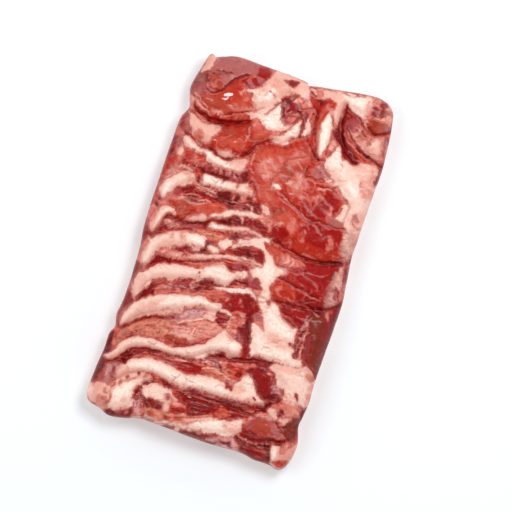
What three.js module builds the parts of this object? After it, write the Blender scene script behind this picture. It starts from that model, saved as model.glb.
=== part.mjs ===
// A raw pork belly slab, lying rib side up, as one solid.
// Its underside is flat, its four sides are cut walls with round edges, and its upper face is in relief:
// strips of fat from between the ribs stand proud, muscles swell beside them, and folds cut in between.
// Millimetres, +Z up, +X across the slab, +Y along it, origin under the middle of its outline.

import * as THREE from "three";

// Driving sizes
const UPPER_HEIGHT = 44; // upper face above the table, before the relief
const EDGE_DROP = 4; // how much lower the upper face lies along the slab's edges
const WALL_HEIGHT = 20; // where the walls stand upright, between the shoulder and the lower edge
const UNDERCUT = 0.42; // share of the shoulder's width by which the lower edge rounds in
const SHOULDER_POWER = 2.5; // 2 is an elliptical shoulder, more is squarer
const CELLS_ACROSS = 44; // facets of the upper face along X
const CELLS_ALONG = 86; // facets of the upper face along Y
const SHOULDER_STEPS = 4;
const LOWER_STEPS = 2;
const LEAST_FOLD = 5.2; // half width under which a fold is drawn wider and shallower, to suit the facets
const LINE_STEPS = 6; // straight pieces between two points of a smooth line

// The flat middle of the slab, inside the shoulder, as the outline is measured
const MIDDLE = { left: -98, right: 106, near: -194, far: 206 };

// The outline seen from above, one side after another. Each side starts at a corner.
const OUTLINE = {
  far: [[-105, 214], [-101, 219], [-96, 216.5], [-88, 219.5], [-72, 224.5], [-40, 223], [8, 220.5],
    [15, 216.5], [25, 218.5], [80, 226], [100, 226]],
  right: [[114, 219], [120, 204], [124.5, 150], [123, 115], [121, 45], [124, 10], [126, -20],
    [122.5, -100], [123, -128], [121, -150], [119.5, -161], [124.5, -181], [122, -199]],
  near: [[117, -211], [109, -215], [101, -212.5], [82, -212], [62, -208.5], [20, -209.5], [-25, -206.5],
    [-55, -205], [-72, -209.5], [-92, -212.5], [-106, -207]],
  left: [[-119, -203], [-124, -193], [-123, -168], [-120.5, -140], [-119.5, -122], [-115.5, -112],
    [-118, -98], [-115, -75], [-115, -20], [-117.5, 5], [-118, 48], [-115.5, 130], [-112, 145],
    [-108.5, 153], [-112, 165], [-114, 177], [-110, 195]],
};

// Strips of fat that stand proud: their height, and points [x, y, half width] along them
const FAT_STRIPS = [
  { name: "strip below the second muscle", rise: 3,
    line: [[-103, 119, 3], [-92, 113, 5], [-80, 109, 4], [-62, 106, 6], [-45, 102, 6], [-29, 105, 4]] },
  { name: "first rib strip, outer arch", rise: 4,
    line: [[-110, 49, 5], [-109, 60, 7], [-102, 69, 7], [-92, 76, 6], [-80, 79, 3.5]] },
  { name: "first rib strip, inner block", rise: 4, line: [[-66, 80, 6.5], [-50, 80, 6], [-30, 80, 5], [-12, 81, 5]] },
  { name: "second rib strip, outer arch", rise: 3.5, line: [[-109, 11, 5], [-107, 22, 6], [-102, 31, 6], [-93, 35, 4]] },
  { name: "second rib strip, inner part", rise: 3, line: [[-45, 31, 5], [-28, 33, 4], [-12, 36, 4], [6, 37, 3]] },
  { name: "third rib strip", rise: 4.5,
    line: [[-106, -30, 4], [-107, -17, 7], [-102, -6, 8], [-90, 1, 8.5], [-74, 7, 9], [-58, 9, 8], [-46, 7, 4]] },
  { name: "fourth rib strip", rise: 5,
    line: [[-104, -71, 2.5], [-107, -57, 7], [-101, -45, 8], [-88, -36, 8.5], [-70, -31.5, 8], [-50, -27, 7],
      [-30, -21, 8], [-12, -21, 8], [0, -14, 5]] },
  { name: "fifth rib strip", rise: 5,
    line: [[-110, -107, 3], [-108, -95, 6.5], [-99, -84, 8.5], [-84, -74, 9.5], [-66, -67, 8.5], [-46, -60, 7.5],
      [-28, -56, 6], [-12, -58, 4]] },
  { name: "sixth rib strip", rise: 5.5,
    line: [[-115, -148, 3.5], [-107, -143, 5], [-100, -131, 5], [-89, -122, 5.5], [-74, -119.5, 5.5], [-55, -120, 5],
      [-35, -118, 5.5], [-18, -110, 5.5], [-6, -101, 6], [8, -95, 9], [24, -96, 8]] },
  { name: "broad last strip", rise: 5.5,
    line: [[-98, -164, 4], [-92, -155, 6], [-80, -148, 7], [-62, -144, 7.5], [-40, -147, 8], [-22, -149.5, 8.5],
      [0, -146, 8.5], [25, -147, 8], [50, -148, 7], [67, -146, 5]] },
  { name: "strip along the near edge", rise: 3, line: [[-25, -199, 3], [0, -193, 5], [25, -188, 7], [50, -182, 7]] },
  { name: "fat of the near left curl", rise: 4.5, line: [[-72, -166, 5], [-80, -176, 9], [-88, -188, 13], [-92, -195, 10]] },
  { name: "spindle at the far end", rise: 5, line: [[48, 193, 3], [47, 178, 7], [49, 162, 7], [51, 145, 3.5]] },
  { name: "strip beside the spindle", rise: 3, line: [[3, 150, 4], [12, 160, 5], [17, 176, 3]] },
];

// Muscles and slabs of fat that swell up from their rims: height, width of the rim, and outline
const SWELLS = [
  { name: "flap at the far left", rise: 5.5, rim: 15,
    outline: [[-114, 184], [-108, 205], [-98, 219], [-60, 225], [-10, 223], [8, 208], [-8, 192], [-18, 178], [-40, 168],
      [-62, 156], [-80, 151], [-99, 158]] },
  { name: "second muscle", rise: 4, rim: 12,
    outline: [[-106, 142], [-72, 143], [-35, 154], [-8, 156], [-10, 146], [-22, 136], [-31, 119], [-60, 117], [-90, 121],
      [-104, 130]] },
  { name: "broad muscle, far half", rise: 5, rim: 18,
    outline: [[-22, 100], [-25, 120], [-12, 140], [10, 149], [29, 158], [44, 138], [62, 128], [76, 113], [96, 98], [104, 70],
      [108, 44], [100, 37], [70, 30], [28, 38], [14, 54], [8, 68], [-6, 84]] },
  { name: "broad muscle, near half", rise: 4.5, rim: 13,
    outline: [[24, 31], [60, 25], [85, 23], [112, 27], [107, 2], [108, -16], [98, -26], [75, -27], [46, -28], [42, -12],
      [54, 2], [38, 12]] },
  { name: "dark muscle of the right flank", rise: 3, rim: 10,
    outline: [[58, -36], [90, -32], [123, -30], [124, -60], [121, -92], [102, -90], [93, -60], [80, -51]] },
  { name: "slab of fat on the right", rise: 2.5, rim: 9,
    outline: [[35, -65], [45, -97], [70, -99], [97, -95], [87, -76], [84, -56], [66, -47], [50, -37], [34, -33], [46, -60]] },
  { name: "fat of the near right corner", rise: 4.5, rim: 13,
    outline: [[72, -103], [118, -97], [122, -136], [112, -160], [88, -156], [82, -140], [86, -126]] },
  { name: "muscle by the near edge", rise: 3.5, rim: 9,
    outline: [[57, -180], [66, -166], [86, -162], [98, -170], [108, -180], [90, -186], [62, -190]] },
  { name: "short dark muscle", rise: 3, rim: 7,
    outline: [[43, -116], [62, -109], [74, -117], [77, -138], [66, -140], [54, -126]] },
  { name: "far right corner", rise: 4.5, rim: 10,
    outline: [[60, 218], [88, 224], [112, 222], [120, 204], [112, 191], [88, 201], [68, 208]] },
  { name: "roll beside the far right corner", rise: 4, rim: 10,
    outline: [[70, 203], [88, 196], [100, 188], [121, 188], [122, 160], [104, 161], [84, 170], [70, 184]] },
  { name: "fat of the far right side", rise: 3.5, rim: 12,
    outline: [[60, 132], [70, 158], [84, 148], [104, 152], [122, 148], [121, 92], [104, 76], [98, 98], [80, 116]] },
  { name: "near left corner", rise: 3, rim: 10,
    outline: [[-122, -152], [-104, -154], [-96, -176], [-100, -200], [-120, -200]] },
];

// Folds that cut in: their depth, and points [x, y, half width] along them
const FOLDS = [
  { name: "below the far left flap", depth: 7.5,
    line: [[-104, 157, 2], [-94, 152, 4], [-80, 147.5, 5], [-62, 149.5, 5], [-46, 155, 3], [-38, 159, 2]] },
  { name: "between second and broad muscle", depth: 5, line: [[-33, 118, 3], [-25, 130, 4.5], [-16, 140, 3.5], [-5, 146, 2.5]] },
  { name: "across the broad muscle", depth: 5.5,
    line: [[24, 38, 2.5], [40, 33, 3.5], [60, 27, 4.5], [80, 26.5, 4.5], [98, 29, 4.5], [116, 35, 3]] },
  { name: "near end of the broad muscle", depth: 4,
    line: [[46, -30, 3], [62, -31, 3], [80, -29, 3], [98, -28, 4], [112, -22, 4], [125, -11, 3]] },
  { name: "left of the far right roll", depth: 7,
    line: [[62, 210, 3], [62, 190, 4], [66, 175, 5.5], [74, 163, 5.5], [84, 155, 4], [92, 149, 3]] },
  { name: "below the far right roll", depth: 4.5, line: [[78, 171, 3], [92, 163, 3.5], [108, 157, 3.5], [124, 153, 3.5]] },
  { name: "between the far right roll and corner", depth: 5, line: [[96, 191, 3], [106, 187, 4], [114, 190, 4], [122, 197, 3]] },
  { name: "left of the spindle", depth: 5, line: [[32, 205, 3], [35, 188, 4], [36, 170, 4], [42, 152, 3.5], [49, 139, 3]] },
  { name: "below the second muscle", depth: 4, line: [[-104, 124, 3], [-88, 119, 3], [-74, 115, 3.5], [-60, 110.5, 4], [-48, 109, 3]] },
  { name: "above the first rib strip", depth: 3.5, line: [[-96, 86, 3], [-80, 86, 3.5], [-62, 88, 3], [-46, 87, 2.5]] },
  { name: "below the first rib strip", depth: 4, line: [[-94, 61, 4], [-76, 63, 4], [-50, 64, 4], [-32, 61, 4], [-16, 66, 3]] },
  { name: "above the second rib strip", depth: 4, line: [[-98, 25, 3], [-74, 26, 4], [-58, 29, 4], [-46, 35, 3], [-28, 38, 3]] },
  { name: "above the third rib strip", depth: 3.5, line: [[-108, 2, 3.5], [-97, 6, 4], [-84, 14, 3.5], [-66, 20, 3]] },
  { name: "above the fourth rib strip", depth: 4,
    line: [[-103, -37, 3.5], [-97, -27, 4.5], [-86, -22, 4], [-68, -20, 3], [-48, -14, 3], [-26, -7, 3]] },
  { name: "above the fifth rib strip", depth: 4.5,
    line: [[-103, -77, 3], [-97, -67, 4.5], [-87, -60, 5], [-70, -55, 3.5], [-50, -49, 3], [-36, -42, 3]] },
  { name: "above the sixth rib strip", depth: 4.5,
    line: [[-118, -136, 3], [-111, -117, 4.5], [-101, -103, 4], [-88, -94, 4], [-70, -87.5, 3.5], [-56, -84, 3]] },
  { name: "above the broad last strip", depth: 5.5,
    line: [[-113, -154, 3], [-100, -146, 5], [-88, -135, 5.5], [-70, -128, 4.5], [-48, -127, 3.5], [-20, -124, 3]] },
  { name: "above the short dark muscle", depth: 4.5,
    line: [[-4, -113, 4], [12, -109, 4], [30, -107, 3.5], [50, -102.5, 3.5], [68, -101, 3.5]] },
  { name: "below the broad last strip", depth: 5.5,
    line: [[-66, -164, 3], [-44, -158, 4], [-24, -164, 5.5], [0, -161, 6], [24, -161, 5], [50, -160, 4], [68, -155, 4], [80, -147, 3]] },
  { name: "beside the near left curl", depth: 4.5, line: [[-68, -174, 3], [-66, -183, 3.5], [-60, -193, 3.5], [-56, -205, 3]] },
  { name: "below the near muscle", depth: 5, line: [[54, -194, 3], [72, -197, 4.5], [92, -193, 4.5], [104, -186, 3.5], [116, -178, 3]] },
  { name: "left of the right slab of fat", depth: 3.5, line: [[28, -60, 4], [30, -75, 5], [35, -90, 4.5], [38, -99, 3.5]] },
  { name: "notch of the near right side", depth: 5, line: [[110, -140, 3], [120, -150, 5], [116, -162, 4]] },
];

// Points along a smooth line through the given points: x and y, and the half width where there is one
function smoothLine(points, closed) {
  const count = points.length;
  const at = (i) => (closed ? points[(i + count) % count] : points[Math.min(Math.max(i, 0), count - 1)]);
  const line = [];
  const pieces = closed ? count : count - 1;
  for (let i = 0; i < pieces; i++) {
    for (let step = 0; step < LINE_STEPS; step++) {
      const t = step / LINE_STEPS;
      const [a, b, c, d] = [at(i - 1), at(i), at(i + 1), at(i + 2)];
      line.push(b.map((value, k) => value + 0.5 * t * (c[k] - a[k]
        + t * (2 * a[k] - 5 * value + 4 * c[k] - d[k] + t * (3 * (value - c[k]) + d[k] - a[k])))));
    }
  }
  if (!closed) line.push(points[count - 1]);
  return line;
}

// The nearest place to (x, y) on a line: its distance, and the line's half width there
function nearest(line, x, y, closed) {
  let best = { distance: Infinity, half: 1 };
  const pieces = closed ? line.length : line.length - 1;
  for (let i = 0; i < pieces; i++) {
    const a = line[i];
    const b = line[(i + 1) % line.length];
    const [dx, dy] = [b[0] - a[0], b[1] - a[1]];
    const t = Math.min(Math.max(((x - a[0]) * dx + (y - a[1]) * dy) / (dx * dx + dy * dy || 1), 0), 1);
    const distance = Math.hypot(x - a[0] - t * dx, y - a[1] - t * dy);
    if (distance < best.distance) best = { distance, half: a[2] + t * (b[2] - a[2]) };
  }
  return best;
}

function isInside(outline, x, y) {
  let inside = false;
  for (let i = 0, j = outline.length - 1; i < outline.length; j = i++) {
    const [a, b] = [outline[i], outline[j]];
    if (a[1] > y !== b[1] > y && x < a[0] + ((b[0] - a[0]) * (y - a[1])) / (b[1] - a[1])) inside = !inside;
  }
  return inside;
}

const smoothStep = (t) => t * t * (3 - 2 * t);
const strips = FAT_STRIPS.map((strip) => ({ ...strip, line: smoothLine(strip.line, false) }));
const swells = SWELLS.map((swell) => ({ ...swell, outline: smoothLine(swell.outline, true) }));
const folds = FOLDS.map((fold) => ({ ...fold, line: smoothLine(fold.line, false) }));

// How far the relief stands above the plain upper face at (x, y)
function relief(x, y) {
  let height = 0;
  for (const { rise, rim, outline } of swells) {
    if (!isInside(outline, x, y)) continue;
    const depthInside = nearest(outline, x, y, true).distance;
    height += rise * smoothStep(Math.min(depthInside / rim, 1));
  }
  for (const { rise, line } of strips) {
    const { distance, half } = nearest(line, x, y, false);
    const share = distance / (half + 1);
    if (share < 1) height += rise * (1 - share * share) ** 0.7;
  }
  for (const { depth, line } of folds) {
    const { distance, half } = nearest(line, x, y, false);
    const width = Math.max(half + 1.5, LEAST_FOLD);
    const share = distance / width;
    if (share < 1) height -= depth * ((half + 1.5) / width) * (1 - share * share) ** 1.5;
  }
  return height;
}

// The plain upper face: a low crown that falls off towards the edges, with a slow unevenness
function plainHeight(x, y) {
  const across = (2 * x - MIDDLE.left - MIDDLE.right) / (MIDDLE.right - MIDDLE.left);
  const along = (2 * y - MIDDLE.near - MIDDLE.far) / (MIDDLE.far - MIDDLE.near);
  const fall = EDGE_DROP * Math.min(across ** 4 + along ** 4, 1.5) * 0.6;
  return UPPER_HEIGHT - fall + 0.8 * Math.sin(x / 31 + y / 47) + 0.8 * Math.sin(y / 38 - x / 53);
}

// Even places along one side of the outline, one for each facet of the middle's side
function sidePlaces(outline, from, to, count) {
  const side = outline.slice(from, to + 1);
  const reach = [0];
  for (let i = 1; i < side.length; i++) {
    reach.push(reach[i - 1] + Math.hypot(side[i][0] - side[i - 1][0], side[i][1] - side[i - 1][1]));
  }
  const places = [];
  for (let i = 0, k = 0; i < count; i++) {
    const wanted = (reach[reach.length - 1] * i) / count;
    while (reach[k + 1] < wanted) k++;
    const t = (wanted - reach[k]) / (reach[k + 1] - reach[k]);
    places.push([side[k][0] + t * (side[k + 1][0] - side[k][0]), side[k][1] + t * (side[k + 1][1] - side[k][1])]);
  }
  return places;
}

// The outline's places in the order of the middle's rim: far, right, near, left
function outlinePlaces() {
  const sides = [OUTLINE.far, OUTLINE.right, OUTLINE.near, OUTLINE.left];
  const counts = [CELLS_ACROSS, CELLS_ALONG, CELLS_ACROSS, CELLS_ALONG];
  const smooth = smoothLine(sides.flat(), true);
  smooth.push(smooth[0]);
  let from = 0;
  return sides.flatMap((side, i) => {
    const to = from + side.length * LINE_STEPS;
    const places = sidePlaces(smooth, from, to, counts[i]);
    from = to;
    return places;
  });
}

// The slab's section outside the middle: share of the way out to the outline, share of the upper
// face's height above the wall, and share of the wall's height
function sectionRows() {
  const rows = [];
  for (let i = 1; i <= SHOULDER_STEPS; i++) {
    const turn = (Math.PI / 2) * (i / SHOULDER_STEPS);
    rows.push({ out: Math.sin(turn) ** (2 / SHOULDER_POWER), up: Math.max(Math.cos(turn), 0) ** (2 / SHOULDER_POWER), wall: 1 });
  }
  for (let i = 1; i <= LOWER_STEPS; i++) {
    const turn = (Math.PI / 2) * (i / LOWER_STEPS);
    rows.push({ out: 1 - UNDERCUT * (1 - Math.cos(turn)), up: 0, wall: 1 - Math.sin(turn) });
  }
  return rows;
}

function slabGeometry() {
  const positions = [];
  const triangles = [];
  const addPoint = (x, y, z) => positions.push(x, y, z) / 3 - 1;
  const height = (i) => positions[3 * i + 2];

  // Two triangles, parted along the more level diagonal
  const addQuad = (a, b, c, d) => {
    if (Math.abs(height(a) - height(c)) <= Math.abs(height(b) - height(d))) triangles.push(a, b, c, a, c, d);
    else triangles.push(a, b, d, b, c, d);
  };

  // The middle of the upper face
  const middle = [];
  for (let j = 0; j <= CELLS_ALONG; j++) {
    const y = MIDDLE.near + ((MIDDLE.far - MIDDLE.near) * j) / CELLS_ALONG;
    for (let i = 0; i <= CELLS_ACROSS; i++) {
      const x = MIDDLE.left + ((MIDDLE.right - MIDDLE.left) * i) / CELLS_ACROSS;
      middle.push(addPoint(x, y, plainHeight(x, y) + relief(x, y)));
    }
  }
  const cell = (i, j) => middle[j * (CELLS_ACROSS + 1) + i];
  for (let j = 0; j < CELLS_ALONG; j++) {
    for (let i = 0; i < CELLS_ACROSS; i++) addQuad(cell(i, j), cell(i + 1, j), cell(i + 1, j + 1), cell(i, j + 1));
  }

  // Its rim, clockwise from the far left corner, as the outline runs
  const rim = [];
  for (let i = 0; i < CELLS_ACROSS; i++) rim.push(cell(i, CELLS_ALONG));
  for (let j = CELLS_ALONG; j > 0; j--) rim.push(cell(CELLS_ACROSS, j));
  for (let i = CELLS_ACROSS; i > 0; i--) rim.push(cell(i, 0));
  for (let j = 0; j < CELLS_ALONG; j++) rim.push(cell(0, j));

  // Shoulder, wall and lower edge, ring by ring
  const outline = outlinePlaces();
  const count = rim.length;
  let ring = rim;
  for (const { out, up, wall } of sectionRows()) {
    const next = rim.map((inner, i) => {
      const x = positions[3 * inner] + out * (outline[i][0] - positions[3 * inner]);
      const y = positions[3 * inner + 1] + out * (outline[i][1] - positions[3 * inner + 1]);
      const upper = up > 0 ? plainHeight(x, y) + relief(x, y) : UPPER_HEIGHT;
      return addPoint(x, y, WALL_HEIGHT * wall + up * (upper - WALL_HEIGHT));
    });
    for (let i = 0; i < count; i++) addQuad(ring[i], ring[(i + 1) % count], next[(i + 1) % count], next[i]);
    ring = next;
  }

  // The flat underside, from its middle out to the last ring
  const underside = addPoint((MIDDLE.left + MIDDLE.right) / 2, (MIDDLE.near + MIDDLE.far) / 2, 0);
  for (let i = 0; i < count; i++) triangles.push(ring[i], ring[(i + 1) % count], underside);

  const geometry = new THREE.BufferGeometry();
  geometry.setAttribute("position", new THREE.Float32BufferAttribute(positions, 3));
  geometry.setIndex(triangles);
  geometry.computeBoundingBox();
  const { min, max } = geometry.boundingBox;
  geometry.translate(-(min.x + max.x) / 2, -(min.y + max.y) / 2, 0);
  geometry.computeVertexNormals();
  return geometry;
}

const rawMeat = new THREE.MeshStandardMaterial({ color: 0xc9756b, roughness: 0.45, metalness: 0 });
const slab = new THREE.Mesh(slabGeometry(), rawMeat);
slab.name = "pork_belly_slab";

const pork = new THREE.Group();
pork.add(slab);
export default pork;
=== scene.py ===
# A raw pork belly slab, rib side up: one wet piece of meat, painted and shaped over its plain solid.
# Millimetres in the lists and formulas, as the meat is measured, and metres in the finished mesh.
# The lists measure from a point near the middle of the slab: x across it and y along it, to the far end.

import math

import bpy
import numpy as np
from mathutils import Matrix, Vector


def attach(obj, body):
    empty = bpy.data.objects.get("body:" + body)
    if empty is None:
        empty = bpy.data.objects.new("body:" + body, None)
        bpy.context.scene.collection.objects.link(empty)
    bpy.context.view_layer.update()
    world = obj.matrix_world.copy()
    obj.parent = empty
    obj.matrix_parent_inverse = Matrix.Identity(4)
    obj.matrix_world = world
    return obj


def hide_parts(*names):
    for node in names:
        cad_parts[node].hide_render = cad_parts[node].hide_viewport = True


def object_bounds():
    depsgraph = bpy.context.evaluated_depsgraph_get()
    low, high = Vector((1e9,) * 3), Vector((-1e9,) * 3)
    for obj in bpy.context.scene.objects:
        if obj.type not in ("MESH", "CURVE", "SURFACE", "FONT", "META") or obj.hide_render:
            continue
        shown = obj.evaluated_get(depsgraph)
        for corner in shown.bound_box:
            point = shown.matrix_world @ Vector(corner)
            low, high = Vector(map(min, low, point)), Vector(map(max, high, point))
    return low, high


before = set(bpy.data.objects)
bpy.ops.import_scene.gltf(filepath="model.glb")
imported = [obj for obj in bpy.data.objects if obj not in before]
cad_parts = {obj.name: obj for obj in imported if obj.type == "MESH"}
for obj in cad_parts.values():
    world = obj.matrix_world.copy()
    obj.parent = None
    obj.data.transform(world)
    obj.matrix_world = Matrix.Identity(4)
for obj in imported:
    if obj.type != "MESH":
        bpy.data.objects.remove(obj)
cad_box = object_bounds()

MM = 0.001

# Shape of the slab, as the solid has it
UPPER_HEIGHT = 44
EDGE_DROP = 4
WALL_HEIGHT = 20
WALL_SWAY = 2.2
UNDERCUT = 0.42
SHOULDER_POWER = 2.5
LINE_STEPS = 6
LEFT, RIGHT, NEAR, FAR = -98, 106, -194, 206

# The outline stands a little further out than the drawn patches and folds, which are stretched to fit it
DRAWING_STRETCH = (1.009, 1.009)
DRAWING_SHIFT = (-0.9, 1.3)

# How finely it is divided for looks
CELLS_ACROSS = 176
CELLS_ALONG = 346
SHOULDER_ROWS = 19
LOWER_ROWS = 10
UNDERSIDE_ROWS = 2

NOISE_TABLE = 61
FOLD_SHOULDER = 4.5
CREASE_REACH = 6
CREASE_DEPTH = 1.3
WANDER = 1.1
THREAD_SEED = 8
FRINGE_SEED = 3
GRAIN = 0.45
GRAIN_SIZE = 3
FILM_BODY = 0.72
PATCH_BODY = 0.95
GROUND_TINTS = [("wine", 61), ("rose", 65)]
BLOODY_TINTS = ("bright", "crimson", "deep", "black", "plum", "wine")
FEEL = 3
CALM_SWELLS = 9
CRISPNESS = 0.8
ARCH_START = -50
ARCH_FALL = 0.008
ARCH_RISE = 0.1
WALL_PAINT_TOP = 28
WALL_PAINT_BLEND = 5

# Where the photograph was taken from: pixels of a 512 pixel square, and how the slab leans in it
PICTURE_SIDE = 512
MM_PER_PIXEL = 1.143
SLAB_CENTRE_PIXEL = (242.6, 256.9)
SLAB_LEAN = math.radians(17.2)
VIEW_ELEVATION = math.radians(88)
LENS = 300
SENSOR = 36
PICTURE_HEIGHT = 32

# Layers in the cut sides, from the underside up: tint, middle height, thickness, and waves round the slab
WALL_LAYERS = [
    ("red", 14, 7.5, [(3, 1.6, 0.3), (7, 1.1, 1.9), (17, 0.6, 0.4)]),
    ("crimson", 15, 3, [(3, 1.6, 0.3), (7, 1.1, 1.9), (13, 0.8, 2.1)]),
    ("bright", 24, 5.5, [(4, 1.4, 1.3), (9, 1.0, 0.2), (21, 0.6, 1.7)]),
    ("rose", 19, 1.2, [(5, 1.2, 2.2), (11, 0.9, 0.7), (19, 0.5, 1.1)]),
    ("rosefat", 7.5, 1.6, [(4, 0.9, 0.5), (9, 0.7, 1.2), (27, 0.3, 0.6)]),
]

# Threads strewn over the upper face: tint, strength, and how many
STREWN = [("rosefat", 0.3, 130), ("blush", 0.3, 60), ("crimson", 0.4, 140), ("rose", 0.4, 120)]

# Lights: name, right and up in the picture, height, size, and power
WORLD_FADE = (0.3, 0.85, 1.0, 0.24)
LIGHTS = [
    ("key", 0.5, 0.42, 1.5, 0.6, 12),
    ("fill", -0.8, 0.1, 1.6, 1.0, 8),
]
LIGHT_LEVEL = 1.0
HAZE = (0.010, 0.018, 0.020)
LEAST_PIGMENT = 0.002
PINK_CLOUD = (0.72, 0.32, 0.26)
PINK_RIM = (0.60, 0.20, 0.16)
FILM_VEIL = (1.1, 1.45, 1.4)
BLOOD_SPECK = (0.50, 0.12, 0.10)
CREASE_SHADE = (0.6, 0.05, 0.05)
BLOOD_SHADE = (0.86, 0.66, 0.68)
BLOODLESS_SHADE = (1.0, 0.99, 0.99)
FLECK_COLOUR = (0.66, 0.28, 0.24)
# Colour of the painted highlights
PAINTED_HIGHLIGHT_COLOUR = (0.95, 0.86, 0.82)

# What the painted shade at the outermost rim, the dark streaks, and the painted shade in the hollows take
# from red, green and blue
RIM_SHADE_LEAN_LOSS = (0.12, 0.46, 0.42)
RIM_SHADE_FAT_LOSS = (0.06, 0.2, 0.18)
STREAK_LOSS = (0.25, 0.5, 0.45)
HOLLOW_SHADE_LEAN_LOSS = (0.2, 0.62, 0.58)
HOLLOW_SHADE_FAT_LOSS = (0.06, 0.22, 0.2)

# The outline seen from above, one side after another, as x, y pairs; each side starts at a corner
OUTLINE = {
    "far": [-105, 214, -101, 219, -96, 216.5, -88, 219.5, -72, 224.5, -40, 223, 8, 220.5, 15, 216.5, 25,
         218.5, 80, 226, 100, 226],
    "right": [114, 219, 120, 204, 124.5, 150, 123, 115, 121, 45, 124, 10, 126, -20, 122.5, -100, 123, -128,
         121, -150, 119.5, -161, 124.5, -181, 122, -199],
    "near": [117, -211, 109, -215, 101, -212.5, 82, -212, 62, -208.5, 20, -209.5, -25, -206.5, -55, -205,
         -72, -209.5, -92, -212.5, -106, -207],
    "left": [-119, -203, -124, -193, -123, -168, -120.5, -140, -119.5, -122, -115.5, -112, -118, -98, -115,
         -75, -115, -20, -117.5, 5, -118, 48, -115.5, 130, -112, 145, -108.5, 153, -112, 165, -114, 177,
         -110, 195],
}

# Strips of fat that stand proud: height, then x, y and half width along them
FAT_STRIPS = [
    # strip below the second muscle
    (3, [-103, 119, 3, -92, 113, 5, -80, 109, 4, -62, 106, 6, -45, 102, 6, -29, 105, 4]),
    # first rib strip, outer arch
    (4, [-110, 49, 5, -109, 60, 7, -102, 69, 7, -92, 76, 6, -80, 79, 3.5]),
    # first rib strip, inner block
    (4, [-66, 80, 6.5, -50, 80, 6, -30, 80, 5, -12, 81, 5]),
    # second rib strip, outer arch
    (3.5, [-109, 11, 5, -107, 22, 6, -102, 31, 6, -93, 35, 4]),
    # second rib strip, inner part
    (3, [-45, 31, 5, -28, 33, 4, -12, 36, 4, 6, 37, 3]),
    # third rib strip
    (4.5, [-106, -30, 4, -107, -17, 7, -102, -6, 8, -90, 1, 8.5, -74, 7, 9, -58, 9, 8, -46, 7, 4]),
    # fourth rib strip
    (5, [-104, -71, 2.5, -107, -57, 7, -101, -45, 8, -88, -36, 8.5, -70, -31.5, 8, -50, -27, 7, -30, -21, 8,
         -12, -21, 8, 0, -14, 5]),
    # fifth rib strip
    (5, [-110, -107, 3, -108, -95, 6.5, -99, -84, 8.5, -84, -74, 9.5, -66, -67, 8.5, -46, -60, 7.5, -28,
         -56, 6, -12, -58, 4]),
    # sixth rib strip
    (5.5, [-115, -148, 3.5, -107, -143, 5, -100, -131, 5, -89, -122, 5.5, -74, -119.5, 5.5, -55, -120, 5,
         -35, -118, 5.5, -18, -110, 5.5, -6, -101, 6, 8, -95, 9, 24, -96, 8]),
    # broad last strip
    (5.5, [-98, -164, 4, -92, -155, 6, -80, -148, 7, -62, -144, 7.5, -40, -147, 8, -22, -149.5, 8.5, 0,
         -146, 8.5, 25, -147, 8, 50, -148, 7, 67, -146, 5]),
    # strip along the near edge
    (3, [-25, -199, 3, 0, -193, 5, 25, -188, 7, 50, -182, 7]),
    # fat of the near left curl
    (4.5, [-72, -166, 5, -80, -176, 9, -88, -188, 13, -92, -195, 10]),
    # spindle at the far end
    (5, [48, 193, 3, 47, 178, 7, 49, 162, 7, 51, 145, 3.5]),
    # strip beside the spindle
    (3, [3, 150, 4, 12, 160, 5, 17, 176, 3]),
]

# Muscles and slabs of fat that swell up: height, width of the rim, then the outline as x, y pairs
SWELLS = [
    # flap at the far left
    (5.5, 15, [-114, 184, -108, 205, -98, 219, -60, 225, -10, 223, 8, 208, -8, 192, -18, 178, -40, 168, -62,
         156, -80, 151, -99, 158]),
    # second muscle
    (4, 12, [-106, 142, -72, 143, -35, 154, -8, 156, -10, 146, -22, 136, -31, 119, -60, 117, -90, 121, -104,
         130]),
    # broad muscle, far half
    (5, 18, [-22, 100, -25, 120, -12, 140, 10, 149, 29, 158, 44, 138, 62, 128, 76, 113, 96, 98, 104, 70,
         108, 44, 100, 37, 70, 30, 28, 38, 14, 54, 8, 68, -6, 84]),
    # broad muscle, near half
    (4.5, 13, [24, 31, 60, 25, 85, 23, 112, 27, 107, 2, 108, -16, 98, -26, 75, -27, 46, -28, 42, -12, 54, 2,
         38, 12]),
    # dark muscle of the right flank
    (3, 10, [58, -36, 90, -32, 123, -30, 124, -60, 121, -92, 102, -90, 93, -60, 80, -51]),
    # slab of fat on the right
    (2.5, 9, [35, -65, 45, -97, 70, -99, 97, -95, 87, -76, 84, -56, 66, -47, 50, -37, 34, -33, 46, -60]),
    # fat of the near right corner
    (4.5, 13, [72, -103, 118, -97, 122, -136, 112, -160, 88, -156, 82, -140, 86, -126]),
    # muscle by the near edge
    (3.5, 9, [57, -180, 66, -166, 86, -162, 98, -170, 108, -180, 90, -186, 62, -190]),
    # short dark muscle
    (3, 7, [43, -116, 62, -109, 74, -117, 77, -138, 66, -140, 54, -126]),
    # far right corner
    (4.5, 10, [60, 218, 88, 224, 112, 222, 120, 204, 112, 191, 88, 201, 68, 208]),
    # roll beside the far right corner
    (4, 10, [70, 203, 88, 196, 100, 188, 121, 188, 122, 160, 104, 161, 84, 170, 70, 184]),
    # fat of the far right side
    (3.5, 12, [60, 132, 70, 158, 84, 148, 104, 152, 122, 148, 121, 92, 104, 76, 98, 98, 80, 116]),
    # near left corner
    (3, 10, [-122, -152, -104, -154, -96, -176, -100, -200, -120, -200]),
]

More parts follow.
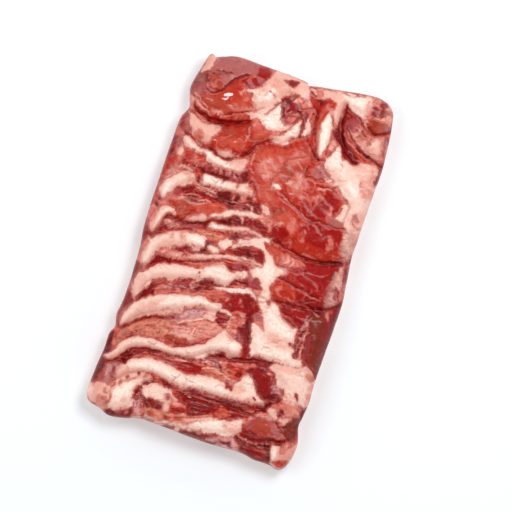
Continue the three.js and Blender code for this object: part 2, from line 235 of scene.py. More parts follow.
# Folds that cut in: depth, then x, y and half width along them
FOLDS = [
    # below the far left flap
    (7.5, [-104, 157, 2, -94, 152, 4, -80, 147.5, 5, -62, 149.5, 5, -46, 155, 3, -38, 159, 2]),
    # between second and broad muscle
    (5, [-33, 118, 3, -25, 130, 4.5, -16, 140, 3.5, -5, 146, 2.5]),
    # across the broad muscle
    (5.5, [24, 38, 2.5, 40, 33, 3.5, 60, 27, 4.5, 80, 26.5, 4.5, 98, 29, 4.5, 116, 35, 3]),
    # near end of the broad muscle
    (4, [46, -30, 3, 62, -31, 3, 80, -29, 3, 98, -28, 4, 112, -22, 4, 125, -11, 3]),
    # left of the far right roll
    (7, [62, 210, 3, 62, 190, 4, 66, 175, 5.5, 74, 163, 5.5, 84, 155, 4, 92, 149, 3]),
    # below the far right roll
    (4.5, [78, 171, 3, 92, 163, 3.5, 108, 157, 3.5, 124, 153, 3.5]),
    # between the far right roll and corner
    (5, [96, 191, 3, 106, 187, 4, 114, 190, 4, 122, 197, 3]),
    # left of the spindle
    (5, [32, 205, 3, 35, 188, 4, 36, 170, 4, 42, 152, 3.5, 49, 139, 3]),
    # below the second muscle
    (4, [-104, 124, 3, -88, 119, 3, -74, 115, 3.5, -60, 110.5, 4, -48, 109, 3]),
    # above the first rib strip
    (3.5, [-96, 86, 3, -80, 86, 3.5, -62, 88, 3, -46, 87, 2.5]),
    # below the first rib strip
    (4, [-94, 61, 4, -76, 63, 4, -50, 64, 4, -32, 61, 4, -16, 66, 3]),
    # above the second rib strip
    (4, [-98, 25, 3, -74, 26, 4, -58, 29, 4, -46, 35, 3, -28, 38, 3]),
    # above the third rib strip
    (3.5, [-108, 2, 3.5, -97, 6, 4, -84, 14, 3.5, -66, 20, 3]),
    # above the fourth rib strip
    (4, [-103, -37, 3.5, -97, -27, 4.5, -86, -22, 4, -68, -20, 3, -48, -14, 3, -26, -7, 3]),
    # above the fifth rib strip
    (4.5, [-103, -77, 3, -97, -67, 4.5, -87, -60, 5, -70, -55, 3.5, -50, -49, 3, -36, -42, 3]),
    # above the sixth rib strip
    (4.5, [-118, -136, 3, -111, -117, 4.5, -101, -103, 4, -88, -94, 4, -70, -87.5, 3.5, -56, -84, 3]),
    # above the broad last strip
    (5.5, [-113, -154, 3, -100, -146, 5, -88, -135, 5.5, -70, -128, 4.5, -48, -127, 3.5, -20, -124, 3]),
    # above the short dark muscle
    (4.5, [-4, -113, 4, 12, -109, 4, 30, -107, 3.5, 50, -102.5, 3.5, 68, -101, 3.5]),
    # below the broad last strip
    (5.5, [-66, -164, 3, -44, -158, 4, -24, -164, 5.5, 0, -161, 6, 24, -161, 5, 50, -160, 4, 68, -155, 4,
         80, -147, 3]),
    # beside the near left curl
    (4.5, [-68, -174, 3, -66, -183, 3.5, -60, -193, 3.5, -56, -205, 3]),
    # below the near muscle
    (5, [54, -194, 3, 72, -197, 4.5, 92, -193, 4.5, 104, -186, 3.5, 116, -178, 3]),
    # left of the right slab of fat
    (3.5, [28, -60, 4, 30, -75, 5, 35, -90, 4.5, 38, -99, 3.5]),
    # notch of the near right side
    (5, [110, -140, 3, 120, -150, 5, 116, -162, 4]),
]

# Colours of the fat, of the thin films over fat and lean, and of the lean, as eight-bit screen colours,
# each with how high it lies in millimetres
FAT_TINTS = {
    "ivory": (253, 233, 219, 0.6),
    "cream": (247, 211, 196, 0.45),
    "blush": (238, 184, 168, 0.3),
}
FILM_TINTS = {
    "rosefat": (226, 150, 136, 0.15),
    "veil": (216, 166, 152, 0.1),
    "lilac": (216, 162, 162, 0.2),
}
LEAN_TINTS = {
    "rose": (212, 116, 104, 0.1),
    "salmon": (200, 84, 68, 0),
    "red": (184, 58, 48, -0.1),
    "bright": (168, 28, 22, -0.25),
    "crimson": (150, 20, 20, -0.5),
    # The darkest tints, deep and black, are partly painted shade: they are laid where folds and crevices lie
    # in shadow, over the meat's own dark red
    "deep": (128, 10, 14, -0.9),
    "black": (98, 6, 8, -1.3),
    "mauve": (178, 102, 100, -0.1),
    "dusk": (166, 76, 80, -0.3),
    "plum": (150, 50, 58, -0.5),
    "wine": (130, 20, 34, -0.8),
    "tan": (214, 134, 112, 0),
    "brown": (174, 74, 60, -0.2),
    "umber": (126, 56, 48, -0.4),
    "orange": (206, 102, 84, -0.1),
}

# Patches of the far end: tint, softness of the rim, then the outline as x, y pairs.
# A later patch lies over an earlier one.
FAR_END = [
    ("blush", 2, [-110, 195, -107, 207, -105, 219, -96, 220, -94, 210, -98, 203, -101, 199]),
    ("rosefat", 2, [-106, 219, -100, 221, -98, 214, -102, 210, -106, 212]),
    ("mauve", 2, [-96, 218, -75, 226, -46, 226, -44, 214, -50, 209, -56, 208.5, -62, 203.5, -70, 195.5, -78,
         198, -84, 200, -95, 201, -97, 205, -95, 212]),
    ("dusk", 5, [-96, 218, -84, 222, -76, 216, -84, 205, -95, 203]),
    ("rose", 5, [-84, 199, -72, 197, -62, 205, -56, 210, -47, 209, -60, 212, -74, 204]),
    ("bright", 3, [-44, 226, -28, 226, -30, 212, -33, 206, -35, 200, -39, 195, -47, 194, -53, 200, -62, 200,
         -55, 202, -47, 206, -43, 211]),
    ("rose", 4, [-32, 226, -22, 224, -26, 213, -31, 212]),
    ("salmon", 4, [-66, 199, -52, 197, -50, 191, -42, 185, -39, 178, -41, 171, -50, 166, -60, 161, -75, 157,
         -88, 158, -96, 163, -99, 170, -90, 178, -80, 184, -72, 192]),
    ("red", 6, [-66, 198, -54, 197, -54, 186, -62, 172, -78, 160, -92, 162, -94, 172, -80, 180]),
    ("brown", 6, [-92, 172, -76, 172, -66, 168, -66, 161, -86, 161, -94, 166]),
    ("rose", 4, [-62, 171, -52, 173, -42, 172, -46, 167, -57, 163, -64, 165]),
    ("rosefat", 3, [-84, 159, -75, 161.5, -68, 158, -72, 155, -82, 155]),
    ("rosefat", 3, [-59, 189, -55, 190, -54, 187, -57, 185]),
    ("rosefat", 2.5, [-67, 170, -63, 169, -62, 166, -66, 166]),
    ("wine", 4, [-112, 197, -104, 198, -99, 200, -97, 190, -99, 186, -105, 184, -113, 183, -113, 190]),
    ("dusk", 4, [-115, 183, -104, 184, -96, 182, -90, 177, -97, 171, -108, 171, -115, 176]),
    ("brown", 3, [-98, 198, -88, 198, -82, 195, -79, 188, -86, 183, -95, 186, -99, 192]),
    ("rose", 2, [-97, 187, -91, 188, -86, 185, -90, 183.5, -96, 185]),
    ("rose", 3, [-110, 170, -103, 166, -95, 160, -88, 156, -80, 154, -84, 150, -95, 152, -103, 156, -108,
         162]),
    ("rosefat", 2, [-112, 168, -108, 166, -106, 159, -106, 154, -111, 156, -112, 162]),
    ("salmon", 2, [-76, 151, -60, 158, -46, 166, -36, 165, -28, 161, -38, 159, -55, 155, -70, 152]),
    ("blush", 3, [-34, 206, -31, 213, -24, 226, -6, 224, 8, 222, 16, 217, 18, 208, 12, 205, 2, 204, -8, 198,
         -14, 192, -24, 198]),
    ("rosefat", 4, [-26, 214, -16, 215, -14, 207, -24, 203, -30, 206]),
    ("cream", 3, [-36, 197, -30, 202, -22, 202, -14, 196, -11, 190, -16, 184, -22, 174, -30, 175, -38, 171,
         -46, 166, -40, 164, -30, 164, -22, 161, -18, 157, -8, 157, 0, 160, 3, 166, 2, 172, -5, 170, -7,
         178, -9, 190, -14, 189, -20, 195, -28, 203, -38, 201, -47, 196, -52, 192, -44, 189, -41, 181]),
    ("ivory", 5, [-38, 190, -30, 197, -22, 198, -18, 190, -24, 180, -34, 176, -39, 181]),
    ("ivory", 4, [-18, 172, -11, 185, -8, 178, -5, 170, 0, 166, -4, 161, -16, 160, -21, 164]),
    ("blush", 3, [-44, 168, -34, 173, -24, 176, -22, 172, -32, 168, -40, 165]),
    ("wine", 1.5, [-16, 216, -8, 219, 1, 220.5, 4, 219, 1, 212, -3, 210, -8, 212]),
    ("wine", 2, [-10, 189, -4, 195, 1, 200, 7, 203, 3, 195, -1, 190, -3, 182, -5, 171, -7, 178]),
    ("plum", 2, [0, 192, 9, 192, 15, 187, 17, 181, 14, 174, 8, 168, 2, 166, -3, 170, -3, 180, -1, 188]),
    ("crimson", 2.5, [1, 190, 9, 191, 13, 187, 6, 185, 0, 186]),
    ("rosefat", 2, [2, 201, 8, 203.5, 13, 201, 15, 193, 9, 194, 3, 196]),
    ("rose", 3, [-31, 163, -24, 160, -20, 156, -10, 156, -2, 158, 6, 158, 5, 153, -4, 151, -8, 147, -15,
         141, -24, 135, -30, 142, -36, 150, -36, 158]),
    ("salmon", 5, [-30, 154, -18, 153, -8, 156, -6, 150, -14, 143, -24, 137, -31, 144]),
    ("blush", 1.5, [-8, 147.5, -2, 151, 5, 153, 11, 156, 14, 154, 9, 149, 4, 147, -3, 144, -6, 144]),
    ("ivory", 1.5, [4, 157, 8, 162, 13, 169, 18, 176, 20, 170, 20, 161, 17, 156, 12, 155, 7, 155]),
    ("blush", 2, [-4, 161, 4, 160, 8, 165, 12, 170, 6, 168, 1, 165]),
    ("rose", 2, [11, 154, 17, 156, 24, 158, 30, 152, 20, 148, 12, 149]),
    ("rosefat", 2, [15, 208, 20, 206, 26, 199, 22, 190, 16, 192, 14, 200]),
    ("cream", 2, [9, 206, 17, 212, 19, 207, 16, 202, 12, 203]),
    ("rose", 1.5, [16, 191.5, 22, 193.5, 27, 191, 27, 188, 21, 189.5, 17, 189]),
    ("plum", 1.5, [20, 188, 24.5, 187, 26, 178, 24, 168, 22, 157, 20, 160, 20, 172, 19, 180]),
    ("cream", 1.5, [25, 182, 28, 178, 32, 174, 33, 167, 30, 164, 24.5, 163, 25, 172]),
    ("bright", 1.5, [28, 189, 33, 188, 35, 178, 31, 175, 28, 180]),
    ("orange", 1, [30, 180, 33, 181, 33, 175, 30, 175]),
    ("red", 2, [19, 207, 26, 205, 33, 206, 40, 208.5, 42, 204, 38, 197, 35, 189, 30, 193, 25, 198]),
    ("crimson", 2, [33, 206, 39, 208, 39, 202, 35, 201, 32, 203]),
    ("blush", 2, [18, 216, 30, 219, 45, 221, 55, 224, 62, 220, 62, 205, 57, 200, 52, 208, 46, 212, 40, 211,
         30, 209, 22, 212]),
    ("rose", 2, [24, 217, 32, 217, 35, 212, 29, 209, 26, 212]),
    ("red", 1.5, [44, 205, 50, 209, 53, 206, 52, 201.5, 46, 201]),
    ("blush", 2, [53, 206, 60, 211, 62, 202, 62, 190, 65, 180, 61, 177, 56, 186, 51, 194, 48, 197, 52,
         201]),
    ("salmon", 2, [37, 197, 45, 197, 45, 189, 42, 182, 41, 172, 43, 160, 46, 148, 49, 141, 45, 144, 41, 154,
         38, 165, 36, 176]),
    ("rose", 2, [38, 176, 41, 172, 43, 160, 47, 147, 44, 148, 40, 158]),
    ("red", 2, [31, 164, 36, 164, 38, 156, 44, 148, 47, 142, 44, 140, 36, 150, 30, 158]),
    ("ivory", 1.5, [47, 195.5, 50, 192, 54, 184, 56.5, 176, 57, 167, 54.5, 155, 52, 144, 50, 142, 47, 149,
         44, 160, 42, 172, 42, 182, 44, 190]),
    ("red", 2, [56, 182, 60, 176, 63, 170, 67, 165, 62, 160, 58, 162, 56, 170]),
    ("rose", 2, [57, 160, 62, 158, 62, 150, 57, 143, 53, 143, 55, 152]),
    ("plum", 2, [61, 153, 66, 157, 67, 151, 63, 144, 60, 146]),
    ("rose", 2, [56, 187, 62, 182, 65, 172, 62, 172, 58, 178]),
    ("ivory", 3, [62, 212, 66, 208, 76, 204, 86, 201, 90, 206, 90, 226, 62, 224, 57, 219]),
    ("rosefat", 3, [84, 226, 100, 228, 116, 222, 121, 203, 110, 202, 98, 204, 88, 205]),
    ("plum", 1.5, [92, 216, 100, 216.5, 101, 208, 97, 206, 94, 211]),
    ("plum", 1.5, [103, 214, 109, 217, 115, 214, 111, 210, 106, 206.5, 103, 210]),
    ("plum", 1.5, [101, 226, 108, 224, 108.5, 218, 103, 219]),
    ("rosefat", 2, [87, 204, 94, 204, 104, 203, 112, 201, 106, 197, 96, 199, 89, 198]),
    ("brown", 2, [98, 200, 108, 200, 114, 199, 118, 197, 112, 189, 104, 187.5, 98, 190, 93, 196]),
    ("crimson", 2, [62, 211, 66, 207, 72, 205, 80, 201.5, 85, 198.5, 87, 192, 80, 190, 74, 184, 68, 190, 64,
         184, 61, 192]),
    ("dusk", 3, [72, 203, 80, 200, 86, 197, 89, 190, 92, 184, 86, 180, 78, 184, 73, 188, 70, 195]),
    ("deep", 2, [61, 186, 65, 190, 66, 182, 70, 176, 74, 170, 73, 163, 68, 165, 64, 169, 60, 171, 57, 176,
         60, 181]),
    ("rose", 2, [68, 189, 75, 182, 81, 175, 84, 168, 80, 168, 76, 173, 70, 178, 67, 184]),
    ("red", 2, [72, 177, 77, 172, 82, 167, 88, 162, 97, 158, 106, 155, 110, 152, 104, 150, 98, 149, 92, 145,
         86, 147, 79, 151, 74, 158, 71, 165]),
    ("crimson", 3, [72, 172, 78, 168, 82, 160, 88, 152, 82, 150, 76, 155, 72, 164]),
    ("rosefat", 2, [84, 192, 91, 191, 97, 186, 105, 184.5, 115, 187, 121, 190, 123, 175, 123, 158, 112, 159,
         104, 162, 95, 166, 88, 170, 84, 175, 78, 181, 80, 188]),
    ("rose", 4, [100, 176, 112, 172, 120, 168, 120, 160, 108, 162, 98, 168]),
    ("brown", 2, [87, 197, 92, 193, 98, 191, 97, 184, 97, 178, 91, 175, 87, 180, 90, 186]),
    ("plum", 1.5, [95, 180, 99, 179, 104, 173, 102, 171, 98, 175]),
    ("ivory", 3, [68, 162, 71, 162, 75, 154, 78, 146, 80, 136, 82, 124, 74, 122, 66, 130, 61, 133, 59, 141,
         64, 152]),
    ("cream", 3, [78, 149, 86, 147, 92, 144.5, 98, 148, 104, 150, 112, 151, 124, 152, 126, 120, 124, 72,
         104, 72, 100, 79, 92, 81, 93, 90, 94, 99, 100, 99, 92, 106, 84, 112, 78, 116, 76, 124, 78, 136]),
    ("blush", 5, [96, 148, 110, 149, 116, 140, 110, 128, 100, 134, 92, 142]),
    ("rosefat", 3, [112, 154, 122, 154, 125, 130, 123, 112, 118, 118, 114, 130, 112, 144]),
    ("plum", 2, [118, 154, 125, 158, 126, 136, 122, 130, 119, 134, 121, 144]),
]

# Patches of the far half's middle
MIDDLE_FAR = [
    ("red", 3, [-118, 128, -114, 144, -109, 150, -104, 142, -106, 134, -110, 126]),
    ("blush", 2, [-107, 148, -98, 145, -80, 143.5, -66, 143, -64, 139, -69, 134, -73, 127, -76, 123, -82,
         117, -90, 118, -96, 124, -100, 130, -103, 136, -105, 142]),
    ("rose", 3, [-108, 150, -96, 151, -86, 147, -80, 144, -92, 145, -104, 148]),
    ("rose", 3, [-94, 130, -88, 132, -83, 122, -80, 117, -88, 118, -95, 123]),
    ("crimson", 2, [-107, 131, -103, 134, -100, 132, -101, 125, -104, 121, -107, 126]),
    ("rose", 3, [-115, 130, -108, 131, -106, 122, -107, 116, -112, 117, -118, 120]),
    ("plum", 3, [-118, 119, -109, 118, -107, 112, -108, 104, -118, 104]),
    ("red", 3, [-118, 104, -110, 106, -103, 108, -90, 108, -76, 108, -68, 100, -62, 98, -50, 96, -35, 97,
         -28, 100, -24, 90, -35, 87, -50, 87, -62, 88, -72, 90, -80, 92, -90, 92, -98, 90, -102, 84, -106,
         78, -118, 74]),
    ("wine", 3, [-116, 103, -109, 103, -108, 97, -114, 96]),
    ("blush", 2, [-107, 105, -104, 108, -101, 103, -104, 98, -107, 100]),
    ("rose", 3, [-89, 107, -80, 108, -72, 104, -68, 98, -70, 91, -80, 90, -86, 95, -88, 101]),
    ("salmon", 3, [-86, 108, -78, 108, -73, 101, -78, 97, -84, 101]),
    ("plum", 2, [-70, 99, -66, 101, -62, 97, -58, 99, -50, 96, -45, 93, -38, 94, -30, 92, -27, 88, -45,
         86.5, -60, 87, -72, 89]),
    ("rose", 2, [-65, 97, -61, 96, -61, 92, -64, 91]),
    ("rosefat", 2, [-47, 99, -40, 101, -33, 100, -31, 96, -36, 93, -40, 95, -44, 93, -46, 95]),
    ("cream", 2, [-106, 119, -103, 121.5, -98, 121.5, -93, 118, -88, 115, -82, 112, -74, 113, -68, 114, -62,
         110, -55, 108, -46, 108.5, -38, 112, -30, 118, -26, 117, -25, 108, -28, 102, -31, 98.5, -36, 98,
         -44, 99.5, -50, 96.5, -56, 99.5, -62, 98, -68, 101, -72, 104, -76, 108, -84, 107.5, -90, 108, -97,
         108.5, -100, 111, -104, 115]),
    ("ivory", 4, [-72, 112, -62, 108, -52, 106, -44, 104, -50, 98, -62, 99, -70, 104, -80, 110]),
    ("rosefat", 3, [-46, 109, -38, 112, -30, 117, -26, 116, -28, 107, -38, 105]),
    ("rose", 2, [-34, 119, -28, 120, -25, 112, -28, 108, -31, 113]),
    ("blush", 1.5, [-64, 115, -56, 118, -48, 118, -45, 115, -50, 112, -57, 112, -61, 113]),
    ("wine", 1.5, [-29, 101, -25, 101, -21, 97, -20, 91, -24, 88, -28, 89, -29.5, 95]),
    ("red", 3, [-67, 143, -60, 147, -50, 151, -42, 157, -36, 160, -32, 150, -28, 140, -26, 131, -31, 120,
         -38, 118, -45, 116, -52, 118, -60, 118, -68, 119, -75, 123, -73, 128, -69, 134, -66, 138]),
    ("salmon", 5, [-58, 133, -46, 134, -36, 132, -34, 124, -46, 122, -62, 122, -72, 126]),
    ("brown", 4, [-65, 143, -56, 145, -46, 140, -50, 135, -62, 134]),
    ("bright", 2, [-50, 119, -40, 121, -32, 125, -30, 121, -38, 118, -45, 116]),
    ("blush", 1.5, [-100, 86, -97, 88.5, -91, 88, -85, 86, -83, 84, -92, 84.5]),
    ("mauve", 3, [-102, 83, -92, 84.5, -87, 82.5, -95, 79, -103, 77, -106, 79]),
    ("rosefat", 3, [-116, 71, -110, 78, -103, 80, -94, 80, -100, 73, -108, 68, -115, 64]),
    ("cream", 2, [-113, 49, -115, 58, -112, 64, -106, 70, -100, 75, -94, 80, -88, 82.5, -82, 82.5, -78, 79,
         -77, 75, -80, 71, -85, 68, -91, 64, -97, 60, -100, 56, -104, 50, -108, 45, -111, 45]),
    ("ivory", 3, [-112, 52, -110, 60, -102, 66, -92, 71, -88, 69, -98, 62, -104, 54, -108, 49]),
    ("rosefat", 3, [-94, 79, -84, 81, -79, 77, -82, 73, -90, 75]),
    ("ivory", 1.5, [-71, 84, -66, 86, -55, 86, -48, 86.5, -45, 85, -38, 84, -36, 76, -45, 73.5, -52, 73.5,
         -60, 74.5, -66, 74, -70.5, 76]),
    ("cream", 2, [-42, 85, -30, 85, -26, 87, -22, 89, -18, 89, -16, 84, -11, 81, -9, 77, -14, 75.5, -24,
         76.5, -30, 75, -35, 75, -44, 74]),
    ("veil", 2, [-31, 83, -27, 86, -25, 83, -28, 79, -32, 79]),
    ("rosefat", 3, [-18, 85, -12, 82, -6, 78, -4, 72, -10, 76, -18, 77]),
    ("red", 2, [-85, 84.5, -78, 88, -71, 87, -71.5, 80, -73, 76, -77, 76, -80, 81]),
    ("crimson", 1.5, [-77, 79, -73, 79, -72, 75, -75, 75]),
    ("rosefat", 2, [-76, 74, -70, 73, -60, 73.5, -48, 71, -44, 66, -50, 64.5, -60, 65, -72, 66, -78, 70]),
    ("bright", 2, [-98, 60, -91, 63.5, -85, 67, -81, 70, -77, 67, -72, 64, -60, 63.5, -50, 64, -45, 62, -45,
         59, -52, 57, -60, 58, -70, 57, -80, 55, -90, 55, -97, 57]),
    ("dusk", 3, [-99, 59, -92, 61, -88, 57, -93, 52, -99, 53]),
    ("crimson", 3, [-90, 63, -84, 66, -78, 67, -77, 61, -86, 59]),
    ("mauve", 2, [-58, 72, -50, 73.5, -45, 70, -48, 67, -55, 68]),
    ("wine", 1.5, [-52, 70, -50, 73.5, -42, 74.5, -37, 76.5, -34.5, 74, -32.5, 69, -30, 64, -30, 61, -36,
         61, -44, 64, -49, 66.5]),
    ("wine", 1.5, [-29.5, 73, -25, 74, -23.5, 69, -26, 65, -29.5, 66]),
    ("deep", 1.5, [-16, 74.5, -10, 75, -6, 73, 0, 70.5, 5, 68, 8, 63, 5, 59, 2, 59, 0, 63, -4, 67, -9, 70,
         -15, 71]),
    ("mauve", 2, [-29, 62, -20, 65, -12, 69, -4, 67, 1, 62, -2, 60, -8, 59, -15, 57, -24, 60]),
    ("wine", 1.5, [-16.5, 61, -12, 63, -6, 61.5, -12, 58.5]),
    ("dusk", 2, [-42, 62, -32, 61, -24, 60, -19, 60, -18, 56, -25, 53.5, -33, 54, -38, 57]),
    ("wine", 2, [-36, 58, -30, 59, -26, 57, -28, 54.5, -34, 55]),
    ("rosefat", 1.5, [-88, 55.5, -80, 57, -70, 59.5, -64, 58, -69, 55.5, -80, 53.5, -88, 52]),
    ("rosefat", 1.5, [-70, 55.5, -62, 57.5, -52, 57.5, -50, 56, -58, 54, -66, 52.5]),
    ("salmon", 3, [-98, 50, -85, 50, -70, 52, -60, 53, -50, 57, -44, 59, -37, 57, -33, 52, -36, 47, -40, 43,
         -50, 40, -60, 37, -72, 33, -84, 34, -90, 38, -102, 41, -105, 46]),
    ("veil", 2, [-90, 52, -78, 51, -66, 53, -58, 55, -64, 51, -76, 48, -88, 48]),
    ("red", 4, [-104, 46, -94, 48, -86, 44, -84, 38, -80, 44, -68, 45, -66, 38, -78, 27, -88, 27, -88, 36,
         -100, 40]),
    ("rose", 3, [-104, 51, -98, 53, -92, 50, -97, 46, -103, 46]),
    ("rose", 3, [-120, 45, -117, 60, -115, 68, -114, 60, -116, 50, -112, 44]),
    ("red", 3, [-28, 107, -26, 120, -19, 138, -8, 144, 8, 147, 16, 150, 28, 157, 36, 152, 45, 139, 50, 133,
         60, 129, 70, 122, 74, 113, 88, 107, 95, 99, 92, 90, 88, 80, 100, 73, 104, 66, 103, 55, 105, 45,
         112, 40, 112, 33, 96, 27, 70, 26, 42, 31, 22, 38, 20, 45, 10, 55, 10, 66, 5, 72, -5, 80, -10, 88,
         -15, 95, -22, 100]),
    ("rose", 9, [-16, 126, 0, 130, 14, 136, 34, 148, 40, 138, 28, 124, 20, 108, 4, 98, -12, 106]),
    ("salmon", 7, [-18, 128, -4, 136, 10, 141, 20, 138, 14, 124, -4, 122, -14, 114]),
    ("brown", 5, [15, 122, 28, 124, 40, 128, 42, 116, 34, 108, 18, 106, 12, 110]),
    ("bright", 7, [45, 82, 58, 92, 68, 100, 80, 104, 88, 95, 86, 84, 78, 74, 62, 74, 52, 78]),
    ("bright", 6, [60, 70, 75, 69, 98, 68, 103, 60, 101, 50, 90, 42, 75, 42, 60, 48, 56, 60]),
    ("salmon", 7, [20, 66, 36, 74, 44, 66, 36, 56, 22, 54]),
    ("salmon", 6, [-14, 92, 2, 96, 14, 88, 18, 76, 8, 72, -4, 80]),
    ("bright", 6, [22, 52, 38, 54, 44, 44, 34, 38, 22, 42]),
    ("rose", 3, [48, 128, 60, 131, 68, 128, 74, 122, 68, 120, 60, 119, 50, 119, 46, 123]),
    ("rose", 3, [66, 128, 72, 125, 77, 120, 80, 114, 75, 112, 64, 113, 66, 118, 72, 121]),
    ("rose", 4, [80, 92, 86, 88, 87, 80, 96, 78, 100, 74, 88, 72, 80, 74, 78, 82]),
    ("crimson", 2.5, [84, 89, 91, 95, 94, 92, 91, 85, 87, 79, 85, 83]),
    ("rosefat", 5, [-12, 121, -4, 125, 0, 120, -4, 114, -12, 115]),
    ("rosefat", 4, [-4, 107, 1, 108, 3, 103, -2, 99, -5, 102]),
    ("rose", 5, [42, 65, 47, 66, 48, 55, 46, 48, 42, 50, 40, 57]),
    ("rose", 3, [89, 55, 95, 56, 97, 50, 92, 43, 89, 46]),
    ("rose", 3, [57, 47, 61, 47, 62, 44, 58, 42]),
    ("blush", 2, [65, 121, 69, 122, 71.5, 120, 67, 118]),
    ("rosefat", 2, [24, 51, 25, 55, 29, 58, 34, 58, 32, 55, 27, 53]),
    ("rose", 6, [28, 112, 36, 116, 44, 110, 42, 96, 34, 92, 28, 98]),
    ("rose", 4, [52, 88, 58, 96, 66, 98, 64, 90, 58, 84]),
    ("ivory", 1.2, [9, 96.5, 12, 98.6, 16, 98.2, 18.5, 96, 17, 93.5, 13, 92.8, 9.5, 94]),
    ("crimson", 3, [14, 67, 22, 71, 31, 75, 32, 71, 26, 66, 18, 62]),
    ("blush", 2, [3, 70.5, 9, 71, 14, 67, 17, 62, 12, 61, 7, 63]),
    ("rosefat", 4, [-3, 58, 3, 59, 12, 60, 18, 58, 22, 50, 20, 44, 12, 50, 4, 54]),
    ("cream", 2, [94, 99, 101, 99, 102, 90, 101, 80, 96, 78, 89, 80, 92, 88]),
    ("ivory", 3, [84, 118, 92, 126, 101, 123, 105, 115, 101, 107, 95, 104, 88, 108]),
    ("cream", 3, [60, 133, 64, 137, 74, 138, 80, 130, 82, 120, 78, 116, 72, 123, 66, 129]),
    ("rosefat", 3, [106, 132, 116, 130, 121, 118, 118, 108, 112, 112, 106, 120]),
    ("blush", 4, [104, 88, 112, 94, 124, 100, 124, 72, 108, 76, 102, 80]),
    ("veil", 4, [104, 74, 124, 74, 126, 40, 112, 42, 107, 52, 104, 62]),
    ("mauve", 3, [106, 56, 114, 58, 118, 50, 112, 44, 106, 46]),
    ("mauve", 2, [110, 92, 114, 90, 116, 84, 111, 83, 108, 86]),
]

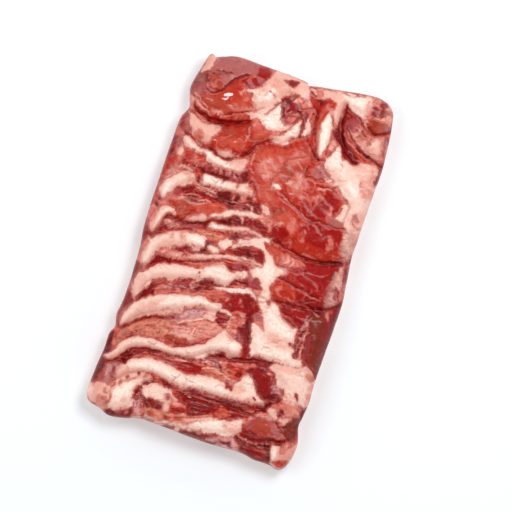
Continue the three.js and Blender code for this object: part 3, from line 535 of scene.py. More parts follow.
# Patches of the near half's middle
MIDDLE_NEAR = [
    ("dusk", 4, [-120, 46, -112, 46, -108, 40, -109, 30, -113, 16, -112, 4, -120, 4]),
    ("wine", 2.5, [-114, 45, -109, 45, -108, 41, -112, 40]),
    ("wine", 2.5, [-114, 38, -108, 38, -107, 34, -112, 33]),
    ("rosefat", 3, [-117, 30, -112, 30, -111, 20, -115, 16, -118, 20]),
    ("orange", 3, [-109, 38, -100, 40, -90, 40, -86, 36, -92, 38, -104, 36]),
    ("blush", 1.5, [-90, 36.5, -95, 38, -102, 37.5, -107, 33, -110, 25, -113, 15, -112, 8, -108, 5, -105.5,
         12, -103.5, 18, -102, 24, -99, 28, -95, 30.5, -90, 31]),
    ("ivory", 3, [-92, 35, -100, 35, -105, 28, -108, 14, -106, 14, -102, 26, -96, 31]),
    ("rosefat", 2, [-76, 27.5, -74, 32, -62, 36, -52, 40, -46, 44, -42, 43, -46, 37.5, -52, 36.5, -56, 31,
         -66, 28.5]),
    ("cream", 2, [-50, 41, -44, 45, -38, 46, -35, 51, -30, 54, -20, 56, -12, 57, -4, 60, 4, 58, 2, 54, -8,
         53, -14, 51, -20, 50, -28, 47, -35, 43, -40, 41, -46, 39]),
    ("deep", 1.5, [-78, 20, -72, 25, -66, 29.5, -60, 30.5, -54, 31, -53, 28, -60, 27, -68, 24, -74, 20]),
    ("crimson", 1.5, [-56, 28, -54, 33, -51, 38, -46, 38.5, -40, 41.5, -35, 41.5, -31, 39, -30, 37, -36, 36,
         -42, 34.5, -47, 34, -47.5, 27.5, -52, 26.5]),
    ("wine", 1.5, [-37, 41, -30, 45, -25, 49, -18, 50.5, -14.5, 49, -12, 43, -11, 40, -20, 37.5, -28, 35.5,
         -33, 37]),
    ("wine", 1.5, [-14, 51, -8, 52.5, -3, 51, -2, 46, -3, 42, -6, 39.5, -10, 41, -10, 46]),
    ("dusk", 2, [-7, 41, 2, 43, 7, 41, 9, 36, 0, 36, -6, 38]),
    ("crimson", 1.5, [3, 46, 4, 50, 8, 51.5, 13, 48.5, 18, 44, 20, 40, 17, 35.5, 11, 36.5, 7, 40]),
    ("wine", 2, [2, 48, 6, 51.5, 12, 49, 14, 46, 8, 44, 3, 44]),
    ("rosefat", 1.5, [-4, 54, 1, 51, 4, 47, 1, 45, -1.5, 47, -2.5, 51]),
    ("rosefat", 1, [-17, 51, -14, 51, -10, 45, -11, 43, -14, 47]),
    ("blush", 2, [-46, 33.5, -38, 34.5, -30, 36, -20, 37, -10, 39.5, 0, 39.5, 8, 38, 14, 36.5, 12, 34, 0,
         34.5, -8, 33.5, -15, 31.5, -25, 29.5, -35, 28.5, -42, 26.5, -47, 26]),
    ("ivory", 2, [-46.5, 33, -40, 33.5, -30, 34, -32, 30, -42, 27, -46.5, 26.5]),
    ("dusk", 3, [-14, 33, 0, 34.5, 10, 34, 14, 31, 8, 28, 2, 26.5, -5, 25.5, -12, 27, -22, 28]),
    ("brown", 3, [-48, 26, -38, 28, -26, 29.5, -16, 28, -8, 26, -4, 23, -12, 21, -22, 24, -34, 25]),
    ("red", 3, [-107, 3, -100, 9, -92, 12, -84, 16, -76, 21, -66, 25, -52, 27, -40, 27, -30, 26, -22, 24,
         -22, 19, -28, 14, -45, 14, -58, 17, -70, 16, -80, 13, -90, 8, -98, 3, -104, -1]),
    ("dusk", 3, [-76, 24, -66, 28, -56, 27, -50, 25, -56, 21, -68, 19, -78, 18]),
    ("orange", 5, [-50, 22, -38, 26, -28, 24, -24, 19, -30, 14, -42, 14, -52, 17]),
    ("plum", 2, [-102, 15, -100, 22, -97, 28, -92, 30.5, -85, 28.5, -78, 26, -76, 21, -84, 15, -94, 11,
         -102, 7]),
    ("rosefat", 2, [-98.5, 22, -96, 26, -92, 27.5, -87, 25, -82, 22, -80, 18, -84, 14.5, -92, 14.5, -97,
         17]),
    ("veil", 2, [-91, 20, -88, 21, -85, 19, -87, 16, -91, 17]),
    ("plum", 3, [-118, 3, -111, 6, -108, 0, -111, -4, -115, -12, -119, -8]),
    ("cream", 1.5, [-112, -2, -106, -4, -102, 0, -94, 6, -85, 11, -78, 13.5, -70, 16, -60, 17.5, -50, 16,
         -43, 13, -44, 9, -46, 4, -51, 0.5, -55, -1, -62, 1.5, -70, -1, -76, -4, -82, -8, -88, -10, -93,
         -13, -96, -18, -99, -26, -102, -33, -107, -35, -112, -33, -113, -24, -110, -16, -108, -8]),
    ("blush", 4, [-96, -2, -84, 4, -70, 7, -64, 2, -76, -2, -86, -8, -94, -10]),
    ("rosefat", 3, [-77, 14, -70, 16.5, -67, 11, -70, 5, -75, 7]),
    ("rosefat", 3, [-89, 7, -84, 9, -82, 4, -86, 2]),
    ("ivory", 4, [-66, 14, -52, 14, -47, 8, -54, 3, -64, 7]),
    ("rosefat", 3, [-115, -5, -109, -3, -108, -12, -111, -20, -114, -28, -117, -18]),
    ("veil", 2, [-118, -30, -112, -22, -113, -34, -118, -40]),
    ("plum", 1.2, [-60, 3.5, -56, 4, -54.5, 2, -58, 1]),
    ("wine", 1.5, [-51, -3, -49, 0.5, -46, 4, -45, 9, -41, 12, -35, 13.5, -31, 11.5, -33, 9, -38, 9, -41, 6,
         -40.5, 2, -37, 0.5, -33, -1, -38, -2.5, -43, -3, -46, -5.5, -50, -5]),
    ("crimson", 2, [-46, 9, -42, 12, -35, 13.5, -31, 12, -34, 9, -40, 9]),
    ("cream", 1.5, [-30, 12, -28, 18, -22, 22, -17, 23, -13, 20, -16, 14, -20, 11, -25, 9, -30, 8, -40, 8,
         -41, 4, -34, 2, -28, 4, -24, 8, -20, 9]),
    ("cream", 1.5, [-13, 13, -14, 19, -9, 24, -2, 26.5, 5, 31, 12, 34, 20, 36, 27, 38, 24, 31, 21, 27, 23,
         23, 28, 21, 34, 16, 39, 10, 45, 7, 52, 9, 55, 4, 50, 1, 46, -3, 43, -8, 41, -14, 43, -20, 43, -26,
         47, -30, 54, -34, 60, -36, 58, -40, 63, -46, 70, -50, 56, -54, 45, -50, 40, -46, 34, -38, 30, -31,
         32, -24, 31, -20, 28, -15, 22, -12, 16, -14, 13, -8, 12, -2, 20, 0, 26, 3, 25.5, 8, 24.5, 14, 21,
         20, 14, 21, 9, 22, 4, 21, -2, 18, -8, 16]),
    ("ivory", 4, [26, 12, 34, 8, 40, 0, 36, -10, 26, -8, 20, -3, 28, 2]),
    ("lilac", 3, [-12, 16, -4, 22, 4, 26, 2, 21, -6, 17]),
    ("dusk", 1.5, [-18, 24, -15, 24, -13, 19, -14, 17, -17, 20]),
    ("crimson", 1.5, [-28, 7, -20, 9.5, -14, 12, -8, 14.5, -2, 17, 3, 20, 7, 21.5, 10, 20.5, 14, 20, 19,
         20.5, 22, 18, 24, 12, 24.5, 5.5, 20, 5, 16, 5.5, 12, 6, 8, 5.5, 0, 6, -8, 5.5, -16, 6, -24, 5]),
    ("deep", 3, [-8, 12, 4, 14, 10, 10, 4, 7, -8, 7]),
    ("deep", 1.5, [16, 18, 21, 18, 24, 12, 24, 6.5, 19, 6, 16.5, 12]),
    ("rose", 1.5, [11, 14, 14, 15, 16, 9, 14, 6.5, 11.5, 9]),
    ("blush", 1.5, [-65, -15, -60, -11, -56, -8, -52, -6, -45, -5, -36, -2, -28, 0.5, -20, 2.5, -12, 4.5, 0,
         6.5, 10, 6.5, 20, 5.5, 26, 5, 26, 2, 18, 2, 10, 2.5, 0, 2, -10, 1, -20, -1, -30, -4.5, -42, -8.5,
         -52, -12]),
    ("mauve", 2.5, [-4, 5, 6, 5.5, 14, 4.5, 10, 2, -2, 2]),
    ("rosefat", 2, [-66, -17, -52, -13.5, -40, -9.5, -30, -6, -20, -4, -22, -8, -30, -10.5, -42, -14.5, -55,
         -17.5]),
    ("plum", 2.5, [-97, -16, -90, -12, -84, -9, -78, -5, -72, -2.5, -66, 0, -60, 1, -52, -3, -56, -6, -64,
         -8, -72, -9, -80, -12, -86, -14, -92, -19]),
    ("dusk", 3, [-92, -14, -84, -13, -78, -16, -84, -21, -94, -20]),
    ("rosefat", 2.5, [-80, -12, -72, -9.5, -64, -9, -60, -11, -66, -16, -76, -18, -84, -17]),
    ("bright", 2.5, [-98, -20, -94, -18, -88, -19.5, -78, -20.5, -70, -21, -74, -23.5, -84, -27, -92, -31,
         -98, -36, -104, -41, -103, -34, -100, -27]),
    ("crimson", 3, [-97, -20, -90, -19, -82, -21, -88, -26, -97, -27]),
    ("red", 2, [-76, -21, -66, -18.5, -58, -17, -52, -13.5, -45, -13.5, -38, -17, -40, -20, -44, -21.5, -55,
         -22.5, -66, -24]),
    ("orange", 3, [-54, -15, -46, -13, -36, -17, -38, -21, -48, -20]),
    ("rosefat", 3, [-42, -12, -30, -8, -20, -6, -18, -10, -28, -13, -38, -16]),
    ("cream", 1.5, [-104, -43, -97, -36.5, -90, -30, -80, -26, -68, -23, -55, -22, -42, -21, -38, -16.5,
         -30, -12.5, -20, -9.5, -14, -10, -11, -13, -4, -14, 0, -11, 6, -9.5, 10, -7, 12, -12, 8, -17, 2,
         -19, -1, -22, -6, -28, -9, -32, -14, -32, -20, -30, -28, -29, -34, -31, -40, -33, -48, -34.5, -56,
         -36.5, -64, -39.5, -70, -43, -78, -43.5, -84, -45.5, -89, -48.5, -92, -52.5, -96, -58.5, -98, -64,
         -101, -71, -103.5, -77, -107, -73, -110, -66, -112, -58, -110, -50, -108, -45]),
    ("ivory", 5, [-36, -18, -22, -13, -10, -16, -8, -26, -20, -28, -36, -26]),
    ("blush", 4, [-110, -52, -104, -46, -98, -48, -102, -62, -104, -74, -109, -66]),
    ("dusk", 1.5, [-43, -25, -40.5, -25, -39.5, -28.5, -41.5, -30, -43, -28]),
    ("plum", 1.5, [-21, -5, -16, -2, -10, 0.5, -4, 1.5, 2, 1.5, 8, 0, 13, -3.5, 10, -7.5, 6, -9, 0, -9.5,
         -5, -11.5, -9, -13.5, -12, -10, -16, -7]),
    ("red", 2, [-20, -5, -12, -0.5, -4, 1, -2, -3, -9, -9, -14, -8]),
    ("dusk", 2, [-6, -3, 1, -2, 1, -8, -6, -10]),
    ("wine", 1.5, [1, 0, 5, 0, 6, -7, 2, -8]),
    ("deep", 1.5, [-43, -35, -38, -31.5, -32, -29.5, -25, -29.5, -20, -31.5, -10, -33, -18, -34.5, -26, -37,
         -36, -37, -43, -38.5]),
    ("plum", 2, [-43, -36, -38, -33, -37, -37, -41, -39]),
    ("plum", 2, [-2, -22, 4, -18.5, 10, -16, 14, -14, 18, -14.5, 22, -11.5, 28, -14.5, 32, -20, 34, -24.5,
         27, -24.5, 18, -24.5, 8, -25.5, 0, -28, -6, -31, -9, -33, -6, -28]),
    ("dusk", 3, [14, -18, 22, -14, 28, -17, 30, -23, 20, -22]),
    ("dusk", 1.5, [11, -6, 14, -7, 17.5, -13, 14, -15, 11.5, -12]),
    ("brown", 1.5, [11, -1, 16, -1, 19, -2.5, 15, -4, 12, -3]),
    ("ivory", 1.5, [-22, -36.5, -12, -34.5, -9, -33, 0, -31, 10, -28, 18, -26.5, 24, -28.5, 28, -31, 30,
         -35, 24, -34, 18, -31.5, 10, -34, 2, -36.5, -8, -37.5, -18, -38]),
    ("veil", 2, [18, -27, 26, -25.5, 34, -31, 30, -31.5, 24, -29]),
    ("dusk", 2, [41, -34, 45, -32.5, 48, -36, 45, -38.5, 42, -37]),
    ("bright", 2.5, [20, 30, 28, 30, 40, 29, 50, 27, 60, 23, 75, 24, 90, 26, 104, 30, 113, 32, 110, 20, 105,
         10, 103, 0, 106, -8, 108, -16, 100, -24, 92, -31, 80, -31, 66, -31, 55, -32, 48, -29.5, 43, -24,
         41, -16, 45, -8, 46, -3, 52, 2, 56, 5, 50, 9, 42, 8, 37, 13, 31, 19, 22, 25]),
    ("salmon", 4, [21, 29, 32, 29, 42, 28, 44, 18, 40, 12, 33, 18, 24, 25]),
    ("rose", 5, [44, 22, 56, 21, 68, 20, 70, 13, 58, 10, 48, 12]),
    ("crimson", 8, [86, 24, 100, 28, 108, 22, 100, 10, 84, 12]),
    ("salmon", 6, [42, -8, 52, -6, 64, -12, 66, -24, 54, -28, 44, -24]),
    ("crimson", 5, [88, -17, 98, -18, 104, -24, 94, -29, 84, -26]),
    ("red", 6, [60, 8, 76, 8, 90, 2, 82, -4, 66, -3, 57, 2]),
    ("mauve", 3, [111, 42, 122, 44, 126, 20, 126, -10, 118, -16, 108, -20, 104, -10, 106, 0, 103, 8, 109,
         18, 113, 30]),
    ("veil", 4, [110, 16, 118, 18, 122, 8, 121, 0, 114, 2, 106, 6]),
    ("veil", 3, [106, -4, 114, -2, 118, -8, 112, -15, 106, -14]),
    ("orange", 3, [118, 4, 123, 4, 124, -6, 121, -10, 118, -6]),
    ("plum", 2.5, [116, 34, 120, 34, 121, 14, 118, 10, 117, 22]),
    ("wine", 2, [120, 46, 124, 44, 124, 36, 120, 38]),
    ("plum", 4, [58, -34, 75, -34, 90, -32, 102, -33, 112, -28, 119, -22, 128, -14, 128, -50, 126, -98, 122,
         -104, 116, -94, 108, -91, 103, -92, 99, -87, 96, -84, 96, -60, 92, -52, 86, -50, 86, -54, 80,
         -54.5, 74, -51.5, 66, -48, 60, -42]),
    ("bright", 5, [60, -33, 76, -33, 90, -34, 90, -46, 84, -52, 74, -50, 66, -46, 60, -40]),
    ("crimson", 6, [100, -36, 116, -34, 118, -52, 108, -58, 98, -50]),
    ("wine", 5, [99, -62, 104, -60, 106, -80, 104, -88, 98, -82]),
    ("brown", 5, [108, -60, 118, -56, 120, -76, 116, -90, 108, -86]),
    ("crimson", 3, [99, -66, 104, -64, 106, -80, 101, -84]),
    ("deep", 2.5, [119, -26, 126, -22, 127, -50, 125, -98, 121, -96, 122, -60, 120, -44]),
    ("deep", 2, [99, -25, 107, -23, 115, -19.5, 121, -12.5, 126, -8, 126, -15, 119, -21, 110, -26, 103,
         -31]),
    ("rose", 2, [112, -26, 115, -26, 119, -38, 121, -46, 118, -44, 114, -34]),
]

# Patches of the near end
NEAR_END = [
    ("plum", 3, [-120, -34, -112, -34, -106, -38, -102, -42, -108, -46, -111, -52, -113, -62, -120, -62]),
    ("rosefat", 3, [-120, -46, -114, -52, -112, -60, -114, -66, -120, -66]),
    ("plum", 2.5, [-120, -66, -112, -69, -108, -73, -104, -79, -104, -83, -109, -90, -120, -92]),
    ("mauve", 3, [-120, -90, -112, -90, -113, -100, -111, -110, -120, -110]),
    ("rose", 3, [-122, -110, -112, -111, -107, -113, -112, -119, -117, -123, -124, -122]),
    ("dusk", 2, [-92, -52, -89, -49, -84, -46, -78, -44.5, -72, -45, -66, -45, -60, -45, -54, -43, -50, -40,
         -46, -40, -44, -49, -50, -50.5, -60, -53, -68, -55, -76, -57, -84, -60, -91, -65, -97, -70, -99,
         -64, -95, -57]),
    ("plum", 2.5, [-92, -52, -88, -49, -84, -52, -86, -58, -92, -62, -97, -66, -96, -60]),
    ("rosefat", 3, [-82, -52, -76, -49.5, -66, -50, -56, -49, -48, -49, -55, -53, -65, -55, -75, -56]),
    ("brown", 2, [-82, -48, -78, -46, -70, -46, -66, -48, -72, -50, -78, -50]),
    ("plum", 1.5, [-67, -43, -64, -40, -58, -38, -52, -36, -48, -34, -46, -37, -49, -40.5, -56, -43, -62,
         -45.5, -67, -46]),
    ("rosefat", 2, [-47, -37, -43, -34, -41, -38, -42, -42, -46, -42]),
    ("crimson", 2, [-99, -64, -94, -62.5, -88, -60.5, -83, -61, -86, -64, -92, -68, -97, -73, -102, -78,
         -103, -75]),
    ("plum", 2, [-86, -60, -75, -57.5, -65, -55.5, -55, -52.5, -46, -51, -40, -47, -33, -43, -25, -40, -18,
         -38, -24, -37.5, -34, -40, -42, -44, -48, -49, -56, -50, -64, -53, -74, -55, -84, -58]),
    ("orange", 2, [-36, -48, -30, -44, -25, -41, -17, -39, -9, -38.5, -6, -43, -7, -48, -14, -51.5, -20,
         -53.5, -28, -51]),
    ("bright", 3, [-12, -50, -6, -47, -3, -50, -6, -54]),
    ("cream", 1.5, [-106, -82, -100, -77, -94, -71, -88, -67, -80, -63, -72, -60, -60, -56, -50, -53, -40,
         -51, -30, -50, -24, -52, -18, -54, -12, -52, -6, -51, -4, -53, -7, -57, -8, -62, -9, -72, -13, -74,
         -20, -73, -26, -74, -35, -78, -45, -83, -52, -86, -64, -85, -74, -84, -80, -86, -88, -91, -94, -97,
         -100, -102, -105, -108, -109, -111, -112, -107, -113, -100, -110, -92]),
    ("blush", 6, [-100, -84, -90, -74, -76, -68, -66, -66, -76, -78, -90, -88, -98, -94]),
    ("ivory", 4, [-64, -62, -48, -57, -32, -53, -20, -56, -30, -60, -46, -66, -60, -70, -76, -76]),
    ("mauve", 3, [-72, -79, -66, -77, -58, -75, -50, -72, -44, -68, -36, -65, -30, -62, -24, -62, -21, -67,
         -25, -72, -34, -77, -44, -82, -52, -85, -62, -87, -70, -86]),
    ("rosefat", 3, [-46, -70, -36, -67, -28, -70, -34, -75, -42, -78, -48, -76]),
    ("dusk", 2.5, [-37, -64, -31, -61, -25, -62, -23, -67, -28, -69, -34, -67]),
    ("rosefat", 3, [-22, -62, -14, -66, -9, -64, -9, -70, -16, -70, -22, -68]),
    ("tan", 3, [-112, -113, -103, -106, -94, -100, -88, -95, -78, -91.5, -68, -89, -58, -87, -50, -86, -40,
         -84, -30, -80, -16, -77, -4, -79, 8, -80, 3, -86, -3, -91, -8, -96, -13, -101, -20, -106, -28,
         -109, -38, -114, -44, -116, -60, -114, -76, -115, -88, -115.5, -98, -121, -106, -127, -112, -134,
         -116, -126, -117, -120]),
    ("rosefat", 4, [-50, -87, -42, -84, -34, -80, -26, -77, -16, -75, -8, -77, 4, -80, 8, -81, 3, -86, -4,
         -91, -12, -97, -20, -102, -30, -103, -40, -100, -46, -95]),
    ("blush", 4, [-44, -98, -34, -96, -26, -99, -32, -103, -42, -102, -56, -102]),
    ("rose", 4, [-30, -86, -18, -84, -8, -87, -14, -92, -26, -93]),
    ("rose", 3, [-20, -98, -12, -95, -8, -97, -14, -101, -24, -105, -26, -102]),
    ("dusk", 2, [-49, -89.5, -44, -86.5, -38, -86, -38, -89, -44, -90]),
    ("brown", 4, [-108, -116, -98, -110, -90, -104, -86, -108, -92, -118, -102, -124, -110, -128]),
    ("rosefat", 3, [-80, -112, -68, -111, -58, -113, -46, -114, -60, -115, -78, -115.5]),
    ("rose", 3, [-68, -107, -61, -106, -60, -111, -66, -111]),
    ("brown", 2, [-57, -104, -50, -103.5, -48, -108, -49, -114, -56, -113, -58, -108]),
    ("brown", 1.5, [-46, -104, -41, -103, -37, -108, -37, -112, -44, -116, -45.5, -110]),
    ("brown", 2, [-38, -103, -32, -101.5, -28, -105, -25, -106, -29, -110, -35, -110]),
    ("deep", 2.5, [-124, -121, -117, -121, -114.5, -129, -113.5, -138, -116, -145, -124, -146]),
    ("tan", 2, [-115, -128, -110, -127, -106, -127, -110, -134, -113, -140, -114, -134]),
    ("cream", 1.5, [-120, -149, -116, -145.5, -111.5, -142, -108, -135, -104, -127, -97, -121, -88, -115.5,
         -76, -114.5, -60, -114.5, -45, -116, -36, -113.5, -28, -109, -20, -105, -13, -100, -8, -95, -3,
         -90, 2, -83, 8, -80, 14, -83, 20, -86.5, 28, -88.5, 31, -92, 29, -97, 31, -102, 25, -106, 17, -108,
         10, -104.5, 4, -108, -2, -112, -7, -117, -14, -121, -25, -123.5, -40, -125, -58, -125, -72, -125.5,
         -84, -128.5, -92, -133, -98, -140, -103, -147, -108, -151.5, -113, -152]),
    ("ivory", 4, [-40, -122, -26, -117, -12, -108, 0, -97, 10, -90, 24, -92, 26, -100, 12, -100, 2, -104,
         -8, -114, -24, -121]),
    ("blush", 3, [-112, -150, -106, -146, -98, -136, -90, -128, -94, -124, -102, -132, -110, -144]),
    ("rosefat", 3, [11, -82, 18, -80, 20, -87, 14, -90]),
    ("wine", 1.5, [-114, -152.5, -107, -152, -102, -147, -97, -140, -91, -133, -83, -129, -76, -127, -65,
         -125.5, -58, -125, -58, -127, -70, -130, -80, -133, -87, -137, -89, -144, -90, -149, -97, -151,
         -104, -154, -112, -155]),
    ("dusk", 2, [-92, -136, -84, -131.5, -74, -129.5, -62, -127.5, -50, -128, -62, -130.5, -74, -133, -86,
         -138]),
    ("rosefat", 1.2, [-60, -127.5, -46, -127, -32, -125.5, -18, -124.5, -8, -124, -8, -126.5, -22, -127,
         -36, -128.5, -50, -129]),
    ("salmon", 2.5, [-78, -134, -66, -131.5, -55, -130, -45, -130, -38, -132, -44, -136, -56, -136, -66,
         -136, -76, -139]),
    ("bright", 2, [-57, -131, -46, -130, -44, -134, -54, -134.5]),
    ("dusk", 2.5, [-45, -129.5, -36, -128.5, -28, -130, -24, -135, -25, -139, -34, -139, -43, -136.5]),
    ("red", 2, [-29, -127.5, -18, -126.5, -8, -126.5, -3, -129, -6, -136, -12, -139, -20, -141, -25, -138,
         -25, -132]),
    ("crimson", 2, [-22, -130, -10, -130, -7, -134, -14, -137, -21, -137]),
    ("dusk", 2, [-18, -122.5, -10, -119, -5, -115, 2, -112, 8, -113, 2, -118, -4, -122, -8, -125, -16,
         -124.5]),
    ("bright", 1.5, [-6, -38, 2, -36.5, 10, -34, 17, -31.5, 20, -31, 24, -33.5, 28, -38, 31, -43, 37, -46,
         40, -51, 34, -52, 34, -57, 37, -61, 30, -64, 26, -60, 22, -56, 18, -54, 12, -55, 6, -56.5, 0, -58,
         -4, -57, -7, -52, -5, -47, -6, -42]),
    ("crimson", 3, [-4, -38, 10, -35, 20, -32, 26, -37, 18, -39, 6, -40]),
    ("crimson", 3, [14, -40, 22, -42, 30, -46, 32, -58, 24, -58, 18, -50]),
    ("deep", 2, [16, -38, 20, -38, 22, -46, 18, -46]),
    ("rosefat", 2, [-5, -40, -1, -42, -0.5, -47, -4, -46.5]),
    ("rose", 2, [10, -41, 14, -41, 14, -45, 11, -45]),
    ("rose", 2, [15, -45, 18, -45, 18, -49, 15, -49]),
    ("orange", 2, [22, -37, 28, -36, 32, -40, 30, -44, 25, -42]),
    ("mauve", 2, [32, -51, 37, -46.5, 43, -51.5, 46, -58, 43, -61, 36, -61, 33, -56]),
    ("rose", 1.5, [37, -60, 44, -58, 47.5, -67, 44, -67, 40, -63]),
    ("rosefat", 1.5, [-8, -56, -4, -57.5, 2, -58.5, 8, -59.5, 8, -62.5, 0, -63, -6, -61.5]),
    ("wine", 1.2, [-8, -62, -2, -62, 4, -62.5, 7.5, -62, 5.5, -67, 3, -71.5, -1, -75, -6, -74, -9, -70,
         -9.5, -65]),
    ("rosefat", 2, [8, -62, 14, -57, 18, -55, 23, -56, 26, -60, 25, -67, 22, -71, 18, -72, 12, -74, 6,
         -75.5, 3, -73, 6, -67]),
    ("bright", 1.5, [7, -57, 14, -56, 18, -58, 14, -61.5, 10, -61]),
    ("orange", 2.5, [9, -64, 18, -62, 22, -66, 16, -70, 10, -69]),
    ("plum", 1.5, [26, -61, 30, -63, 33, -64, 35, -70, 37, -77, 39.5, -86, 37, -89, 30, -88.5, 24, -87, 20,
         -83, 20, -76, 18, -72, 23, -69, 25.5, -65]),
    ("wine", 3, [27, -62, 33, -64, 36, -74, 38, -84, 32, -82, 28, -74]),
    ("dusk", 3, [20, -79, 26, -80, 30, -87, 24, -88, 19, -84]),
    ("rosefat", 2, [-8, -76, 0, -77, 8, -76.5, 16, -74, 20, -77, 20, -82.5, 12, -80, 4, -81, -2, -86, -8,
         -84]),
    ("bright", 1.5, [31, -90, 34, -88, 39, -88, 41.5, -95, 43, -100, 38, -101, 33, -102, 30, -98, 30, -93]),
    ("cream", 1.5, [42, -46, 46, -38, 52, -36, 57, -38, 60, -43, 63, -47, 70, -50, 75, -52.5, 80, -55, 85,
         -53, 86.5, -57, 85, -62, 84, -67.5, 87, -70, 84.5, -75, 88, -81, 90, -86.5, 95, -88.5, 100, -86.5,
         104, -91, 101, -95, 92, -96.5, 80, -97.5, 70, -99, 66, -100, 58, -98.5, 52, -96, 46, -99, 43, -100,
         40, -91, 38, -83, 36, -74, 33, -65, 36, -62.5, 42, -64, 48, -68, 46.5, -60, 43, -52]),
    ("ivory", 5, [48, -44, 60, -50, 78, -60, 82, -68, 60, -66, 50, -58]),
    ("ivory", 5, [42, -72, 60, -82, 86, -86, 92, -94, 66, -96, 46, -94, 40, -82]),
    ("blush", 5, [60, -66, 76, -68, 84, -76, 72, -82, 60, -78, 52, -72]),
    ("plum", 1.5, [80.5, -72, 84.5, -71.5, 84.5, -74.5, 81, -74.5]),
    ("plum", 2, [86, -51, 90, -46, 93, -42, 95, -47, 95, -53, 98, -56, 97, -62, 95, -70, 94, -77, 94, -84,
         90, -86, 88, -80, 89, -70, 85.5, -68, 86, -60, 87, -54]),
    ("rosefat", 1.5, [91, -44, 94, -43, 93.5, -50, 92, -57, 89.5, -57, 90, -50]),
    ("rose", 1.5, [97, -52, 99, -53, 98, -62, 97, -72, 98, -84, 96, -86, 95, -76, 95.5, -62]),
    ("cream", 2, [67, -101, 80, -98.5, 95, -97, 103, -96, 107, -93, 114, -94, 119, -99, 124, -106, 126,
         -126, 124, -140, 112, -142, 96, -140, 90, -134, 86, -127, 82, -122, 79, -116, 75, -110, 70, -107,
         66, -106]),
    ("blush", 4, [70, -100, 90, -98, 102, -98, 98, -106, 80, -108, 70, -106]),
    ("veil", 3, [100, -95, 108, -92, 115, -95, 119, -100, 118, -106, 110, -106, 102, -102]),
    ("brown", 3, [115, -101, 120, -100, 121, -106, 116, -107, 112, -107]),
    ("rosefat", 4, [118, -110, 126, -106, 126, -138, 119, -138, 117, -124]),
    ("plum", 2, [102, -126, 108, -125.5, 111, -130, 110, -135, 106, -131]),
    ("rosefat", 3, [88, -128, 98, -130, 110, -136, 118, -138, 112, -144, 96, -142, 90, -136]),
    ("plum", 2, [44, -116, 52, -110, 60, -107, 66, -106.5, 72, -109, 76, -113, 79.5, -119, 78.5, -125, 76,
         -130, 74, -134, 70, -138, 60, -125]),
    ("crimson", 1.5, [41, -117, 47, -114, 53, -111.5, 60, -110.5, 66, -113, 69, -117, 71, -123, 71, -130,
         70, -137, 67, -141, 62, -136, 58, -130, 53, -123, 48, -119.5]),
    ("rose", 1.5, [68, -110, 72, -113, 74, -119, 72, -121, 70, -116, 66, -112]),
    ("dusk", 2, [76, -128, 79, -122, 84, -125, 87, -131, 91, -133, 84, -135, 78, -136]),
    ("mauve", 2, [79, -124, 83, -126, 86, -132, 80, -134, 78, -130]),
    ("plum", 1.5, [87, -127, 91, -126.5, 92, -131, 88, -131]),
    ("wine", 2, [70, -131, 75, -131, 78, -136, 84, -134, 91, -134, 90, -140, 84, -142, 78, -140, 73, -143,
         68, -141]),
    ("deep", 2, [78, -136, 90, -134, 89, -141, 82, -139]),
    ("plum", 1.5, [3, -109, 8, -104.5, 14, -106, 22, -109, 32, -105.5, 42, -101.5, 48, -99.5, 52, -95.5, 57,
         -98, 64, -100, 69, -98.5, 67.5, -103, 66, -107, 58, -105, 46, -107, 36, -109.5, 24, -112, 10, -114,
         2, -116, -5, -118, -4, -113]),
    ("rose", 3, [22, -114, 30, -110.5, 42, -107.5, 50, -107, 46, -112, 41, -116, 32, -118, 26, -116]),
    ("rosefat", 3, [0, -116, 8, -114, 18, -114, 20, -119, 16, -124, 4, -125, -4, -124]),
    ("tan", 3, [-8, -125, 4, -124.5, 14, -125, 22, -121, 30, -124, 40, -124, 42, -129, 36, -133, 32, -137,
         26, -141, 16, -137, 4, -136.5, -6, -137, -4, -130]),
    ("salmon", 3, [26, -122, 36, -124, 42, -126, 38, -131, 28, -131, 22, -126]),
    ("rosefat", 3, [22, -128, 32, -132, 30, -138, 22, -136]),
    ("red", 2, [19, -116, 24, -113, 28, -118, 32, -118, 35, -116, 41, -117, 39, -121, 38, -126, 33, -127,
         29, -122.5, 23, -120]),
    ("crimson", 2, [34, -120, 39, -120, 38, -126.5, 32, -127]),
    ("brown", 2.5, [-6, -132, 6, -131, 18, -131, 20, -135, 8, -135.5, -6, -136]),
    ("dusk", 2, [-3, -117, 4, -116, 10, -119, 15, -122, 10, -124, 2, -121]),
    ("cream", 1.5, [-97, -153, -91, -150.5, -90, -145, -86, -142, -78, -139, -70, -136.5, -62, -135.5, -50,
         -136, -40, -137.5, -30, -139.5, -22, -141.5, -12, -139, 0, -136.5, 15, -136, 22, -138.5, 30, -144,
         35, -140, 34, -135, 40, -131, 43, -124, 46, -120.5, 52, -124, 57, -131, 62, -138, 67, -142, 72,
         -143.5, 76, -146, 74, -149.5, 64, -151.5, 55, -152.5, 45, -152.5, 35, -154.5, 22, -156, 5, -155,
         -8, -154, -16, -157, -25, -158.5, -33, -156.5, -42, -154.5, -55, -152.5, -63, -151.5, -70, -152.5,
         -78, -155.5, -84, -160, -88, -164, -91, -168.5, -95, -171, -97, -163, -96, -157]),
    ("ivory", 6, [-84, -146, -66, -140, -40, -142, -20, -146, 0, -142, 18, -142, 26, -147, 0, -151, -30,
         -152, -60, -148, -80, -152]),
    ("ivory", 4, [46, -125, 50, -125, 56, -134, 62, -141, 54, -142, 46, -134]),
    ("blush", 4, [-96, -154, -90, -152, -84, -158, -90, -166, -96, -166]),
    ("rosefat", 4, [28, -151, 44, -148, 60, -146, 74, -147, 72, -150, 54, -153, 34, -155]),
    ("blush", 4, [34, -140, 44, -134, 48, -142, 42, -148, 34, -147]),
    ("plum", 2, [24, -137, 28, -137, 29, -142, 25, -143]),
    ("plum", 2, [30, -139, 33.5, -139, 34, -143.5, 30, -144]),
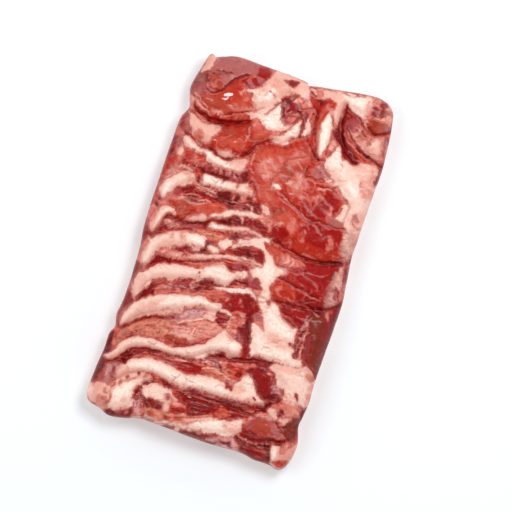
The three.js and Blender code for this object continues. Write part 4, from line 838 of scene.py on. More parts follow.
    ("plum", 1.5, [59, -144, 62, -143.5, 63.5, -147.5, 61, -147]),
    ("veil", 1.5, [-21, -147, -19, -147, -19.5, -157, -22, -157]),
    ("rose", 3, [-126, -149, -118, -150, -112, -154, -104, -154.5, -98, -152, -96, -158, -97, -166, -95,
         -172, -98, -178, -103, -184, -104, -196, -97, -202, -102, -208, -128, -208]),
    ("red", 3, [-126, -149, -118, -150, -113, -155, -117, -162, -126, -164]),
    # Painted highlight: pale lilac shine on the wet surface
    ("lilac", 2, [-104, -152.5, -98, -151.5, -96, -156, -101, -159, -106, -156]),
    ("plum", 4, [-112, -158, -106, -160, -100, -162, -100, -170, -106, -170, -110, -166]),
    # Painted highlight: pale lilac shine on the wet surface
    ("lilac", 1.5, [-110, -155, -107, -155, -106, -161, -109, -160]),
    ("blush", 3, [-99, -158, -95, -156, -92, -164, -96, -172, -100, -168]),
    ("wine", 3, [-126, -160, -119, -162, -118, -172, -116, -179, -112, -184, -118, -184, -126, -180]),
    ("dusk", 4, [-118, -166, -108, -170, -100, -174, -104, -182, -112, -182, -117, -176]),
    ("rosefat", 4, [-113, -185, -104, -182, -100, -188, -101, -196, -112, -198, -118, -190]),
    ("red", 5, [-112, -194, -102, -193, -98, -197, -102, -203, -110, -202]),
    ("cream", 4, [-128, -183, -119, -184, -115, -192, -113, -201, -118, -206, -128, -206]),
    ("rosefat", 3, [-114, -201, -104, -204, -98, -206, -104, -210, -114, -208]),
    ("cream", 2, [-97, -172, -92, -172.5, -86, -170, -80, -166, -74, -162, -68, -158, -60, -157, -57, -160,
         -63, -162.5, -67, -168, -71.5, -171, -74.5, -178, -74.5, -186, -70, -190, -71.5, -197, -78, -200,
         -86, -204, -94, -206.5, -99, -202, -97, -192, -101, -184, -98, -178]),
    ("ivory", 4, [-90, -173, -80, -168, -76, -176, -78, -186, -90, -194, -96, -186, -94, -178]),
    ("blush", 3, [-86, -188, -80, -186, -78, -192, -84, -194]),
    ("salmon", 2, [-96, -173, -92, -167, -86, -162, -80, -156.5, -72, -152.5, -63, -151.5, -66, -155, -73,
         -160, -80, -164, -86, -168, -90, -175, -94, -176]),
    ("bright", 1.5, [-78, -157, -74, -154.5, -72, -157, -76, -160]),
    ("wine", 2, [-99, -207.5, -94, -205.5, -90, -206, -86, -205, -80, -201, -74, -199.5, -71, -194, -69,
         -191, -66.5, -196, -67, -202, -70, -210, -80, -213, -92, -216, -100, -212]),
    ("deep", 1.5, [-98, -208, -94, -206, -90.5, -207, -92, -214, -98, -214]),
    ("cream", 1.5, [-66, -169, -62, -164.5, -56, -161.5, -50, -161, -44, -162, -38, -164, -31, -164, -30.5,
         -168, -34, -172, -38, -176.5, -44, -178.5, -52, -179, -58, -180, -63, -178, -66, -174]),
    ("red", 2, [-62, -152.5, -54, -152.5, -46, -154, -40, -156, -34, -157, -33, -163, -38, -163.5, -44,
         -160.5, -52, -158.5, -57, -159.5, -60, -156]),
    ("rosefat", 2, [-54, -158, -48, -156, -44, -158, -42, -161, -50, -161]),
    ("crimson", 1.5, [-41, -158, -36, -159, -35, -164, -39, -162]),
    ("plum", 1.5, [-67, -166, -63, -161.5, -58, -162, -60, -165.5, -64, -168]),
    ("plum", 2, [-74.5, -176, -70, -171, -66, -169.5, -66, -176, -63.5, -181, -66, -186, -71, -187, -74,
         -182]),
    ("rosefat", 1.5, [-69, -179, -66, -178, -64.5, -182, -67.5, -184]),
    ("rosefat", 2.5, [-70, -188, -66, -186, -61, -189, -58, -196, -57, -208, -67, -208, -67, -196]),
    ("dusk", 2, [-66, -189, -61, -190, -60, -195, -65, -195]),
    ("wine", 1.5, [-64, -178, -57, -180.5, -50, -179.5, -43, -178.5, -38, -181, -34, -184, -37, -188, -46,
         -190, -55, -190.5, -58, -187]),
    ("tan", 2, [-57, -191, -50, -191, -40, -189.5, -34, -186, -30, -188, -20, -187.5, -10, -185, 0, -183, 8,
         -180, 16, -177, 26, -177.5, 30, -179, 20, -183, 10, -187.5, 3, -192, -6, -196, -20, -198.5, -30,
         -200, -44, -202, -56, -201, -58, -196]),
    ("rose", 2.5, [-36, -166, -30, -162, -28, -168, -24, -172, -18, -174, -12, -177, -4, -176, -2, -180, -8,
         -183, -14, -180, -20, -180, -28, -181, -36, -181, -38, -176]),
    ("rosefat", 2, [-34, -171, -28, -169, -22, -174, -16, -176, -20, -178, -28, -178]),
    ("bright", 1.5, [-31, -185, -26, -184, -20, -180.5, -12, -180.5, -11, -184, -18, -187, -25, -188.5, -30,
         -188]),
    ("brown", 3, [-50, -196, -45, -195, -44, -200, -49, -201]),
    ("brown", 3, [-33, -193, -26, -193, -24, -198, -32, -198]),
    ("brown", 3, [-20, -190, -13, -190, -12, -194, -19, -195]),
    ("crimson", 2, [-30, -157, -24, -158.5, -20, -162.5, -12, -163, -4, -162.5, 5, -162, 20, -161.5, 30,
         -160, 28, -168, 23, -173, 14, -176, 8, -180, 0, -182.5, -4, -183.5, -8, -180, -2, -178, -8, -175,
         -14, -176.5, -18, -172, -24, -171, -30, -167]),
    ("deep", 5, [-18, -166, 0, -165, 20, -165, 18, -172, 4, -178, -4, -174]),
    ("red", 3, [-30, -158, -25, -159, -22, -166, -26, -170, -30, -166]),
    ("dusk", 1.5, [-17, -157, -8, -153.5, 0, -154.5, 10, -155.5, 25, -156, 36, -155, 44, -152.5, 54, -151.5,
         62, -151, 70, -152, 64, -157, 52, -160, 40, -160, 28, -160, 15, -160.5, 0, -161, -8, -162, -16,
         -161.5, -22, -160]),
    ("wine", 2, [-14, -156.5, 0, -156, 20, -157.5, 38, -156.5, 40, -159, 20, -160, -4, -160]),
    ("salmon", 3, [46, -153, 56, -151.5, 64, -151.5, 66, -155, 58, -158.5, 48, -158]),
    ("bright", 2, [26, -164, 32, -162, 40, -161.5, 48, -161, 56, -163, 62, -162, 68, -158, 74, -151, 78,
         -146, 84, -146, 82, -152, 76, -158, 66, -163, 60, -168, 50, -171, 42, -174, 34, -176, 28, -177.5,
         21, -178, 24, -171]),
    ("deep", 3, [40, -161, 50, -161, 58, -163.5, 66, -159.5, 60, -165, 50, -166]),
    ("salmon", 3, [26, -164, 36, -163, 42, -166, 38, -171, 28, -172]),
    ("wine", 3, [74, -146, 80, -144, 84, -147, 80, -154, 72, -158, 66, -159, 74, -153]),
    ("ivory", 1.5, [-8, -197, 2, -193, 11, -187.5, 20, -182.5, 30, -180, 40, -178, 46, -175, 53, -172, 58.5,
         -174, 58, -180, 57, -186, 54, -191.5, 46, -195.5, 36, -196.5, 26, -197.5, 14, -199.5, 4, -200.5,
         -8, -202, -25, -203, -42, -203, -30, -200.5, -16, -198]),
    ("blush", 4, [34, -182, 50, -176, 57, -180, 55, -190, 44, -192]),
    ("veil", 2, [-60, -202, -42, -202.5, -20, -202.5, 0, -201.5, 20, -199.5, 40, -197, 52, -194.5, 56, -212,
         -60, -212]),
    ("wine", 1.5, [-32, -206, -25, -202.5, -16, -202.5, -10, -204, -4, -202, 4, -202, 12, -202, 20, -200,
         28, -197.5, 34, -197, 32, -201, 24, -204.5, 14, -210, -6, -212, -30, -210]),
    ("plum", 2, [14, -202, 22, -199, 32, -197.5, 30, -201, 22, -205, 12, -208]),
    ("deep", 1.5, [16, -208, 28, -205, 36, -202, 44, -200, 49, -198, 52, -203, 53, -207, 48, -207.5, 44,
         -204, 38, -205, 34, -208, 30, -213, 16, -213]),
    ("lilac", 1.5, [36, -205, 44, -204.5, 48, -209, 44, -213, 34, -213, 34, -209]),
    ("red", 2, [57, -178, 60, -172, 66, -166, 72, -162, 80, -158.5, 88, -160, 94, -164, 98, -170, 101, -175,
         110, -179.5, 104, -184, 94, -187, 84, -190, 74, -192, 62, -193, 56, -191, 59, -184]),
    ("rose", 4, [62, -166, 72, -160, 82, -157.5, 92, -162, 96, -167, 88, -169, 78, -167, 68, -170]),
    ("salmon", 5, [66, -170, 80, -168, 90, -172, 90, -180, 76, -181, 66, -178]),
    ("crimson", 4, [58, -185, 72, -183, 90, -184, 86, -189, 72, -192, 58, -192]),
    ("rosefat", 3, [88, -167, 96, -166.5, 100, -174, 107, -178.5, 98, -181.5, 88, -182, 90, -174]),
    ("dusk", 3, [92, -172, 98, -174, 103, -178, 95, -180, 91, -178]),
    ("wine", 2, [97, -184, 108, -179.5, 113, -179, 114, -183, 108, -187, 98, -190, 90, -190]),
    ("rosefat", 2.5, [79, -149, 84, -146, 92, -142.5, 100, -141, 110, -139, 116, -142, 119, -146, 118, -151,
         112, -155, 108, -160, 103, -165, 96, -165.5, 88, -160, 80, -157]),
    ("rose", 3, [84, -145, 92, -142, 104, -141, 106, -146, 96, -148, 86, -149]),
    ("cream", 2, [81, -152, 88, -153, 92, -158, 88, -160.5, 82, -157.5]),
    ("blush", 3, [100, -156, 108, -154, 108, -160, 102, -163, 96, -161]),
    ("brown", 2, [86, -149, 90, -149.5, 91, -153, 87, -153]),
    ("plum", 1.5, [92, -156, 95, -152, 98, -154, 95, -158.5]),
    ("brown", 1.5, [92, -150, 95, -147, 97, -149, 95, -152]),
    ("plum", 3, [108, -158, 113, -154, 118, -151, 124, -148, 122, -160, 120, -170, 120, -178, 114, -179,
         110, -168]),
    ("mauve", 2.5, [100, -168, 106, -165, 112, -167, 116, -166, 119, -172, 117, -178, 112, -178.5, 106,
         -175]),
    ("wine", 2, [100, -168.5, 105, -165.5, 108, -167.5, 103, -169.5]),
    ("wine", 2, [112, -139, 118, -138, 126, -136, 125, -145, 123, -160, 119, -160, 118, -151, 117, -146]),
    ("deep", 1.5, [119, -143, 126, -140, 124, -162, 120, -160]),
    ("deep", 2, [53, -192, 58, -193.5, 70, -192.5, 80, -193, 90, -192, 96, -190.5, 99, -196, 100, -203, 103,
         -210, 102, -216, 84, -216, 66, -212, 60, -205, 58, -201, 53, -198]),
    ("black", 2.5, [84, -196, 94, -194, 99, -203, 102, -212, 90, -213, 84, -206]),
    ("crimson", 3, [68, -202, 80, -200, 84, -206, 78, -211, 68, -208]),
    ("rosefat", 1.5, [57, -193.5, 66, -191.5, 76, -191.5, 82, -194, 74, -196, 62, -197]),
    ("rosefat", 1.5, [53, -199, 60, -201, 66, -200, 62, -203.5, 58, -207, 52, -212, 50, -208, 53, -204]),
    ("blush", 2, [95, -191.5, 102, -188.5, 108, -189, 112, -186, 113, -181, 117, -178, 121, -179, 128, -181,
         127, -196, 124, -206, 119, -216, 104, -218, 102, -212, 99, -203, 97, -197]),
    ("ivory", 2.5, [96, -192, 102, -191, 104, -200, 106, -210, 102, -210, 99, -202]),
    ("rosefat", 4, [110, -190, 120, -184, 124, -190, 122, -202, 112, -204, 108, -198]),
    ("red", 3, [111, -184, 117, -178, 122, -181, 118, -188, 112, -190]),
    ("brown", 2.5, [106, -207, 112, -204, 118, -202, 119, -207, 112, -210]),
]

# Smaller patches, laid over all the others
FINER_PATCHES = [
    ("bright", 2, [-45, 220, -31, 221, -33, 210, -36, 201, -46, 195, -60, 199, -50, 203, -44, 209]),
    ("blush", 1.5, [-40, 196, -34, 204, -27, 204, -26, 196, -32, 190, -38, 191]),
    ("cream", 1.5, [-28, 176, -20, 192, -14, 192, -20, 178, -26, 172]),
    ("brown", 2.5, [92, 199, 96, 190, 104, 187, 114, 190, 118, 198, 110, 202, 100, 202]),
    ("crimson", 0.8, [99, 219, 101, 224, 106, 223, 108, 219, 104, 217]),
    ("plum", 1, [93, 209, 94, 217, 98, 217, 99, 209, 96, 206]),
    ("crimson", 0.8, [101, 210, 103, 216, 110, 216, 111, 211, 106, 207]),
    ("mauve", 4, [-106, 200, -100, 214, -88, 219, -66, 222, -58, 212, -66, 204, -80, 206, -94, 198]),
    ("deep", 0.8, [-28, 91, -26, 99, -21, 100, -20, 94, -23, 90]),
    ("crimson", 1, [-78, 75, -77, 79, -73, 79, -72, 75, -75, 73]),
    ("wine", 1.5, [-50, 62, -46, 73, -36, 75, -32, 72, -32, 62, -40, 60]),
    ("wine", 1.2, [-28, 67, -27, 74, -23, 75, -22, 67]),
    ("crimson", 1, [-16, 72, -13, 76, -6, 71, 2, 66, 6, 62, 3, 60, -6, 65, -13, 69]),
    ("rosefat", 1, [-90, 55.5, -84, 57.5, -77, 59, -70, 59.5, -71, 58, -78, 57, -85, 55]),
    ("umber", 1, [-86, 54, -80, 56.5, -73, 58, -69.5, 57, -71, 54.5, -78, 53]),
    ("rosefat", 1, [-70, 54.5, -66, 56.5, -60, 57.5, -53, 57, -57, 55.5, -64, 54]),
    ("veil", 2, [35, 112, 34, 106, 36, 100, 39, 100, 38, 106, 38, 112]),
    ("veil", 1.5, [24, 101, 25, 106, 29, 106, 30, 102]),
    ("rose", 3, [41, 64, 40, 56, 43, 50, 47, 52, 46, 60, 44, 65]),
    ("rose", 2, [57, 55, 60, 57, 63, 55, 61, 52]),
    ("rose", 2.5, [88, 57, 92, 58, 94, 52, 91, 47, 88, 50]),
    ("crimson", 2, [-10, 42, -4, 50, 4, 52, 12, 50, 19, 46, 18, 41, 10, 40, 0, 41]),
    ("veil", 3, [106, 68, 112, 70, 120, 68, 122, 55, 121, 44, 114, 42, 108, 48, 106, 58]),
    ("brown", 3, [-90, 48, -84, 50, -76, 48, -73, 38, -75, 30, -82, 30, -88, 35]),
    ("cream", 1.2, [-99, 36, -92, 38, -89, 37, -89, 31, -94, 31, -99, 32]),
    ("veil", 2, [-99, 20, -97, 25, -91, 25, -85, 21, -82, 18, -87, 15, -94, 17]),
    ("blush", 1.2, [-98, 22, -94, 24, -90, 22, -92, 20]),
    ("mauve", 1, [-90, 20, -87, 20, -86, 18, -89, 17.5]),
    ("blush", 2.5, [-74, 31, -66, 36, -57, 40, -52, 38, -55, 33, -64, 31, -70, 30]),
    ("crimson", 1, [-55, 31, -52, 36, -47, 40, -40, 42, -36, 41, -30, 36, -38, 37, -44, 35, -48, 32, -51,
         30]),
    ("mauve", 1.5, [-22, 20, -20, 28, -14, 28, -9, 24, -12, 20, -17, 19]),
    ("tan", 2.5, [-70, 17, -60, 22, -46, 24, -32, 24, -28, 20, -40, 16, -52, 17, -62, 16]),
    ("cream", 0.8, [-66, 6, -56, 8, -48, 6, -47, 1, -50, -2, -56, -2, -60, 0, -66, 3]),
    ("rosefat", 1.5, [-76, 7, -74, 14, -70, 14, -69, 7, -73, 5]),
    ("cream", 0.8, [-42, 8, -38, 9.5, -31, 9, -29, 5, -34, 2, -40, 3, -42, 5]),
    ("cream", 1, [-30, 12, -27, 16, -21, 21, -17, 20, -17, 13, -20, 10, -27, 9.5]),
    ("crimson", 0.8, [-46, 11, -40, 13, -31, 12, -31, 9.5, -37, 10, -42, 8, -42, 3, -33, 0, -40, -2, -47,
         -5, -51, -4, -47, 1, -46, 6]),
    ("black", 1.2, [-47, -3, -44, -1, -38, 0, -42, -2]),
    ("rose", 2, [-96, -17, -91, -12, -80, -9, -68, -11, -60, -15, -70, -18, -84, -20]),
    ("blush", 1.2, [-84, -14, -76, -12, -66, -12, -62, -14, -70, -16, -80, -16]),
    ("orange", 1.5, [-60, -19, -52, -15.5, -44, -15, -38, -18, -42, -20, -50, -20.5]),
    ("cream", 1, [-45, -27, -42, -27.5, -39, -31, -41, -35, -44, -33]),
    ("ivory", 1, [-40, -27, -30, -25, -22, -27, -22, -30, -30, -28.5, -38, -31]),
    ("deep", 0.8, [-42, -35, -36, -31, -30, -29.5, -22, -31, -12, -33, -22, -34.5, -32, -37, -40, -36]),
    ("plum", 0.8, [-67, -45, -62, -41, -54, -38, -48, -35, -49, -40, -54, -44, -60, -46]),
    ("rosefat", 1.2, [-48, -46, -47, -38, -44, -38, -42, -44, -44, -48]),
    ("mauve", 1.2, [-42, -45, -41, -40, -34, -40, -32, -44, -37, -46]),
    ("rosefat", 2.5, [-117, 48, -110, 50, -108, 40, -109, 28, -112, 15, -116, 10, -118, 25]),
    ("wine", 0.8, [-114, 47, -111, 47, -110, 43, -113, 42]),
    ("wine", 0.8, [-114, 38, -111, 39, -110, 35, -113, 34]),
    ("plum", 1, [-118, 1, -114, 2, -112, -5, -116, -10, -118, -8]),
    ("rosefat", 2, [-117, -12, -112, -8, -109, -14, -110, -28, -114, -32, -117, -25]),
    ("wine", 1, [-116, -34, -110, -34, -107, -39, -111, -40, -115, -38]),
    ("deep", 1.5, [86, 27, 94, 29, 102, 33, 110, 36, 111, 33, 104, 29, 96, 26, 88, 24.5]),
    ("bright", 5, [68, 22, 84, 24, 100, 24, 106, 14, 103, 0, 98, -8, 84, -6, 70, -2, 60, 4, 62, 12]),
    ("rose", 3, [40, 12, 44, 24, 54, 27, 66, 24, 70, 16, 58, 11, 48, 9]),
    ("veil", 3, [108, 14, 110, 24, 113, 28, 117, 20, 121, 8, 122, -6, 118, -12, 112, -14, 108, -4]),
    ("mauve", 2.5, [104, -16, 103, -2, 106, 8, 109, 12, 110, 0, 109, -14]),
    ("plum", 1, [111, 2, 114, 4, 117, 0, 118, -8, 115, -10, 113, -4]),
    ("crimson", 1, [-8, 9, 0, 14, 4, 18, 8, 21, 14, 19, 20, 19, 23, 15, 24, 7, 18, 6, 10, 8, 0, 7]),
    ("deep", 1, [-4, 9, 4, 13, 12, 13, 14, 9, 6, 8]),
    ("plum", 1, [13, 17, 15, 18, 17, 12, 16, 8, 13, 10]),
    ("crimson", 2.5, [16, -36, 22, -34, 30, -38, 34, -46, 30, -52, 20, -50, 14, -44]),
    ("plum", 3, [98, -32, 104, -30, 114, -34, 118, -44, 112, -54, 104, -52, 99, -42]),
    ("rose", 2, [-88, -58, -80, -53, -68, -50, -56, -48.5, -44, -50, -36, -47, -30, -49, -42, -54, -58,
         -56.5, -74, -60, -84, -63]),
    ("rosefat", 1.5, [-72, -56, -60, -52, -48, -52, -42, -53, -56, -55.5]),
    ("black", 0.8, [-88, -60, -86, -59, -84.5, -61, -87, -62.5]),
    ("blush", 2, [-82, -84, -72, -79, -60, -75, -50, -72, -48, -75, -58, -79, -68, -84, -78, -88]),
    ("lilac", 1.5, [-48, -73, -40, -68, -30, -63, -24, -64, -22, -70, -28, -74, -38, -79, -48, -83, -58,
         -86, -66, -86, -62, -82, -54, -78]),
    ("mauve", 1.2, [-47, -71, -41, -67, -34, -63, -30, -62, -33, -66, -40, -70, -46, -74]),
    ("mauve", 1.2, [-60, -80, -52, -77, -46, -80, -52, -83, -60, -84]),
    ("brown", 1.2, [-112, -112, -104, -104, -96, -97, -88, -91, -78, -87, -66, -85, -70, -88, -82, -92, -90,
         -97, -98, -103, -106, -110, -110, -114]),
    ("rosefat", 2, [-60, -100, -50, -96, -36, -95, -24, -96, -14, -92, -8, -86, -14, -84, -28, -88, -44,
         -90, -58, -94]),
    ("brown", 0.8, [-60, -110, -60, -105, -52, -103, -48, -104, -48, -110, -54, -112]),
    ("brown", 0.8, [-46, -112, -46, -104, -41, -103, -38, -106, -38, -111, -42, -114]),
    ("brown", 0.8, [-37, -109, -37, -103, -32, -102, -29, -105, -31, -109, -34, -110.5]),
    ("deep", 1.2, [-121, -121, -116, -119, -115, -126, -113, -134, -115, -143, -120, -143, -122, -133]),
    ("crimson", 1, [-100, -140, -92, -133, -84, -129, -72, -126, -60, -125.5, -62, -128.5, -74, -129.5, -84,
         -133, -92, -139, -98, -146]),
    ("rosefat", 0.8, [-76, -130.5, -62, -128.5, -46, -128, -28, -126.5, -30, -129, -46, -130.5, -62, -130.5,
         -74, -132]),
    ("bright", 1, [-34, -136, -28, -128, -18, -126.5, -8, -128, -8, -134, -16, -138, -26, -139]),
    ("dusk", 1.5, [-60, -132, -48, -131, -38, -133, -40, -137, -52, -136]),
    ("orange", 1.5, [10, -61, 14, -59, 20, -61, 19, -66, 12, -67]),
    ("crimson", 0.8, [-9, -62, -4, -61, 5, -62, 6, -66, 4, -72, -2, -75, -8, -73, -10, -68]),
    ("deep", 1, [-7, -62, 4, -63, 3, -65, -6, -64]),
    ("cream", 0.8, [-6, -58, 0, -57, 6, -59, 8, -61, 0, -61.5, -5, -61]),
    ("plum", 1, [20, -109.5, 30, -107.5, 45, -104, 60, -101.5, 68, -101.5, 66, -107, 58, -109, 48, -107, 36,
         -110, 24, -112]),
    ("crimson", 2, [45, -118, 52, -113, 62, -111, 70, -114, 73, -124, 74, -136, 66, -138, 58, -130, 52,
         -122]),
    ("lilac", 1, [79, -123, 84, -122, 89, -127, 88, -131, 81, -130, 78, -127]),
    ("wine", 0.8, [80, -134, 86, -133, 90, -135, 89, -140, 82, -141, 79, -138]),
    ("crimson", 2, [97, -50, 102, -50, 105, -60, 104, -75, 105, -88, 101, -90, 98, -76, 96, -62]),
    ("crimson", 1, [85, -52, 89, -52, 89, -60, 88, -68, 85, -66]),
    ("deep", 1, [90, -56, 94, -54, 95, -64, 94, -72, 95, -82, 91, -84, 89, -76, 90, -66]),
    ("tan", 1.5, [111, -99, 118, -99, 121, -104, 116, -108, 111, -105]),
    ("rosefat", 3, [-121, -162, -112, -157, -104, -155, -98, -160, -96, -172, -98, -184, -100, -196, -108,
         -201, -116, -199, -121, -188, -122, -174]),
    ("mauve", 1.5, [-111, -160, -107, -158, -104, -166, -107, -174, -112, -176, -113, -168]),
    ("rose", 2, [-116, -182, -108, -178, -104, -184, -108, -188, -114, -187]),
    ("rose", 2, [-110, -192, -104, -190, -101, -196, -104, -201, -110, -199]),
    ("blush", 1.5, [-102, -158, -97, -160, -96, -168, -100, -166]),
    ("deep", 1.5, [-122, -155, -118, -151, -117, -160, -119, -172, -122, -176]),
    ("cream", 0.8, [-92, -172, -90, -166, -87, -166, -89, -171]),
    ("cream", 0.8, [-83, -165, -83, -160, -79, -160, -80, -164]),
    ("cream", 1, [-75, -158, -75, -153, -68, -153, -67, -157]),
    ("cream", 1.5, [-42, -164, -34, -163, -31, -168, -32, -178, -40, -180, -44, -174]),
    ("dusk", 1, [-37, -170, -33, -168, -31, -173, -34, -177, -37, -175]),
    ("crimson", 1, [-46, -158, -42, -157, -36, -160, -35, -165, -39, -162, -44, -161]),
    ("lilac", 1.5, [-69, -186, -63, -183, -61, -190, -60, -200, -66, -202, -69, -196]),
    ("crimson", 1, [-73, -178, -70, -176, -66, -180, -67, -186, -72, -185]),
    ("blush", 1.2, [-36, -180, -31, -180, -30, -188, -36, -188]),
    ("rosefat", 1.2, [-88, -205, -84, -203, -82, -206, -86, -208]),
    ("rose", 1.2, [-78, -203, -74, -200, -72, -204, -76, -206]),
    ("black", 1, [-98, -207, -94, -205, -89, -207, -91, -211, -96, -210]),
    ("veil", 1.2, [-60, -200, -45, -201, -32, -201, -31, -206, -45, -206, -58, -205]),
    ("blush", 1, [-17, -201, -11, -201, -11, -207, -17, -206]),
    ("plum", 1, [-12, -157, 0, -155, 20, -155, 40, -153, 44, -158, 30, -160, 10, -160.5, -8, -160]),
    ("crimson", 1.2, [-10, -164, 4, -165, 14, -164, 26, -163, 25, -168, 20, -172, 16, -178, 8, -181, 0,
         -184, -9, -184]),
    ("deep", 1, [-6, -170, 2, -168, 6, -173, 2, -180, -5, -180]),
    ("crimson", 1.5, [30, -162, 38, -161, 50, -163, 60, -164, 57, -168, 50, -171, 42, -172, 36, -170, 42,
         -167, 32, -165]),
    ("orange", 1.5, [24, -175, 32, -171, 40, -171, 38, -174, 30, -177]),
    ("dusk", 5, [64, -168, 74, -162, 86, -164, 92, -172, 88, -180, 76, -184, 64, -182, 60, -175]),
    ("wine", 2, [60, -186, 72, -188, 86, -186, 96, -182, 104, -181, 100, -186, 90, -190, 74, -193, 62,
         -191]),
    ("rosefat", 2, [60, -166, 66, -161, 76, -158, 86, -158, 84, -162, 74, -163, 66, -168, 62, -172]),
    ("blush", 2, [80, -152, 88, -150, 92, -156, 92, -162, 84, -160]),
    ("plum", 1, [92, -156, 93, -151, 96, -149, 98, -152, 96, -157]),
    ("mauve", 2.5, [90, -166, 98, -165, 106, -170, 104, -177, 96, -178, 90, -174]),
    ("dusk", 2, [104, -164, 112, -160, 118, -166, 116, -175, 108, -173, 104, -169]),
    ("rosefat", 3, [106, -186, 114, -180, 122, -184, 123, -196, 116, -203, 108, -202, 104, -195]),
    ("rose", 2.5, [104, -212, 112, -214, 118, -208, 112, -205, 105, -206]),
    ("brown", 1.5, [107, -206, 113, -203, 119, -203, 118, -208, 112, -208]),
    ("deep", 2, [64, -200, 74, -197, 88, -196, 96, -200, 100, -210, 88, -211, 72, -210, 62, -206]),
    ("black", 1.2, [93, -197, 97, -199, 101, -209, 96, -210, 92, -204]),
    ("blush", 2, [-10, -192, 4, -186, 16, -182, 28, -178, 24, -182, 10, -187, -4, -193]),
    ("crimson", 0.8, [36, -203, 42, -200, 50, -197.5, 52, -203, 46, -205.5, 38, -204.5]),
    ("rosefat", 1.2, [22, -203, 34, -200, 34, -205, 24, -207]),
    ("crimson", 1, [8, 47, 13, 47, 19, 42, 17, 37, 12, 38, 8, 42]),
    ("mauve", 1.2, [0, 45, 5, 46, 8, 43, 6, 40, 1, 41]),
    ("mauve", 1.5, [-12, 30, -6, 35, 2, 37, 8, 34, 4, 29, -4, 27]),
    ("wine", 1, [-20, 27, -14, 29, -8, 27, -12, 24, -18, 24]),
    ("deep", 0.8, [-51, -3, -47, 3, -45, 9, -42, 12, -36, 12, -31, 11.5, -31, 9.5, -37, 9, -41, 6, -40, 2,
         -34, 0, -40, -2, -47, -4.5]),
    ("plum", 0.8, [-28, 5, -26, 7, -23, 6, -25, 4]),
    ("dusk", 1.5, [-8, -3, 0, -1, 3, -6, 0, -9, -6, -8]),
    ("plum", 1, [11, 0, 17, -1, 18, -3, 13, -4]),
    ("bright", 1.5, [-98, -28, -92, -22, -84, -21, -76, -23, -84, -27, -92, -31]),
    ("rosefat", 2, [-92, -15, -84, -10, -74, -9, -62, -11, -52, -13, -60, -16, -76, -18, -88, -19]),
    ("lilac", 1.5, [-74, -49, -64, -46, -52, -45, -44, -43, -40, -46, -50, -49, -62, -51, -74, -53]),
    ("rosefat", 2, [-86, -56, -76, -53, -62, -51, -48, -49.5, -36, -48, -44, -53, -56, -55.5, -70, -58, -82,
         -61]),
    ("dusk", 1.2, [-68, -44, -62, -40.5, -54, -38.5, -48, -36, -48.5, -40, -54, -43, -61, -46, -67, -47]),
    ("crimson", 1, [-117, -35, -112, -34, -107, -40, -110, -44, -114, -51, -117, -46]),
    ("crimson", 1.2, [-115, -76, -109, -78, -104, -80, -108, -88, -114, -86]),
    ("red", 3, [46, -6, 58, -10, 70, -12, 72, -20, 66, -27, 52, -28, 46, -24, 43, -16]),
    ("rose", 2, [47, -14, 52, -13, 54, -18, 50, -21, 46, -19]),
    ("plum", 4, [96, -30, 106, -26, 116, -24, 122, -30, 122, -48, 118, -60, 104, -60, 98, -48, 92, -38]),
    ("wine", 1.5, [98, -25, 104, -24, 108, -27, 104, -31, 98, -29]),
    ("mauve", 2.5, [46, 122, 50, 132, 58, 135, 66, 130, 70, 122, 62, 119, 52, 119]),
    ("crimson", 1, [-4, 62, -2, 70, 3, 69, 7, 64, 6, 60, 0, 59]),
    ("brown", 1.5, [16, 63, 18, 67, 24, 72, 30, 75, 31, 72, 26, 66, 20, 62]),
    ("brown", 1.5, [86, 80, 88, 88, 93, 96, 94, 92, 90, 84, 88, 79]),
    ("mauve", 2, [80, 72, 82, 80, 88, 79, 96, 78, 100, 73, 92, 71]),
    ("bright", 3, [46, 82, 50, 88, 58, 90, 66, 86, 64, 78, 56, 77]),
    ("bright", 3, [66, 80, 70, 92, 72, 104, 78, 106, 84, 102, 80, 92, 78, 82, 76, 75, 68, 74]),
    ("blush", 1.5, [-9, 146, -5, 151, 3, 153, 12, 149, 8, 145, 0, 143]),
    # right flank
    ("umber", 2.5, [96, -33, 104, -31, 112, -36, 114, -48, 110, -56, 102, -57, 97, -50, 95, -42]),
    ("umber", 3, [106, -56, 114, -54, 120, -60, 121, -80, 119, -90, 110, -90, 107, -80, 105, -68]),
    ("crimson", 1.5, [98, -66, 102, -64, 104, -74, 106, -84, 104, -88, 100, -86, 98, -76]),
    ("deep", 1, [121, -30, 123, -32, 124, -60, 123, -92, 119.5, -92, 120.5, -60, 119.5, -40]),
    ("tan", 1, [111, -25, 115, -26, 117, -33, 115, -35, 112, -31]),
    ("lilac", 1, [90, -55, 89, -48, 92, -43, 95, -45, 94, -51, 92, -56]),
    ("rosefat", 0.8, [95, -54, 98, -54, 97, -60, 95, -66, 90, -67, 89, -64, 93, -62]),
    ("rosefat", 0.8, [93, -70, 96, -70, 97.5, -78, 97.5, -87, 95, -88, 94.5, -79]),
    ("deep", 0.8, [91, -56, 94, -53, 96, -55, 94, -61, 91, -62]),
    ("deep", 0.8, [89, -68, 92, -67, 94, -69, 93, -78, 94, -84, 91, -85, 89, -79]),
    # near left corner
    ("wine", 1.5, [-123, -152, -118, -150, -114, -156, -115, -166, -118, -178, -123, -176]),
    ("mauve", 2, [-114, -156, -106, -153, -100, -158, -99, -168, -103, -178, -112, -180, -117, -174]),
    ("plum", 1, [-106, -158, -102, -157, -101, -166, -102, -172, -106, -168]),
    # Painted highlight: pale lilac shine on the wet surface
    ("lilac", 1.2, [-104, -152, -97, -151, -95, -158, -96, -168, -99, -166, -100, -157]),
    # Painted highlight: pale lilac shine on the wet surface
    ("lilac", 0.8, [-112, -158, -110, -156, -108, -166, -111, -170]),
    ("blush", 2.5, [-121, -182, -112, -180, -104, -180, -100, -186, -101, -198, -110, -203, -118, -198]),
    ("rose", 1.5, [-108, -184, -104, -183, -103, -190, -106, -190]),
    ("rose", 1.5, [-112, -193, -104, -193, -101, -198, -104, -203, -110, -202]),
    ("blush", 1, [-98, -170, -92, -162, -84, -156, -76, -152, -66, -153, -70, -160, -80, -165, -88, -171, -94,
         -176]),
